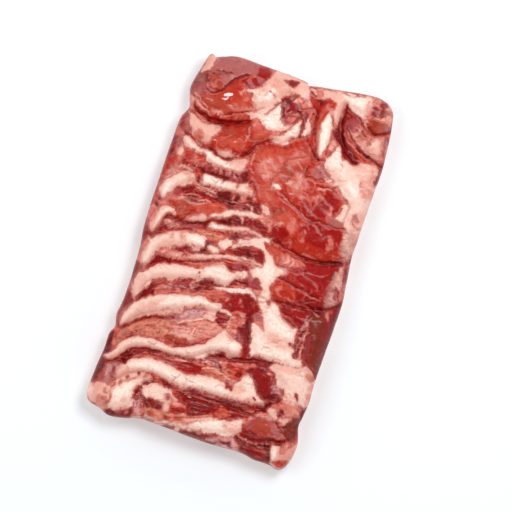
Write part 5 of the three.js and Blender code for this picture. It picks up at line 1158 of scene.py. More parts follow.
    ("crimson", 0.8, [-77, -156, -74, -154, -72, -156, -75, -159]),
    ("red", 0.8, [-87, -164, -84, -162, -82, -165, -85, -167]),
    ("rose", 1, [-94, -171, -90, -169, -89, -174, -92, -176]),
    # near edge and near right corner
    ("dusk", 1.5, [-14, -156, 0, -154.5, 20, -154.5, 40, -153, 56, -152, 66, -150, 60, -156, 44, -159, 30,
         -160, 10, -160, -8, -159]),
    ("brown", 3, [68, -168, 76, -164, 86, -168, 90, -176, 84, -182, 74, -181, 68, -176]),
    ("crimson", 1.5, [58, -184, 68, -181, 80, -184, 90, -184, 96, -182, 92, -188, 78, -191, 64, -190]),
    ("crimson", 1.5, [66, -200, 76, -198, 88, -199, 94, -203, 98, -210, 88, -211, 74, -209, 66, -205]),
    ("umber", 2, [110, -152, 117, -150, 120, -160, 118, -176, 112, -180, 106, -174, 102, -166, 106, -158]),
    ("rose", 2, [106, -188, 112, -186, 114, -194, 108, -196]),
    ("red", 1.5, [102, -208, 110, -205, 118, -204, 117, -210, 108, -213]),
    # far left flap
    ("blush", 1.5, [-108, 200, -104, 208, -100, 218, -95, 219, -97, 208, -101, 200]),
    ("wine", 2.5, [-113, 186, -108, 197, -101, 200, -99, 192, -103, 184, -110, 180]),
    ("bright", 1.5, [-44, 221, -33, 221, -33, 210, -36, 203, -42, 197, -50, 195, -58, 198, -62, 201, -52, 202,
         -46, 207, -44, 213]),
    ("crimson", 1.5, [-113, 146, -108, 148, -105, 140, -103, 132, -100, 128, -103, 122, -110, 126, -115,
         134]),
    ("crimson", 0.8, [-16, 217, -10, 217, -2, 219, 3, 219, 2, 214, -2, 210.5, -7, 211, -11, 214]),
    # far right roll, spindle and the fold beside them
    ("crimson", 1.5, [62, 207, 68, 206, 76, 203, 84, 200, 78, 197, 70, 194, 67, 186, 64, 178, 61, 186, 61,
         198]),
    ("dusk", 2.5, [70, 193, 76, 197, 84, 199, 87, 192, 82, 184, 74, 180, 69, 184]),
    ("crimson", 1.5, [64, 172, 70, 168, 74, 158, 78, 151, 86, 147, 91, 146, 97, 150, 92, 156, 84, 162, 78,
         169, 72, 176, 67, 178]),
    ("rosefat", 2.5, [84, 170, 92, 166, 104, 162, 116, 158, 121, 160, 121, 180, 116, 187, 106, 186, 100, 180,
         92, 176]),
    ("blush", 2, [98, 168, 108, 164, 114, 166, 116, 174, 112, 182, 106, 182, 103, 176]),
    ("lilac", 1.5, [90, 171, 98, 168, 104, 166, 112, 162, 118, 161, 112, 160, 100, 163, 90, 168]),
    ("dusk", 1.2, [115, 186, 119, 188, 121, 184, 120, 172, 121, 164, 118, 166, 117, 176]),
    ("brown", 1.5, [86, 192, 94, 192, 97, 188, 96, 182, 100, 178, 103, 173, 99, 172, 94, 177, 88, 178, 84,
         177, 87, 182, 88, 187]),
    ("orange", 0.8, [29, 187, 33, 187, 35, 180, 34, 174, 31, 174, 31, 180]),
    ("rosefat", 1.5, [54, 150, 57, 160, 60, 168, 64, 166, 66, 158, 62, 150, 58, 145]),
    ("brown", 0.8, [60, 150, 64, 158, 66, 160, 64, 152, 62, 147]),
    ("dusk", 1.5, [-72, 92, -60, 91, -48, 89.5, -30, 89, -30, 94, -40, 95, -52, 95, -64, 97, -70, 97]),
    ("rosefat", 1, [-63, 100, -61.5, 94, -59, 91, -57.5, 94, -57, 100]),
    ("rose", 1, [-55.5, 99, -54.5, 93, -53, 91, -51.8, 94, -51.5, 99]),
    ("rosefat", 1.4, [-48, 100, -47.5, 94, -45, 92, -42, 94, -38, 100]),
    ("lilac", 1, [-37.5, 98, -37.5, 94, -36, 91.5, -34.5, 94, -33.5, 99]),
    ("crimson", 0.8, [-68.5, 97, -66.5, 98, -64, 92, -66, 90.5]),
    ("wine", 0.7, [-57.3, 96, -56, 96.5, -54.8, 91, -56.5, 90]),
    ("wine", 0.7, [-51.4, 96, -49.8, 96, -48.3, 89, -50.3, 88.5]),
    ("wine", 0.7, [-41, 98, -39.2, 97.5, -37.5, 93.5, -39.3, 93]),
    ("plum", 0.7, [-36, 96, -33.8, 97, -31.5, 92, -33.8, 91]),
    ("crimson", 0.8, [-76, 89.8, -66, 89.3, -56, 89, -47.5, 88, -46.5, 86.6, -54, 87.2, -64, 87.5, -74, 88]),
    ("wine", 1, [-51, 70, -49, 73, -42, 74, -37.5, 75.5, -34.8, 72, -32, 66, -30.5, 61.6, -37, 61.8, -44,
         64.5, -48.5, 67]),
    ("rosefat", 0.9, [-35.5, 77, -31, 77, -29.6, 71, -28.8, 64, -30, 62.5, -31.6, 67, -33.8, 73]),
    ("rosefat", 1.2, [-23.5, 77, -16, 77, -16, 70, -18, 66.5, -22.5, 66.5, -22.8, 71]),
    ("blush", 2, [-48, 108, -38, 111, -30, 116, -27, 112, -29, 104, -36, 102, -45, 104]),
    ("rosefat", 1.5, [-43, 190, -30, 188, -24, 180, -26, 174, -34, 170, -44, 168.5, -42, 174, -41, 182]),
    ("cream", 2, [-41, 190, -31, 190, -22, 184, -20, 178, -25, 173, -32, 173, -38, 177, -40, 184]),
    ("dusk", 1.2, [1, 181.5, 8, 183.5, 14, 184, 16, 180, 14.5, 174, 9, 169, 6, 166.5, 2, 168, -1, 172, -1,
         178]),
    ("rosefat", 0.8, [1.5, 182.5, 6, 181, 11, 181, 15.5, 183, 10, 184.2, 5, 184.5]),
    ("rose", 1.5, [4, 177, 10, 178, 12, 173, 7, 170, 3, 172]),
    ("umber", 0.8, [-9, 191, -4, 196, 1, 200.5, 8, 204, 5, 199, 0, 194.5, -5, 190.5]),
    ("cream", 1, [-8, 148, -2, 151, 4, 155, 9, 158, 12, 155, 8, 151, 12, 148, 8, 145, 0, 143.5, -6, 144.5]),
    ("bright", 1.2, [-34, 222, -43, 221, -42, 214, -45, 208, -51, 203.5, -60, 200.5, -54, 196.5, -44, 195.5,
         -37, 199, -34, 206]),
    ("umber", 1.5, [-92, 203, -84, 202, -76, 203, -70, 207, -78, 206, -88, 206]),
    ("mauve", 3, [-84, 200, -74, 202, -68, 206, -66, 203, -72, 195, -78, 190, -82, 192]),
]

# Thin creases, cut into the relief and darkened with painted shade: strength, then x, y and half width along
# them
CREASES = [
    (1, [-96, 178, 0.6, -88, 178, 1, -80, 183, 1.5, -72, 192, 1.4, -62, 203, 1, -52, 210, 0.5]),
    (0.5, [-98, 187, 0.7, -94, 183, 0.9, -89, 182, 0.9, -85, 180, 0.7]),
    (0.5, [-104, 199, 0.8, -98, 200, 1.2, -92, 199, 1, -86, 200, 0.8, -78, 201, 0.4]),
    (0.7, [-110, 170, 0.8, -102, 166, 1, -95, 160, 1, -88, 156, 0.9, -84, 154, 0.5]),
    (0.8, [-106, 163, 0.7, -104, 157, 1.2, -103, 154, 0.8]),
    (1, [-103, 155, 1.5, -95, 151.5, 2.4, -85, 149, 3.2, -75, 148, 4, -65, 149, 4, -55, 152, 3, -47, 155.5,
         2, -40, 158, 0.8]),
    (0.9, [-70, 156, 0.8, -60, 160.5, 1.4, -50, 165, 1.3, -44, 168, 0.9, -36, 173, 0.5, -28, 178, 0.4]),
    (0.6, [-108, 150, 0.7, -100, 148, 0.9, -92, 143.5, 1, -84, 143, 0.9, -80, 144, 0.5]),
    (0.5, [-22, 172, 0.7, -15, 183, 0.9, -10, 190, 1]),
    (0.9, [20, 214, 0.5, 23, 211, 0.7, 26, 208, 0.5]),
    (0.9, [22, 204, 0.5, 28, 197, 1, 33, 192, 1.4, 34.5, 184, 1.2, 35, 176, 1, 36.5, 168, 1, 37, 162, 0.7]),
    (0.8, [30, 163, 0.8, 32, 156, 1.1, 39, 149, 1.1, 45, 144, 1.1, 48, 139.5, 1.1, 53, 139, 1, 57, 140,
         0.6]),
    (0.8, [14, 154.5, 0.6, 19, 157, 0.8, 22, 159, 0.8]),
    (0.6, [0, 183, 0.5, 6, 182, 0.6, 12, 184, 0.6, 17, 184, 0.5]),
    (0.7, [8, 197, 0.8, 12, 194, 0.9, 15, 191, 0.6]),
    (0.8, [16, 190, 0.8, 21, 192, 1, 27, 194, 0.8]),
    (0.9, [55, 222.5, 0.8, 64, 222, 1, 74, 224, 0.9, 82, 225.5, 0.6]),
    (1, [63, 210, 0.9, 64, 200, 1.6, 64, 190, 1.6, 66, 182, 1.8, 69, 174, 2.2, 72, 166, 2, 75, 159, 1.4, 77,
         152, 0.9]),
    (0.9, [64, 207, 1, 72, 204, 1.2, 80, 201, 1.2, 85, 197, 1.2, 88, 191, 0.8]),
    (0.9, [60, 171, 0.8, 65, 167, 1.2, 71, 163, 1.2, 76, 155, 1, 80, 150, 1, 86, 147, 1, 91, 145, 0.7]),
    (1, [96, 191, 0.6, 102, 187.5, 1, 109, 188, 1.4, 115, 191, 2, 121, 197, 2.4]),
    (0.9, [86, 167.5, 0.6, 95, 162, 1.1, 105, 158, 1.3, 114, 156, 1.4, 123, 154, 1.8]),
    (0.6, [119, 188, 0.8, 121, 184, 1.3, 122, 180, 1]),
    (1, [-34, 118, 0.8, -30, 122, 1.3, -27, 128, 1.6, -23, 133, 1.5, -18, 139, 1, -12, 143, 0.7, -7, 147,
         0.4]),
    (0.8, [-29, 121, 0.6, -26, 126, 0.9, -22, 131, 0.9]),
    (1, [-75, 116, 0.7, -69, 115.5, 1.5, -65, 112.5, 1.8, -60, 110, 1.2, -54, 110, 1.2, -49, 110.5, 0.5]),
    (0.6, [-74, 88, 0.6, -62, 87.5, 1, -54, 87.5, 1.2, -46, 86, 0.9, -46.5, 82, 0.7]),
    (0.6, [-78, 88, 0.6, -71.5, 85, 0.8, -71, 79, 0.7]),
    (0.5, [-66, 100, 0.6, -65, 93, 0.6]),
    (0.5, [-60, 97, 0.6, -58, 90, 0.9]),
    (0.5, [-51, 96, 0.6, -47, 89, 0.8]),
    (0.5, [-36, 95, 0.7, -32, 92, 0.7]),
    (0.9, [-50, 67, 0.6, -44, 64, 1, -37, 62, 1, -30, 60.5, 1.2, -24, 63, 0.8, -17, 66.5, 0.7, -10, 68,
         0.6]),
    (0.5, [-10, 66, 0.5, -4, 65, 0.8, 1, 60, 0.8]),
    (0.7, [-71, 71.5, 0.6, -62, 70, 0.5]),
    (0.7, [-86, 54.5, 0.6, -78, 56, 1, -70, 57.5, 1]),
    (0.5, [-84, 51, 0.5, -70, 52, 0.9, -56, 56, 0.7, -48, 58, 0.5]),
    (1, [19, 91, 0.5, 27, 86.5, 0.9, 40, 80, 1, 50, 75.5, 1, 60, 72, 1, 75, 70.5, 1, 90, 70, 1.1, 98, 70,
         0.8, 103, 72.5, 0.5]),
    (0.7, [22, 86, 0.4, 33, 81.5, 0.7, 45, 76.5, 0.7, 56, 70.5, 0.8, 65, 68.5, 1.1, 70, 66, 0.5]),
    (0.7, [6, 98, 0.6, 9, 108, 0.7, 12.5, 118, 0.8, 15, 125, 0.9, 20, 130, 0.8, 30, 136, 0.6, 38, 141,
         0.4]),
    (0.8, [41, 129, 0.7, 41.5, 121, 1.2, 42, 116, 1.2, 50, 116.5, 0.9, 57, 117.5, 1, 63, 119, 0.7]),
    (0.8, [59, 110, 0.6, 69, 111, 0.9, 76, 111, 0.7, 80, 115, 0.6, 88, 108.5, 0.7, 95, 103, 0.9, 100, 100,
         0.9]),
    (0.5, [100, 99, 0.7, 101, 91, 0.5, 100, 84, 0.5, 99, 78, 0.7]),
    (0.6, [105, 129, 0.5, 106, 123, 1, 108, 118, 0.6]),
    (0.6, [109, 83, 0.7, 113, 79, 0.8, 118, 77, 0.8, 122, 79, 0.7]),
    (0.8, [70, 67, 0.4, 76, 63, 0.8, 80, 60, 0.5]),
    (0.9, [-78, 20, 0.6, -72, 24, 1, -66, 28, 1.3, -60, 29, 1.3, -54, 29.5, 1]),
    (0.7, [-101, 16, 0.7, -100, 21, 0.9, -97, 27, 1.1, -92, 29, 1.1, -85, 27, 0.9, -78, 24, 1, -74, 22,
         0.7]),
    (1, [24, 37.5, 0.8, 33, 34.5, 1.5, 42, 32, 1.1, 50, 30.5, 1.1, 60, 28, 1.4, 67, 26, 1.8, 76, 26, 1.8,
         86, 27, 2, 95, 29, 2.6, 104, 32, 2.2, 112, 33, 1]),
    (0.8, [49, 26, 0.5, 56, 23.5, 0.9, 66, 24, 1.1]),
    (0.9, [102, 36, 0.5, 106, 38.5, 1, 111, 42, 0.9]),
    (1, [45, -3, 0.8, 54, -5, 1.1, 64, -7.5, 1.1, 72, -9, 0.9, 80, -10.5, 1.4, 90, -13, 1.4, 98, -14, 0.7]),
    (0.9, [46, -31, 0.7, 54, -31, 1, 64, -30, 1, 76, -31.5, 0.8, 88, -31, 0.6]),
    (0.6, [79, -24, 0.6, 87, -20.5, 0.9, 96, -17, 0.5]),
    (0.8, [88, -26, 0.7, 95, -28, 1.2, 103, -31, 0.7]),
    (1, [99, -26, 0.9, 108, -23.5, 1.4, 115, -20, 1.6, 120, -14, 1.4, 125, -10, 1.4]),
    (0.6, [104, 11, 0.6, 109, 15, 0.8, 112, 22, 0.6]),
    (0.7, [106, -3, 0.6, 110, 0, 0.8, 116, 1, 0.7, 117.5, -4, 1, 120.5, -9, 0.9]),
    (0.5, [40, 10, 0.6, 48, 9.5, 0.9, 60, 11, 0.8, 74, 13, 0.4]),
    (0.8, [2, -22, 0.7, 8, -22, 1.2, 14, -22, 0.9]),
    (0.6, [22, -26, 0.6, 29, -30, 1, 36, -31.5, 0.9, 46, -32, 0.6]),
    (0.5, [-62, -18, 0.5, -45, -12.5, 0.8, -30, -8, 0.6, -20, -5.5, 0.4]),
    (0.6, [-72, -22, 0.8, -66, -20, 1, -56, -16.5, 0.8, -48, -13.5, 0.5]),
    (0.8, [-103, -78, 0.7, -98, -73, 1.1, -92, -67.5, 1]),
    (0.6, [-45, -50, 0.9, -40, -46, 1, -33, -42, 0.9, -25, -39.5, 0.7, -18, -38, 0.5]),
    (0.7, [-111, -114, 0.7, -104, -108, 1.2, -98, -102, 1.5, -92, -97, 1.6, -88, -93, 1.8, -80, -90, 1.2,
         -72, -87.5, 1, -64, -86, 0.9, -57, -84, 0.8]),
    (0.8, [-46, -115.5, 0.6, -38, -113, 0.7, -30, -110, 0.7, -24, -106, 0.9, -18, -103.5, 0.8, -13, -100,
         0.9, -9, -95, 0.7]),
    (0.9, [-113, -153, 0.6, -105, -149, 1.4, -99, -141, 2, -92, -134, 1.5, -84, -129.5, 1.3, -74, -126.5,
         1.3, -64, -125.5, 1.2, -56, -125.2, 0.8, -44, -125, 0.6, -30, -123.8, 0.6, -18, -122, 0.5]),
    (0.7, [-92, -142, 1.2, -86, -137, 1.3, -80, -134, 1.1, -71, -131.5, 1, -60, -130.5, 0.8, -50, -130,
         0.7]),
    (1, [0, -113, 0.8, 10, -110.5, 1, 20, -109.5, 1, 30, -107, 1.2, 40, -104, 1.3, 50, -102.5, 1.2, 60,
         -101.5, 1, 68, -100, 0.7]),
    (0.8, [3, -108.5, 0.8, 9, -109.5, 1.1]),
    (0.7, [-1, -119, 0.7, 3, -119.5, 0.8]),
    (0.7, [5, -118, 0.6, 9, -121, 1, 14, -124, 0.7]),
    (0.9, [103, -92, 0.6, 110, -91.5, 0.9, 116, -94.5, 1.1, 120, -99, 1.4, 124, -105, 1]),
    (0.8, [-66, -178, 1, -62, -184, 1.2, -58.5, -191, 1.1, -56, -198, 0.9, -56, -203, 1.1]),
    (0.8, [-20, -160, 0.5, 0, -161.5, 0.5, 20, -160.5, 0.5, 36, -160.5, 0.8, 48, -161.5, 1.2, 60, -162.5,
         1.2, 68, -158.5, 1, 76, -151, 1.2, 80, -147, 0.8]),
    (0.9, [96, -168, 0.6, 101, -172, 1, 106, -176, 0.9, 111, -179, 1.3]),
    (0.9, [112, -179, 1.5, 106, -182.5, 1.8, 98, -185, 1.6, 90, -187, 1]),
    (0.7, [54, -191, 1, 57, -195, 1.2, 66, -197.5, 1.4, 78, -196.5, 1.2, 88, -195, 1.2, 96, -193, 1]),
    (0.6, [58, -205, 0.6, 66, -201, 0.9, 74, -199, 0.6]),
    (0.6, [-122, -200, 0.9, -117, -203, 0.9, -110, -205.5, 0.5]),
    (0.6, [-58, -203, 0.5, -50, -204.5, 0.7, -42, -205, 0.4]),
    (0.6, [96, -152, 0.4, 103, -153.5, 0.6, 110, -153, 0.4]),
    (0.6, [-112, 187, 0.5, -106, 190, 0.6, -100, 197, 0.7, -96, 200, 0.5]),
    (0.4, [-99, 199, 0.5, -97, 193, 0.6, -98, 188, 0.6, -92, 183, 0.7, -84, 181, 0.5]),
    (0.6, [-113, 182, 0.4, -104, 185, 0.6, -100, 190, 0.4]),
    (0.7, [105, 207, 0.5, 105.5, 213, 0.9, 106, 217, 0.5]),
    (0.6, [-71.5, 79, 0.5, -71, 84, 0.5]),
    (0.5, [-98, 86.5, 0.4, -90, 85, 0.5, -84, 82.5, 0.3]),
    (0.6, [-85, 53, 0.4, -78, 55, 0.6, -72, 57, 0.4]),
    (0.7, [-47, 87, 0.8, -46.5, 83, 0.8, -48, 80, 0.5]),
    (0.7, [-29, 88, 0.6, -28, 84, 0.8, -30, 80, 0.6]),
    (0.7, [49, 7, 0.4, 51, 5.5, 0.6, 53, 4.5, 0.6, 51, 3, 0.4]),
    (0.7, [-117, -145, 0.4, -112, -141, 0.6, -110, -133, 0.6, -111, -126, 0.4]),
    (0.8, [82, -157, 0.5, 92, -163, 0.8, 100, -170, 0.8, 110, -178, 0.9]),
    (0.6, [96, -168, 0.4, 104, -168, 0.5]),
    (0.8, [20, -207, 0.6, 28, -208, 0.8, 36, -208, 0.5]),
]

# Pale threads of film and sinew: tint, strength, then x, y and half width along them
THREADS = [
    ("rosefat", 0.45, [-36, 152, 0.8, -35, 143, 1, -35, 135, 0.8]),
    ("rosefat", 0.55, [36, 115, 0.7, 38, 108, 1, 38, 101, 0.6]),
    ("rose", 0.6, [8, 109, 0.8, 20, 111, 0.8, 34, 110, 0.8, 40, 113, 0.7, 60, 114, 0.7, 70, 115, 0.6]),
    ("rose", 0.5, [20, 132, 0.8, 30, 134, 1, 38, 140, 0.8]),
    ("rosefat", 0.5, [17, 127, 0.6, 23, 131, 1, 31, 134, 0.8]),
    ("rose", 0.6, [40, 100, 0.6, 50, 95, 0.8, 58, 86, 0.8, 60, 81, 0.6]),
    ("rose", 0.6, [61, 82, 0.6, 63, 89, 0.9, 70, 98, 0.7]),
    ("rose", 0.5, [66, 110, 0.7, 69, 103, 1.2, 68, 96, 0.8]),
    ("rose", 0.6, [30, 92, 1, 38, 94, 1, 50, 92, 0.8]),
    ("rosefat", 0.6, [61, 107, 0.8, 64, 108, 0.9, 68, 107.5, 0.6]),
    ("rosefat", 0.5, [72, 64, 0.6, 76, 61, 0.8, 80, 59, 0.5]),
    ("rose", 0.6, [-16, 98, 0.8, -10, 92, 1, -5, 84, 0.8, 0, 78, 0.6]),
    ("rose", 0.5, [3, 86, 0.7, 7, 82, 0.8, 10, 79, 0.6]),
    ("rosefat", 0.6, [-22, 124, 0.8, -22, 118, 1, -22, 112, 0.6]),
    ("rose", 0.7, [54, 7, 0.7, 62, 6, 1, 72, 8, 0.5]),
    ("rose", 0.6, [62, -43.5, 0.6, 74, -45, 0.9, 86, -48.5, 0.6]),
    ("rose", 0.5, [75, -10.5, 0.5, 88, -15, 0.8, 100, -16, 0.5]),
    ("rose", 0.4, [60, -24, 0.6, 75, -25, 0.8, 88, -28, 0.5]),
    ("rosefat", 0.5, [98, -31, 0.5, 104, -33, 0.7]),
    ("rosefat", 0.5, [66, 30, 0.6, 75, 30.5, 0.9, 80, 30, 0.5]),
    ("blush", 0.9, [-8, -69, 0.8, -20, -74, 0.9, -35, -80, 1, -50, -87, 0.6]),
    ("rosefat", 0.6, [40, -102.5, 0.6, 52, -100.8, 0.8, 62, -99.8, 0.6]),
    ("lilac", 0.9, [22, -207, 0.6, 34, -202.5, 1, 44, -199.5, 1.2, 52, -198, 1.4, 53, -203, 1.5, 54, -208,
         1.5]),
    ("blush", 0.6, [96, -59, 0.4, 95, -64, 0.6]),
    ("rosefat", 0.5, [113, 35, 0.8, 117, 32, 1, 123, 36, 0.8]),
    ("rosefat", 0.5, [112, 24, 0.7, 116, 30, 0.8]),
    ("blush", 0.5, [94, 190, 0.5, 89, 197, 0.6]),
    ("deep", 0.8, [-92, 177, 0.6, -84, 180, 0.9, -78, 187, 1, -70, 197, 0.9, -63, 205, 0.8, -54, 210, 0.6]),
    ("plum", 0.5, [-24, 172, 0.5, -16, 182, 0.6, -9, 192, 0.5]),
    ("brown", 0.5, [-105, 214, 0.6, -108, 204, 0.6, -110, 198, 0.5]),
    ("blush", 0.6, [-112, 168, 0.5, -104, 163, 0.7, -94, 157, 0.6, -86, 155, 0.4]),
    ("blush", 0.5, [-108, 172, 0.4, -100, 165, 0.5, -90, 159, 0.4]),
    ("rosefat", 0.6, [70, 178, 0.4, 80, 168, 0.6, 92, 161, 0.6, 104, 156, 0.4]),
    ("rosefat", 0.6, [74, 184, 0.4, 84, 176, 0.5, 94, 170, 0.4]),
    ("rosefat", 0.6, [80, 160, 0.3, 88, 154, 0.5, 96, 151, 0.4]),
    ("deep", 0.7, [66, 176, 0.6, 74, 168, 0.9, 84, 160, 0.8, 94, 154, 0.5]),
    ("deep", 0.7, [70, 188, 0.4, 76, 180, 0.6, 84, 172, 0.5, 94, 165, 0.4, 106, 160, 0.3]),
    ("deep", 0.7, [76, 158, 0.4, 84, 152, 0.7, 92, 149, 0.5]),
    ("deep", 0.6, [64, 196, 0.6, 68, 186, 0.8, 74, 176, 0.6]),
    ("dusk", 0.5, [112, 190, 0.4, 114, 180, 0.5, 116, 170, 0.4]),
    ("dusk", 0.5, [118, 186, 0.4, 119, 176, 0.5, 120, 165, 0.4]),
    ("dusk", 0.5, [107, 172, 0.3, 108, 165, 0.4, 110, 160, 0.3]),
    ("ivory", 0.8, [-98, 88, 0.4, -91, 86.5, 0.6, -85, 84, 0.4]),
    ("blush", 0.6, [-75, 72, 0.3, -55, 68, 0.5, -35, 62, 0.5, -15, 66, 0.4, -5, 62, 0.3]),
    ("deep", 0.5, [-75, 70.8, 0.3, -55, 66.8, 0.4, -35, 60.8, 0.4, -15, 64.8, 0.4]),
    ("blush", 0.5, [-70, 66, 0.3, -50, 64, 0.4]),
    ("rosefat", 0.5, [25, 52, 0.5, 28, 55, 0.6, 30, 53, 0.6, 32, 57, 0.5]),
    # Painted highlight: a thin bright line on a wet edge
    ("blush", 0.6, [60, 108.8, 0.4, 69, 109.8, 0.5, 76, 109.8, 0.4]),
    ("cream", 0.8, [-50, -8, 0.8, -36, -3.5, 1.2, -22, 0, 1.3, -8, 3, 1.2, 4, 6, 1]),
    ("plum", 0.6, [-62, -16.5, 0.5, -45, -11, 0.7, -28, -5, 0.6, -10, -1, 0.5]),
    ("blush", 0.7, [-60, -18.5, 0.7, -44, -13.5, 1, -30, -9, 0.8, -20, -7, 0.5]),
    ("plum", 0.8, [-60, 3, 0.6, -57, 2, 0.9, -56, 1.5, 0.5]),
    ("plum", 0.5, [113, 34, 0.4, 109, 24, 0.6, 104, 12, 0.4]),
    ("plum", 0.5, [115, 33, 0.4, 118, 20, 0.6, 120, 6, 0.4]),
    ("plum", 0.4, [117, 33, 0.3, 121, 24, 0.5, 123, 14, 0.3]),
    ("veil", 0.3, [45, 20, 0.5, 47, 16, 0.9, 45, 11, 0.5]),
    ("veil", 0.3, [50, 19, 0.5, 52, 15, 0.9, 51, 12, 0.4]),
    ("veil", 0.3, [56, 20, 0.5, 58, 15, 0.9, 56, 12, 0.4]),
    ("veil", 0.3, [62, 18, 0.5, 64, 14, 0.8]),
    ("veil", 0.4, [92, -36, 0.5, 91, -44, 0.9, 90, -52, 0.8]),
    ("veil", 0.3, [96, -38, 0.4, 95, -48, 0.8, 97, -55, 0.5]),
    ("rose", 0.5, [62, -42, 0.3, 74, -46, 0.6, 84, -51, 0.4]),
    ("deep", 0.5, [64, -40, 0.3, 76, -44, 0.6, 86, -49, 0.4]),
    # Painted highlight: a thin bright line on a wet edge
    ("ivory", 0.8, [-46, -127, 0.5, -34, -126.5, 0.7, -26, -125.5, 0.4]),
    ("blush", 0.3, [8, -58, 0.6, 16, -56, 1.2, 23, -59, 1]),
    ("blush", 0.6, [10, -62, 0.5, 20, -67, 0.5]),
    ("rosefat", 0.35, [70, -111, 0.5, 76, -118, 0.7, 78, -128, 0.6]),
    ("deep", 0.4, [74, -112, 0.6, 79, -121, 0.8, 77, -132, 0.6]),
    ("deep", 0.6, [-10, -120, 0.5, -2, -116.5, 0.8, 8, -117.5, 0.8, 14, -122, 0.6]),
    ("blush", 0.6, [-8, -122, 0.5, 0, -119, 0.7, 8, -120, 0.6, 12, -124, 0.5]),
    ("brown", 0.6, [-8, -127, 0.5, 2, -123, 0.7, 16, -126, 0.6, 24, -130, 0.4]),
    ("blush", 0.5, [-6, -129, 0.4, 6, -126, 0.6, 18, -129, 0.6, 26, -133, 0.4]),
    ("blush", 0.3, [95, -54, 0.4, 92, -66, 0.6, 90, -78, 0.4]),
    ("plum", 0.6, [-104, -158, 0.5, -102, -166, 0.6, -105, -174, 0.4]),
    ("plum", 0.5, [-99, -162, 0.4, -98, -168, 0.5, -101, -174, 0.4]),
    ("blush", 0.7, [-70, -180, 0.4, -67, -178, 0.5, -66, -182, 0.4]),
    ("lilac", 0.6, [-12, -162, 0.5, 4, -162.5, 0.7, 20, -161.5, 0.6, 30, -161, 0.4]),
    ("brown", 0.7, [-88, -52, 0.8, -76, -49.5, 0.9, -60, -48.5, 0.6, -44, -46.5, 0.5]),
    ("blush", 0.6, [48, 13, 0.5, 52, 18, 0.7, 50, 22, 0.5]),
    ("blush", 0.5, [56, 12, 0.5, 59, 17, 0.7, 57, 21, 0.5]),
    ("deep", 0.8, [-66, 28, 0.9, -60, 29, 1.2, -54, 29.5, 0.9]),
]

# Fringes of short marks, as where fibres end at fat: tint, strength, how many, one end, the other, and
# the run of a mark
FRINGES = [
    ("wine", 0.7, 9, (-96, 90), (-74, 90), (1, 5)),
    ("plum", 0.6, 9, (-82, -9), (-62, -2), (2.5, 4)),
    ("plum", 0.7, 6, (-68, -79), (-50, -72), (1, -3)),
    ("blush", 0.6, 11, (-50, -98), (-22, -93), (1.5, 6)),
    ("blush", 0.4, 8, (55, -194), (90, -193), (1, -3)),
    ("blush", 0.6, 7, (-98, -40), (-84, -28), (3, -3)),
    ("deep", 0.6, 8, (64, -38), (90, -46), (4, -3)),
    ("deep", 0.6, 7, (-96, -26), (-72, -22), (3, 2.5)),
]

# Painted highlights, small wet glints drawn into the colour: x, y and half width along them
PAINTED_HIGHLIGHTS = [
    [-75, 179, 2, -71, 180, 3.2, -67, 182, 2],
    [-77, 174.5, 0.9, -72, 175.5, 1.4, -69, 177, 0.9],
    [-88, 205, 0.8, -84, 206, 0.9],
    [-50, 130, 0.7, -46, 131, 0.8],
    [-70, 126, 0.7, -67, 126, 0.7],
    [30, 92.5, 0.6, 36, 93, 0.7],
    [-92, -158, 0.6, -90, -157, 0.6],
    [-12, -164, 0.8, -9, -164.5, 0.8],
    [12, -163.8, 0.5, 19, -164, 0.5],
    [97, -193, 0.9, 98, -194, 0.7],
    [-72.5, -14, 1, -71, -15.5, 0.8],
    [-109, -155.5, 0.8, -107, -158, 0.8],
]

def in_pairs(numbers, size):
    """A flat list as rows of points."""
    return np.array(numbers, float).reshape(-1, size)


def smooth_line(points, closed):
    """Points along a smooth line through the given ones, which also carries their half widths."""
    count = len(points)
    pieces = count if closed else count - 1
    order = np.arange(pieces)
    if closed:
        a, b, c, d = (points[(order + k) % count] for k in (-1, 0, 1, 2))
    else:
        a, b, c, d = (points[np.clip(order + k, 0, count - 1)] for k in (-1, 0, 1, 2))
    rows = []
    for step in range(LINE_STEPS):
        t = step / LINE_STEPS
        rows.append(b + 0.5 * t * (c - a + t * (2 * a - 5 * b + 4 * c - d + t * (3 * (b - c) + d - a))))
    line = np.stack(rows, axis=1).reshape(-1, points.shape[1])
    if closed:
        return line
    return np.vstack([line, points[-1]])


def near_box(xy, line, margin):
    """Which places lie near a line's box."""
    low = line[:, :2].min(0) - margin
    high = line[:, :2].max(0) + margin
    return np.nonzero(((xy >= low) & (xy <= high)).all(1))[0]


def distance_to_line(xy, line, closed):
    """Distance to the nearest place of a line, and the line's half width there."""
    best = np.full(len(xy), np.inf)
    half = np.ones(len(xy))
    ends = np.roll(line, -1, 0) if closed else line[1:]
    for a, b in zip(line, ends):
        run = b[:2] - a[:2]
        length = run @ run or 1
        t = np.clip(((xy - a[:2]) @ run) / length, 0, 1)
        gap = np.hypot(xy[:, 0] - a[0] - t * run[0], xy[:, 1] - a[1] - t * run[1])
        closer = gap < best
        best[closer] = gap[closer]
        if len(a) > 2:
            half[closer] = a[2] + t[closer] * (b[2] - a[2])
    return best, half


def is_inside(xy, outline):
    inside = np.zeros(len(xy), bool)
    for a, b in zip(outline, np.roll(outline, 1, 0)):
        if a[1] == b[1]:
            continue
        crosses = (a[1] > xy[:, 1]) != (b[1] > xy[:, 1])
        inside ^= crosses & (xy[:, 0] < a[0] + (b[0] - a[0]) * (xy[:, 1] - a[1]) / (b[1] - a[1]))
    return inside


def smooth_step(t):
    t = np.clip(t, 0, 1)
    return t * t * (3 - 2 * t)


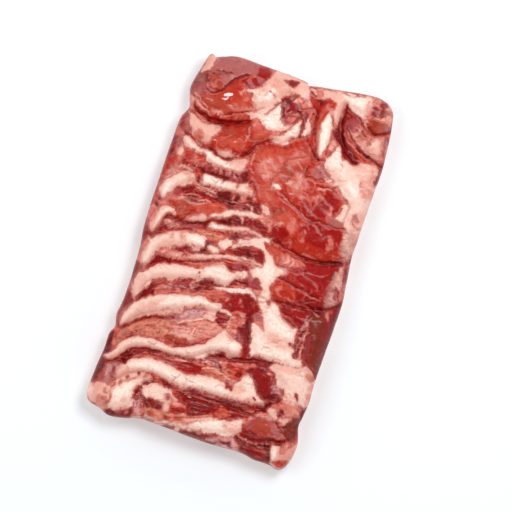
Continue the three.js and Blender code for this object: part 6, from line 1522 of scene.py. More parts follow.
def plane_noise(xy, size, seed, octaves=2):
    """Smooth unevenness over places in a plane, about -1 to 1, with lumps of the given size."""
    total = np.zeros(len(xy))
    for octave in range(octaves):
        table = np.random.default_rng(seed + octave).uniform(-1, 1, (NOISE_TABLE, NOISE_TABLE))
        place = xy * 2 ** octave / size
        cell = np.floor(place).astype(int)
        t = smooth_step(place - cell)
        i, j = (cell % NOISE_TABLE).T
        k, l = ((cell + 1) % NOISE_TABLE).T
        near = table[i, j] + t[:, 0] * (table[k, j] - table[i, j])
        far = table[i, l] + t[:, 0] * (table[k, l] - table[i, l])
        total += (near + t[:, 1] * (far - near)) / 1.7 ** octave
    return total


def streaks(xy, angle, long, short, seed):
    """Unevenness drawn out along a direction, as fibres are."""
    along = xy[:, 0] * math.cos(angle) + xy[:, 1] * math.sin(angle)
    across = xy[:, 1] * math.cos(angle) - xy[:, 0] * math.sin(angle)
    return plane_noise(np.stack([along / long, across / short], 1), 1, seed)


def relief(xy):
    """How far the folds, strips and muscles stand above the plain upper face."""
    height = np.zeros(len(xy))
    for rise, rim, numbers in SWELLS:
        outline = smooth_line(in_pairs(numbers, 2), True)
        at = near_box(xy, outline, 0)
        at = at[is_inside(xy[at], outline)]
        gap, half = distance_to_line(xy[at], outline, True)
        height[at] += rise * smooth_step(gap / rim)
    for rise, numbers in FAT_STRIPS:
        line = smooth_line(in_pairs(numbers, 3), False)
        at = near_box(xy, line, 16)
        gap, half = distance_to_line(xy[at], line, False)
        share = np.minimum(gap / (half + 1), 1)
        height[at] += rise * (1 - share ** 2) ** 0.7
    for depth, numbers in FOLDS:
        line = smooth_line(in_pairs(numbers, 3), False)
        at = near_box(xy, line, 12)
        gap, half = distance_to_line(xy[at], line, False)
        share = np.minimum(gap / (half + FOLD_SHOULDER), 1)
        height[at] -= depth * (1 - share) ** 2 * np.minimum(half / 2.5, 1)
    return height


def calm_of(xy):
    """How far inside the broad smooth muscles a place lies, from 0 to 1."""
    calm = np.zeros(len(xy))
    for rise, rim, numbers in SWELLS[:CALM_SWELLS]:
        outline = smooth_line(in_pairs(numbers, 2), True)
        at = near_box(xy, outline, 0)
        at = at[is_inside(xy[at], outline)]
        gap, half = distance_to_line(xy[at], outline, True)
        calm[at] = np.maximum(calm[at], smooth_step(gap / 6))
    return calm


def lie_of(xy):
    """How steeply the relief climbs towards the far end, and how far a place lies below those round it."""
    far, near, left, right = (relief(xy + step) for step in ((0, FEEL), (0, -FEEL), (-FEEL, 0), (FEEL, 0)))
    return (far - near) / (2 * FEEL), (far + near + left + right) / 4 - relief(xy)


def along_arches(xy):
    """Places counted along and across the arches that the rib strips and the films between them follow."""
    x, y = xy.T
    bend = np.maximum(ARCH_START - x, 0)
    return np.stack([x, y + ARCH_FALL * bend ** 2 - ARCH_RISE * x], 1)


def plain_height(xy):
    """The plain upper face: a low crown that falls off towards the edges, with a slow unevenness."""
    x, y = xy[:, 0], xy[:, 1]
    across = (2 * x - LEFT - RIGHT) / (RIGHT - LEFT)
    along = (2 * y - NEAR - FAR) / (FAR - NEAR)
    fall = EDGE_DROP * np.minimum(across ** 4 + along ** 4, 1.5) * 0.6
    return UPPER_HEIGHT - fall + 0.8 * np.sin(x / 31 + y / 47) + 0.8 * np.sin(y / 38 - x / 53)


def outline_places():
    """Even places round the outline, one for each cell of the middle's rim, from the far left corner."""
    corners = [in_pairs(OUTLINE[side], 2) for side in ("far", "right", "near", "left")]
    counts = [CELLS_ACROSS, CELLS_ALONG, CELLS_ACROSS, CELLS_ALONG]
    smooth = smooth_line(np.vstack(corners), True)
    smooth = np.vstack([smooth, smooth[:1]])
    places = []
    start = 0
    for corner, count in zip(corners, counts):
        side = smooth[start:start + len(corner) * LINE_STEPS + 1]
        start += len(corner) * LINE_STEPS
        reach = np.concatenate([[0], np.cumsum(np.hypot(*np.diff(side, axis=0).T))])
        wanted = reach[-1] * np.arange(count) / count
        places.append(np.stack([np.interp(wanted, reach, side[:, k]) for k in (0, 1)], axis=1))
    return np.vstack(places)


def section_rows():
    """Rows outside the middle: shares of the way out, of the height above the wall and of the wall."""
    rows = []
    for i in range(1, SHOULDER_ROWS + 1):
        turn = math.pi / 2 * i / SHOULDER_ROWS
        outward = math.sin(turn) ** (2 / SHOULDER_POWER)
        upward = max(math.cos(turn), 0) ** (2 / SHOULDER_POWER)
        rows.append((outward, upward, 1))
    for i in range(1, LOWER_ROWS + 1):
        turn = math.pi / 2 * i / LOWER_ROWS
        rows.append((1 - UNDERCUT * (1 - math.cos(turn)), 0, 1 - math.sin(turn)))
    lowest = rows[-1][0]
    for i in range(1, UNDERSIDE_ROWS + 1):
        rows.append((lowest * (1 - 0.8 * i / UNDERSIDE_ROWS), 0, 0))
    return rows


def tub_of_cells():
    """A grid with its rim drawn down row after row and closed below, still in counts of cells."""
    bpy.ops.object.select_all(action="DESELECT")
    bpy.ops.mesh.primitive_grid_add(x_subdivisions=CELLS_ACROSS, y_subdivisions=CELLS_ALONG, size=2)
    slab = bpy.context.object
    slab.scale = (CELLS_ACROSS / 2, CELLS_ALONG / 2, 1)
    bpy.ops.object.transform_apply(location=False, rotation=False, scale=True)
    bpy.ops.object.mode_set(mode="EDIT")
    bpy.ops.mesh.select_mode(type="EDGE")
    bpy.ops.mesh.select_all(action="DESELECT")
    bpy.ops.mesh.select_non_manifold()
    for row in section_rows():
        bpy.ops.mesh.extrude_edges_move(TRANSFORM_OT_translate={"value": (0, 0, -1)})
    bpy.ops.mesh.edge_face_add()
    bpy.ops.mesh.select_all(action="SELECT")
    bpy.ops.mesh.normals_make_consistent(inside=False)
    bpy.ops.object.mode_set(mode="OBJECT")
    return slab


def places_of(slab):
    """For each vertex of the tub: its cell across and along, and its row below the rim."""
    cells = np.zeros(len(slab.data.vertices) * 3)
    slab.data.vertices.foreach_get("co", cells)
    cells = cells.reshape(-1, 3)
    across = np.rint(cells[:, 0] + CELLS_ACROSS / 2).astype(int)
    along = np.rint(cells[:, 1] + CELLS_ALONG / 2).astype(int)
    row = np.rint(-cells[:, 2]).astype(int)
    return across, along, row


def rim_order(across, along):
    """Where on the rim a cell's corner stands, counted clockwise from the far left corner."""
    order = np.zeros(len(across), int)
    far, right, near = along == CELLS_ALONG, across == CELLS_ACROSS, along == 0
    left = across == 0
    order[left] = 2 * CELLS_ACROSS + CELLS_ALONG + along[left]
    order[near] = 2 * CELLS_ACROSS + CELLS_ALONG - across[near]
    order[right] = CELLS_ACROSS + CELLS_ALONG - along[right]
    order[far] = across[far]
    return order % (2 * (CELLS_ACROSS + CELLS_ALONG))


def shape_of(slab):
    """Places of all vertices in the lists' millimetres, before the fine relief."""
    across, along, row = places_of(slab)
    inner_x = LEFT + (RIGHT - LEFT) * across / CELLS_ACROSS
    inner_y = NEAR + (FAR - NEAR) * along / CELLS_ALONG
    inner = np.stack([inner_x, inner_y], 1)
    order = rim_order(across, along)
    out, up, wall = np.array([(0, 1, 1)] + section_rows()).T[:, row]
    places = outline_places()
    xy = inner + out[:, None] * (places[order] - inner)
    reach = np.concatenate([[0], np.cumsum(np.hypot(*np.diff(places, axis=0).T))])
    outward = places[order] - inner
    outward /= np.maximum(np.hypot(*outward.T), 1e-6)[:, None]
    return {"xy": xy, "row": row, "up": up, "wall": wall, "round": reach[order], "outward": outward,
            "reach": reach[-1]}


def values_of(tint):
    for tints in (FAT_TINTS, FILM_TINTS):
        if tint in tints:
            return tints[tint]
    return LEAN_TINTS[tint]


def pigment(colour):
    """The surface colour that looks like the given screen colour under the studio's light."""
    share = np.array(colour[:3]) / 255
    linear = np.where(share <= 0.04045, share / 12.92, ((share + 0.055) / 1.055) ** 2.4)
    return np.maximum((linear - HAZE) / LIGHT_LEVEL, LEAST_PIGMENT)


class Paint:
    """Fat and lean side by side on every vertex, and the ramp that says which of them shows."""

    def __init__(self, xy, feather, grain):
        self.xy = xy + WANDER * np.stack([plane_noise(xy, 6, 1, 3), plane_noise(xy, 6, 4, 3)], 1)
        self.feather = feather
        self.grain = GRAIN * (plane_noise(xy, GRAIN_SIZE, 31) + 0.5 * grain)
        count = len(xy)
        self.lean = np.tile(pigment(LEAN_TINTS["red"]), (count, 1))
        for tint, seed in GROUND_TINTS:
            share = smooth_step(plane_noise(xy, 7, seed, 3) * 1.6 + 0.1)[:, None]
            self.lean += 0.8 * share * (pigment(values_of(tint)) - self.lean)
        self.fat = np.tile(pigment(FAT_TINTS["cream"]), (count, 1))
        self.ramp = np.zeros(count)
        self.level = np.full(count, LEAN_TINTS["red"][3], float)
        self.crease = np.zeros(count)
        self.painted_highlight = np.zeros(count)
        self.blood = np.zeros(count)

    def patch(self, tint, soft, numbers):
        outline = smooth_line(in_pairs(numbers, 2), True)
        at = near_box(self.xy, outline, 6)
        gap, half = distance_to_line(self.xy[at], outline, True)
        gap = np.where(is_inside(self.xy[at], outline), gap, -gap)
        self.lay(at, gap, soft, tint)

    def lay(self, at, gap, soft, tint):
        """Lays a tint where the gap to its rim is above zero, over what is there."""
        is_fat = tint in FAT_TINTS
        values = values_of(tint)
        gap = gap + self.feather[at] * (0.8 + 0.5 * soft)
        share = smooth_step(0.5 + gap / (1.6 + 1.3 * soft))
        share *= np.clip((FILM_BODY if tint in FILM_TINTS else PATCH_BODY) + self.grain[at], 0, 1)
        if tint in FILM_TINTS:
            self.level[at] += share * (values[3] - self.level[at])
            self.tint_both(at, share, values)
            return
        ramp = np.clip(0.5 + gap / 8, 0, 1)
        other = 1 - self.ramp[at] if is_fat else self.ramp[at]
        spread = np.maximum(share, smooth_step(other * 2 - 0.6) * np.clip(1 + gap / 4, 0, 1))
        layer = self.fat if is_fat else self.lean
        layer[at] += spread[:, None] * (pigment(values) - layer[at])
        self.level[at] += share * (values[3] - self.level[at])
        if is_fat:
            self.ramp[at] = np.maximum(self.ramp[at], ramp)
        else:
            self.ramp[at] = np.minimum(self.ramp[at], 1 - ramp)
        if tint in BLOODY_TINTS:
            self.blood[at] = np.maximum(self.blood[at], ramp)
        else:
            self.blood[at] = np.minimum(self.blood[at], 1 - ramp)

    def thread(self, tint, strength, numbers):
        line = smooth_line(in_pairs(numbers, 3), False)
        at = near_box(self.xy, line, 4)
        gap, half = distance_to_line(self.xy[at], line, False)
        share = strength * smooth_step(1.3 - gap / (half + 0.7))
        self.tint_both(at, share, values_of(tint))

    def tint_both(self, at, share, values):
        for layer in (self.lean, self.fat):
            layer[at] += share[:, None] * (pigment(values) - layer[at])

    def stroke(self, target, strength, numbers):
        """Marks a line by a ramp that passes one half where the line's own edge is."""
        line = smooth_line(in_pairs(numbers, 3), False)
        at = near_box(self.xy, line, CREASE_REACH)
        gap, half = distance_to_line(self.xy[at], line, False)
        nearness = np.clip(0.5 + (0.75 * half * strength - gap) / CREASE_REACH, 0, 1)
        target[at] = np.maximum(target[at], nearness)


def paint_upper_face(paint):
    for patches in (FAR_END, MIDDLE_FAR, MIDDLE_NEAR, NEAR_END, FINER_PATCHES):
        for tint, soft, numbers in patches:
            paint.patch(tint, soft, numbers)
    for tint, strength, numbers in THREADS:
        paint.thread(tint, strength, numbers)
    strew_threads(paint)
    fringe_threads(paint)
    for strength, numbers in CREASES:
        # Beside each crease, offset towards the lower left, a pale line: a painted highlight on the crease's
        # bright edge
        lit_edge_highlight = np.array(numbers, float).reshape(-1, 3) + (-1.1, -1.5, 0)
        paint.thread("rosefat", 0.35 * strength, lit_edge_highlight * (1, 1, 0.6))
        paint.stroke(paint.crease, strength, numbers)
    # Painted highlights: the small glints, marked on a ramp of their own
    for numbers in PAINTED_HIGHLIGHTS:
        paint.stroke(paint.painted_highlight, 1, numbers)


def strew_threads(paint):
    """Short threads of sinew, fat and blood, strewn along the grain of the meat."""
    draw = np.random.default_rng(THREAD_SEED)
    for tint, strength, count in STREWN:
        for i in range(count):
            x, y = draw.uniform((LEFT, NEAR), (RIGHT, FAR))
            angle = draw.normal(-0.7 if x > 0 and y > -30 else 0.1, 0.6)
            length = draw.uniform(3, 12)
            step = np.array([math.cos(angle), math.sin(angle)]) * length / 2
            bend = np.array([-step[1], step[0]]) * draw.normal(0, 0.35)
            half = draw.uniform(0.3, 0.8)
            middle = np.array([x, y])
            line = [(*(middle - step), 0.1), (*(middle + bend), half), (*(middle + step), 0.1)]
            paint.thread(tint, strength * draw.uniform(0.4, 1), line)


def fringe_threads(paint):
    draw = np.random.default_rng(FRINGE_SEED)
    for tint, strength, count, start, end, run in FRINGES:
        for share in (np.arange(count) + draw.uniform(-0.3, 0.3, count)) / max(count - 1, 1):
            x = start[0] + share * (end[0] - start[0])
            y = start[1] + share * (end[1] - start[1]) + draw.normal(0, 0.8)
            long = draw.uniform(0.5, 1.2)
            half = draw.uniform(0.4, 0.8)
            middle = (x + 0.5 * long * run[0] + draw.normal(0, 0.4), y + 0.5 * long * run[1], 0.8 * half)
            line = [(x, y, half), middle, (x + long * run[0], y + long * run[1], 0.2)]
            paint.thread(tint, strength * draw.uniform(0.5, 1), line)


def crisper(colours, across, along, row):
    """Draws each place of the upper face further from its neighbours, so that fine marks stay clear."""
    upper = np.nonzero(row == 0)[0]
    cells = np.zeros((CELLS_ACROSS + 1, CELLS_ALONG + 1, 3))
    cells[across[upper], along[upper]] = colours[upper]
    wide = np.pad(cells, ((1, 1), (1, 1), (0, 0)), "edge")
    near = sum(wide[i:i + CELLS_ACROSS + 1, j:j + CELLS_ALONG + 1] for i in range(3) for j in range(3)) / 9
    cells = np.clip(cells + CRISPNESS * (cells - near), LEAST_PIGMENT, 1)
    colours[upper] = cells[across[upper], along[upper]]


def weather_and_shade(paint, xy, climb, hollow, over_muscle):
    """Streaks along the arches, painted shade in the hollows and at the outermost rim, pink beside the fat,
    pale rims partly painted light, and painted shade on the fat's near-facing slopes.
    """
    arches = along_arches(xy)
    among_ribs = 1 - over_muscle
    some = np.clip(plane_noise(xy, 22, 55) + 0.35, 0, 1)
    pale = np.clip(streaks(arches, 0, 14, 1.9, 41) - 0.1, 0, 1) * among_ribs * some
    dark = np.clip(streaks(arches, 0, 9, 2.1, 45) + plane_noise(xy, 5, 47) - 0.3, 0, 1)
    dark = dark * (0.25 + 0.75 * among_ribs)
    # Painted shade in the hollows, darker and redder
    deep = smooth_step(hollow / 1.1) * np.clip(0.8 + 0.5 * plane_noise(xy, 4, 51), 0, 1)
    rosy = pigment(FILM_TINTS["rosefat"])
    paint.lean += 0.55 * pale[:, None] * (rosy - paint.lean)
    beside = smooth_step((paint.ramp - 0.02) / 0.4) * (0.35 + 0.65 * smooth_step(climb / 0.5))
    beside *= np.clip(0.75 + 0.5 * plane_noise(xy, 5, 63), 0, 1)
    paint.lean += 0.75 * beside[:, None] * (rosy - paint.lean)
    x, y = xy.T
    out = np.abs(x - 3)
    # A pale veil along the side edges: the film's own colour, and painted light that lifts the shoulders
    # turned from the lamps
    rim = smooth_step((out - 100) / 8) * smooth_step((117 - out) / 5)
    rim *= np.clip(0.5 + 0.7 * plane_noise(xy, 9, 61), 0, 1)
    rim *= np.where(x < 0, 1, smooth_step((y + 35) / 20))
    paint.lean += 0.45 * rim[:, None] * (pigment(FILM_TINTS["veil"]) - paint.lean)
    # Painted shade, darker towards the outermost rim
    outermost = smooth_step((out - 109) / 9) * np.clip(0.8 + 0.6 * plane_noise(xy, 6, 67), 0, 1)
    paint.lean *= 1 - np.outer(outermost, RIM_SHADE_LEAN_LOSS)
    paint.fat *= 1 - np.outer(outermost, RIM_SHADE_FAT_LOSS)
    paint.lean *= (1 - np.outer(dark, STREAK_LOSS)) * (1 - np.outer(deep, HOLLOW_SHADE_LEAN_LOSS))
    paint.fat *= 1 - np.outer(deep, HOLLOW_SHADE_FAT_LOSS)
    # Fat turns pinker on its near-facing slopes: painted shade on those slopes, with the pink of thin fat
    # over lean
    paint.fat += 0.4 * smooth_step(climb / 0.6)[:, None] * (rosy - paint.fat)


def layered_wall(shape, height):
    """The cut sides: layers of fat and lean that wave and thin out, over the fat of the underside."""
    places = np.stack([shape["round"], height], 1)
    layered = streaks(places, 0, 9, 1.6, 21)
    walls = Paint(places, 0.6 * layered, layered)
    s = shape["round"] * 2 * math.pi / shape["reach"]
    everywhere = np.arange(len(height))
    walls.lay(everywhere, np.full(len(height), 9.0), 1, "cream")
    for tint, middle, thick, waves in WALL_LAYERS:
        centre = middle + sum(rise * np.sin(turns * s + start) for turns, rise, start in waves)
        half = thick / 2 * (1 + 0.7 * np.sin(7 * s + middle) + 0.45 * np.sin(19 * s + 2 * middle))
        walls.lay(everywhere, half - np.abs(height - centre), 1.5, tint)
    return walls


def blend_paint(upper, walls, share):
    for name in ("lean", "fat"):
        layer = getattr(upper, name)
        layer += share[:, None] * (getattr(walls, name) - layer)
    for name in ("ramp", "level"):
        values = getattr(upper, name)
        values += share * (getattr(walls, name) - values)
    upper.crease *= 1 - share
    upper.painted_highlight *= 1 - share


def store_colour(mesh, name, colour, alpha):
    layer = mesh.color_attributes.new(name, "FLOAT_COLOR", "POINT")
    layer.data.foreach_set("color", np.hstack([colour, alpha[:, None]]).astype(np.float32).ravel())


def pork_belly_slab():
    slab = tub_of_cells()
    slab.name = "pork_belly"
    slab.data.name = "pork_belly"
    shape = shape_of(slab)
    up, wall = shape["up"], shape["wall"]
    centre = (shape["xy"].min(0) + shape["xy"].max(0)) / 2
    xy = (shape["xy"] - centre) * DRAWING_STRETCH + centre + DRAWING_SHIFT
    upper_height = np.where(up > 0, plain_height(xy) + relief(xy), UPPER_HEIGHT)
    turn = shape["round"] * 2 * math.pi / shape["reach"]
    wall_height = WALL_HEIGHT + WALL_SWAY * (np.sin(5 * turn + 0.7) + 0.6 * np.sin(13 * turn + 2))
    height = wall_height * wall + up * (upper_height - wall_height)

    calm = calm_of(xy)
    over_muscle = np.maximum(calm, smooth_step((xy[:, 0] - 5) / 25) * smooth_step((xy[:, 1] + 60) / 30))
    climb, hollow = lie_of(xy)
    torn = np.clip(0.35 + 1.7 * climb, 0.1, 1)
    comb = streaks(xy, 1.5, 6, 2.2, 11) * torn
    slant = streaks(xy, -0.6, 7, 2.2, 14) * 0.6
    paint = Paint(xy, comb + over_muscle * (slant - comb), streaks(along_arches(xy), 0, 8, 2, 35))
    paint_upper_face(paint)
    weather_and_shade(paint, xy, climb, hollow, over_muscle)
    for layer in (paint.lean, paint.fat):
        crisper(layer, *places_of(slab))
    walls = layered_wall(shape, height)
    share = smooth_step((WALL_PAINT_TOP - height) / WALL_PAINT_BLEND)
    blend_paint(paint, walls, share)

    # The fine relief only ever takes away, so the slab stays inside its solid
    fine = 0.6 * paint.level - CREASE_DEPTH * smooth_step((paint.crease - 0.1) / 0.5) - 0.4
    x, y = xy.T
    fine += 0.25 * np.sin(x / 3.7 + 2 * np.sin(y / 6.3)) * np.sin(y / 4.1 + np.sin(x / 7.9))
    place = np.column_stack([shape["xy"] - centre, height])
    place[:, 2] += np.where(up > 0, fine * np.minimum(up * 1.5, 1), 0)
    on_wall = (1 - up) * (shape["row"] > 0) * np.minimum(wall * 4, 1)
    inward = on_wall * (0.5 * np.sin(shape["round"] / 9 + height / 6) * np.sin(shape["round"] / 23)
                        - 1.2 * (walls.ramp - 0.5) * share)
    place[:, :2] -= shape["outward"] * np.maximum(inward, 0)[:, None]
    place = np.clip(place * MM, cad_box[0], cad_box[1])
    slab.data.vertices.foreach_set("co", place.ravel())
    slab.data.update()

    store_colour(slab.data, "lean_and_ramp", paint.lean, paint.ramp)
    # The crease ramp gives both the cut of the creases and their painted shade
    store_colour(slab.data, "fat_and_crease", paint.fat, paint.crease)
    # The film attribute carries the painted highlights in red, the raggedness in green, the blood in blue and
    # the calm in alpha
    store_colour(slab.data, "film", np.column_stack([paint.painted_highlight, torn, paint.blood]), calm)
    bpy.ops.object.select_all(action="DESELECT")
    slab.select_set(True)
    bpy.context.view_layer.objects.active = slab
    bpy.ops.object.shade_smooth()
    return slab


def new_group(name, inputs, outputs):
    """An empty shader node group with the given sockets, and its input and output nodes."""
    group = bpy.data.node_groups.new(name, "ShaderNodeTree")
    for socket, kind in inputs:
        group.interface.new_socket(name=socket, in_out="INPUT", socket_type=kind)
    for socket, kind in outputs:
        group.interface.new_socket(name=socket, in_out="OUTPUT", socket_type=kind)
    return group, group.nodes.new("NodeGroupInput"), group.nodes.new("NodeGroupOutput")


def noise(tree, vector, size_mm, detail=2, stretch=None):
    """A noise of lumps of the given size, 0 to 1, drawn out along an angle where a stretch is given."""
    node = tree.nodes.new("ShaderNodeTexNoise")
    node.inputs["Scale"].default_value = 1 / (size_mm * MM)
    node.inputs["Detail"].default_value = detail
    if stretch:
        turn = tree.nodes.new("ShaderNodeMapping")
        turn.vector_type = "TEXTURE"
        turn.inputs["Rotation"].default_value = (0, 0, stretch[0])
        turn.inputs["Scale"].default_value = (stretch[1], 1, 1)
        tree.links.new(vector, turn.inputs["Vector"])
        vector = turn.outputs["Vector"]
    tree.links.new(vector, node.inputs["Vector"])
    return node.outputs["Fac"]


def maths(tree, operation, *values, clamp=False):
    """A maths node on sockets or plain numbers."""
    node = tree.nodes.new("ShaderNodeMath")
    node.operation = operation
    node.use_clamp = clamp
    for socket, value in zip(node.inputs, values):
        if isinstance(value, bpy.types.NodeSocket):
            tree.links.new(value, socket)
        else:
            socket.default_value = value
    return node.outputs[0]


def ramp_between(tree, value, low, high, out_low=0.0, out_high=1.0, smooth=True):
    """Maps a value from one range to another, smoothly, and holds it at the ends."""
    node = tree.nodes.new("ShaderNodeMapRange")
    node.interpolation_type = "SMOOTHSTEP" if smooth else "LINEAR"
    tree.links.new(value, node.inputs["Value"])
    for name, number in (("From Min", low), ("From Max", high), ("To Min", out_low), ("To Max", out_high)):
        node.inputs[name].default_value = number
    return node.outputs["Result"]


def mix_colour(tree, share, a, b, blend="MIX"):
    node = tree.nodes.new("ShaderNodeMix")
    node.data_type = "RGBA"
    node.blend_type = blend
    for name, value in (("Factor", share), ("A", a), ("B", b)):
        socket = next(s for s in node.inputs if s.name == name and s.enabled)
        if isinstance(value, bpy.types.NodeSocket):
            tree.links.new(value, socket)
        elif name == "Factor":
            socket.default_value = value
        else:
            socket.default_value = (*value, 1)
    return next(s for s in node.outputs if s.enabled)


def mix_number(tree, share, a, b):
    node = tree.nodes.new("ShaderNodeMix")
    for socket, value in zip(node.inputs[:1] + node.inputs[2:4], (share, a, b)):
        tree.links.new(value, socket)
    return node.outputs[0]


def torn_edge_group():
    """Turns a soft ramp into a crisp mask with the torn edge that fat and creases have."""
    inputs = [("Vector", "NodeSocketVector"), ("Ramp", "NodeSocketFloat"), ("Raggedness", "NodeSocketFloat"),
              ("Middle", "NodeSocketFloat"), ("Softness", "NodeSocketFloat")]
    group, given, result = new_group("torn edge", inputs, [("Mask", "NodeSocketFloat")])
    coarse = noise(group, given.outputs["Vector"], 5, detail=3)
    fine = noise(group, given.outputs["Vector"], 1.2, detail=3, stretch=(1.5, 2.5))
    wander = maths(group, "SUBTRACT", maths(group, "ADD", coarse, fine), 1)
    moved = maths(group, "MULTIPLY_ADD", wander, given.outputs["Raggedness"], given.outputs["Ramp"])
    centred = maths(group, "SUBTRACT", moved, given.outputs["Middle"])
    share = maths(group, "DIVIDE", centred, given.outputs["Softness"])
    group.links.new(ramp_between(group, share, -1, 1), result.inputs["Mask"])
    return group


def placed_group(tree, group, values):
    node = tree.nodes.new("ShaderNodeGroup")
    node.node_tree = group
    for name, value in values.items():
        if isinstance(value, bpy.types.NodeSocket):
            tree.links.new(value, node.inputs[name])
        else:
            node.inputs[name].default_value = value
    return node.outputs[0]


def torn_mask(tree, group, place, ramp, ragged, middle, soft):
    return placed_group(tree, group, {"Vector": place, "Ramp": ramp, "Raggedness": ragged, "Middle": middle,
                                      "Softness": soft})


def veins(tree, place):
    """Thin wandering lines, where a noise crosses its middle."""
    gap = maths(tree, "ABSOLUTE", maths(tree, "SUBTRACT", noise(tree, place, 8, detail=4), 0.5))
    return ramp_between(tree, gap, 0, 0.02, 1, 0)


def share_of(tree, mask, amount):
    return maths(tree, "MULTIPLY", mask, amount)


def attribute(tree, name):
    node = tree.nodes.new("ShaderNodeAttribute")
    node.attribute_name = name
    return node.outputs["Color"], node.outputs["Alpha"]


def wet_pork_material():
    material = bpy.data.materials.new("wet pork")
    material.use_nodes = True
    tree = material.node_tree
    tree.nodes.clear()
    place = tree.nodes.new("ShaderNodeTexCoord").outputs["Object"]
    lean, ramp = attribute(tree, "lean_and_ramp")
    fat, crease_ramp = attribute(tree, "fat_and_crease")
    film, calm = attribute(tree, "film")
    channels = tree.nodes.new("ShaderNodeSeparateColor")
    tree.links.new(film, channels.inputs["Color"])
    # Painted highlights: the glints' ramp, made crisp
    painted_highlight = ramp_between(tree, channels.outputs["Red"], 0.45, 0.6)

    edge = torn_edge_group()
    blur = ramp_between(tree, noise(tree, place, 18, detail=2), 0.42, 0.62, 0.06, 0.22)
    ragged = ramp_between(tree, channels.outputs["Green"], 0.1, 1, 0.2, 0.6)
    fat_mask = torn_mask(tree, edge, place, ramp, ragged, 0.5, blur)
    pink_rim = torn_mask(tree, edge, place, ramp, 0.7, 0.34, 0.16)
    full_fat = torn_mask(tree, edge, place, ramp, 0.7, 0.72, 0.22)
    crease = torn_mask(tree, edge, place, crease_ramp, 0.2, 0.5, 0.06)
    crease_shade_spread = ramp_between(tree, crease_ramp, 0.1, 0.6)

    # Lean: slow blotches, fibres, a thin pale film, and a paler rim beside the fat
    rib_fibre = noise(tree, place, 1.3, detail=3, stretch=(0.15, 6))
    muscle_fibre = noise(tree, place, 1.3, detail=3, stretch=(-0.7, 5))
    blotch = noise(tree, place, 7, detail=4)
    rough = ramp_between(tree, calm, 0, 1, 1, 0.45)
    fibre = mix_number(tree, calm, rib_fibre, muscle_fibre)
    uneven = maths(tree, "ADD", ramp_between(tree, blotch, 0.3, 0.7, -0.14, 0.12),
                   ramp_between(tree, fibre, 0.3, 0.7, -0.17, 0.15))
    shade = maths(tree, "MULTIPLY_ADD", uneven, rough, 1)
    blood = torn_mask(tree, edge, place, channels.outputs["Blue"], 0.5, 0.5, 0.08)
    bloody = mix_colour(tree, 1.0, lean, BLOOD_SHADE, "MULTIPLY")
    lean = mix_colour(tree, 1.0, lean, BLOODLESS_SHADE, "MULTIPLY")
    lean = mix_colour(tree, blood, lean, bloody)
    fleck = ramp_between(tree, noise(tree, place, 2.2, detail=3), 0.6, 0.7)
    lean = mix_colour(tree, share_of(tree, share_of(tree, fleck, 0.14), rough), lean, FLECK_COLOUR)
    lean = mix_colour(tree, 1.0, lean, grey(tree, shade), "MULTIPLY")
    veil = ramp_between(tree, noise(tree, place, 6, detail=5, stretch=(0.25, 2.5)), 0.52, 0.7)
    filmed = mix_colour(tree, 1.0, lean, FILM_VEIL, "MULTIPLY")
    lean = mix_colour(tree, share_of(tree, share_of(tree, veil, 0.5), rough), lean, filmed)
    lean = mix_colour(tree, share_of(tree, pink_rim, 0.25), lean, PINK_RIM)

    # Fat: pink clouds, a pinker rim beside the lean, thin veins and specks of blood
    cloud = ramp_between(tree, noise(tree, place, 3.5, detail=5), 0.42, 0.68)
    speck = ramp_between(tree, noise(tree, place, 1.5, detail=2), 0.64, 0.76)
    fat = mix_colour(tree, share_of(tree, cloud, 0.28), fat, PINK_CLOUD)
    fat = mix_colour(tree, ramp_between(tree, full_fat, 0, 1, 0.5, 0), fat, PINK_CLOUD)
    fat = mix_colour(tree, share_of(tree, veins(tree, place), 0.08), fat, BLOOD_SPECK)
    fat = mix_colour(tree, share_of(tree, speck, 0.22), fat, BLOOD_SPECK)

    # Here and there painted shade darkens the lean in a thin line right beside the fat
    brink_shade = torn_mask(tree, edge, place, ramp, ragged, 0.39, 0.06)
    here = ramp_between(tree, noise(tree, place, 9, detail=2), 0.42, 0.58)
    brink_shade = maths(tree, "SUBTRACT", brink_shade, fat_mask, clamp=True)
    shaded = mix_colour(tree, 1.0, lean, CREASE_SHADE, "MULTIPLY")
    lean = mix_colour(tree, share_of(tree, share_of(tree, brink_shade, here), 0.6), lean, shaded)

    colour = mix_colour(tree, fat_mask, lean, fat)
    # Painted shade in the creases: a crisp dark line, and a softer darkening round it
    crease_shaded_colour = mix_colour(tree, 1.0, colour, CREASE_SHADE, "MULTIPLY")
    painted_crease_shade = maths(tree, "MAXIMUM", share_of(tree, crease, 0.95), share_of(tree, crease_shade_spread, 0.35))
    colour = mix_colour(tree, painted_crease_shade, colour, crease_shaded_colour)
    # Painted highlights laid over the colour in near white
    colour = mix_colour(tree, share_of(tree, painted_highlight, 0.8), colour, PAINTED_HIGHLIGHT_COLOUR)

    # Height for the bump, in metres: fat stands up, creases cut in
    raised = share_of(tree, fat_mask, 0.12 * MM)
    raised = maths(tree, "MULTIPLY_ADD", crease, -0.5 * MM, raised)
    raised = maths(tree, "MULTIPLY_ADD", fibre, 0.25 * MM, raised)
    raised = maths(tree, "MULTIPLY_ADD", noise(tree, place, 3.5, detail=4), 0.6 * MM, raised)
    bump = tree.nodes.new("ShaderNodeBump")
    bump.inputs["Strength"].default_value = 0.9
    bump.inputs["Distance"].default_value = 1
    tree.links.new(raised, bump.inputs["Height"])

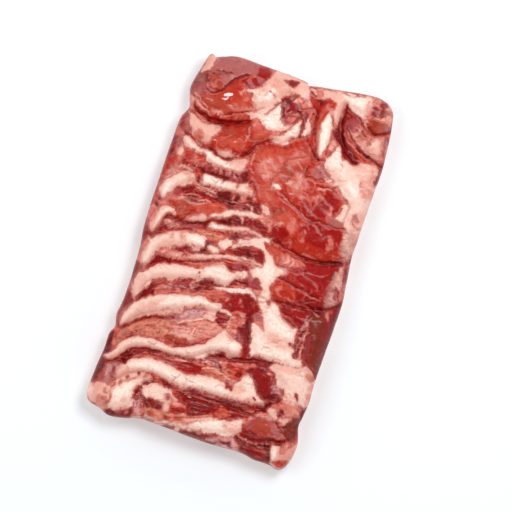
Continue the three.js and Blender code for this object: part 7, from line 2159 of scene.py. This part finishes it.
    shader = tree.nodes.new("ShaderNodeBsdfPrincipled")
    tree.links.new(colour, shader.inputs["Base Color"])
    tree.links.new(bump.outputs["Normal"], shader.inputs["Normal"])
    tree.links.new(ramp_between(tree, fat_mask, 0, 1, 0.38, 0.5, smooth=False), shader.inputs["Roughness"])
    shader.inputs["Specular IOR Level"].default_value = 0.08
    shader.inputs["Subsurface Weight"].default_value = 0.06
    shader.inputs["Subsurface Radius"].default_value = (1, 0.35, 0.25)
    shader.inputs["Subsurface Scale"].default_value = 2 * MM
    shader.inputs["Coat Weight"].default_value = 0.26
    shader.inputs["Coat Roughness"].default_value = 0.13
    output = tree.nodes.new("ShaderNodeOutputMaterial")
    tree.links.new(shader.outputs["BSDF"], output.inputs["Surface"])
    return material


def grey(tree, value):
    node = tree.nodes.new("ShaderNodeCombineColor")
    for socket in node.inputs:
        tree.links.new(value, socket)
    return node.outputs["Color"]


def white_floor():
    bpy.ops.object.select_all(action="DESELECT")
    bpy.ops.mesh.primitive_plane_add(size=6, location=(0, 0, -0.0005))
    floor = bpy.context.object
    floor.name = "floor"
    material = bpy.data.materials.new("white floor")
    material.use_nodes = True
    shader = material.node_tree.nodes["Principled BSDF"]
    shader.inputs["Base Color"].default_value = (0.9, 0.95, 0.98, 1)
    shader.inputs["Roughness"].default_value = 0.9
    shader.inputs["Emission Color"].default_value = (1, 1, 1, 1)
    shader.inputs["Emission Strength"].default_value = 0.06
    floor.data.materials.append(material)


def picture_axes():
    """Directions on the floor that point right and up in the picture."""
    right = Vector((math.cos(SLAB_LEAN), math.sin(SLAB_LEAN), 0))
    upward = Vector((-math.sin(SLAB_LEAN), math.cos(SLAB_LEAN), 0))
    return right, upward


def camera():
    right, upward = picture_axes()
    x, y = SLAB_CENTRE_PIXEL
    middle = PICTURE_SIDE / 2
    aim = (right * (middle - x) + upward * (y - middle)) * MM_PER_PIXEL * MM
    aim.z = PICTURE_HEIGHT * MM
    distance = PICTURE_SIDE * MM_PER_PIXEL * MM * LENS / SENSOR
    back = Vector((0, 0, math.sin(VIEW_ELEVATION))) - upward * math.cos(VIEW_ELEVATION)
    top = upward * math.sin(VIEW_ELEVATION) + Vector((0, 0, math.cos(VIEW_ELEVATION)))
    data = bpy.data.cameras.new("camera")
    data.lens = LENS
    data.sensor_width = SENSOR
    data.clip_end = 20
    eye = bpy.data.objects.new("camera", data)
    bpy.context.scene.collection.objects.link(eye)
    turn = Matrix((right, top, back)).transposed().to_4x4()
    eye.matrix_world = Matrix.Translation(aim + back * distance) @ turn
    bpy.context.scene.camera = eye


def area_light(name, across, along, height, size, power):
    """A soft square light, placed by the picture's right and up directions, aimed at the slab."""
    right, upward = picture_axes()
    data = bpy.data.lights.new(name, "AREA")
    data.size = size
    data.energy = power
    light = bpy.data.objects.new(name, data)
    bpy.context.scene.collection.objects.link(light)
    light.location = right * across + upward * along + Vector((0, 0, height))
    light.rotation_euler = (-light.location).to_track_quat("-Z", "Y").to_euler()


def studio():
    scene = bpy.context.scene
    scene.view_settings.view_transform = "Standard"
    world = bpy.data.worlds.new("studio")
    world.use_nodes = True
    tree = world.node_tree
    tree.nodes["Background"].inputs["Color"].default_value = (1, 1, 1, 1)
    direction = tree.nodes.new("ShaderNodeTexCoord").outputs["Generated"]
    parts = tree.nodes.new("ShaderNodeSeparateXYZ")
    tree.links.new(direction, parts.inputs["Vector"])
    strength = ramp_between(tree, parts.outputs["Z"], *WORLD_FADE)
    tree.links.new(strength, tree.nodes["Background"].inputs["Strength"])
    scene.world = world
    for settings in LIGHTS:
        area_light(*settings)


camera()
studio()
white_floor()
slab = pork_belly_slab()
slab.data.materials.append(wet_pork_material())
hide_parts("pork_belly_slab")
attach(slab, "root")
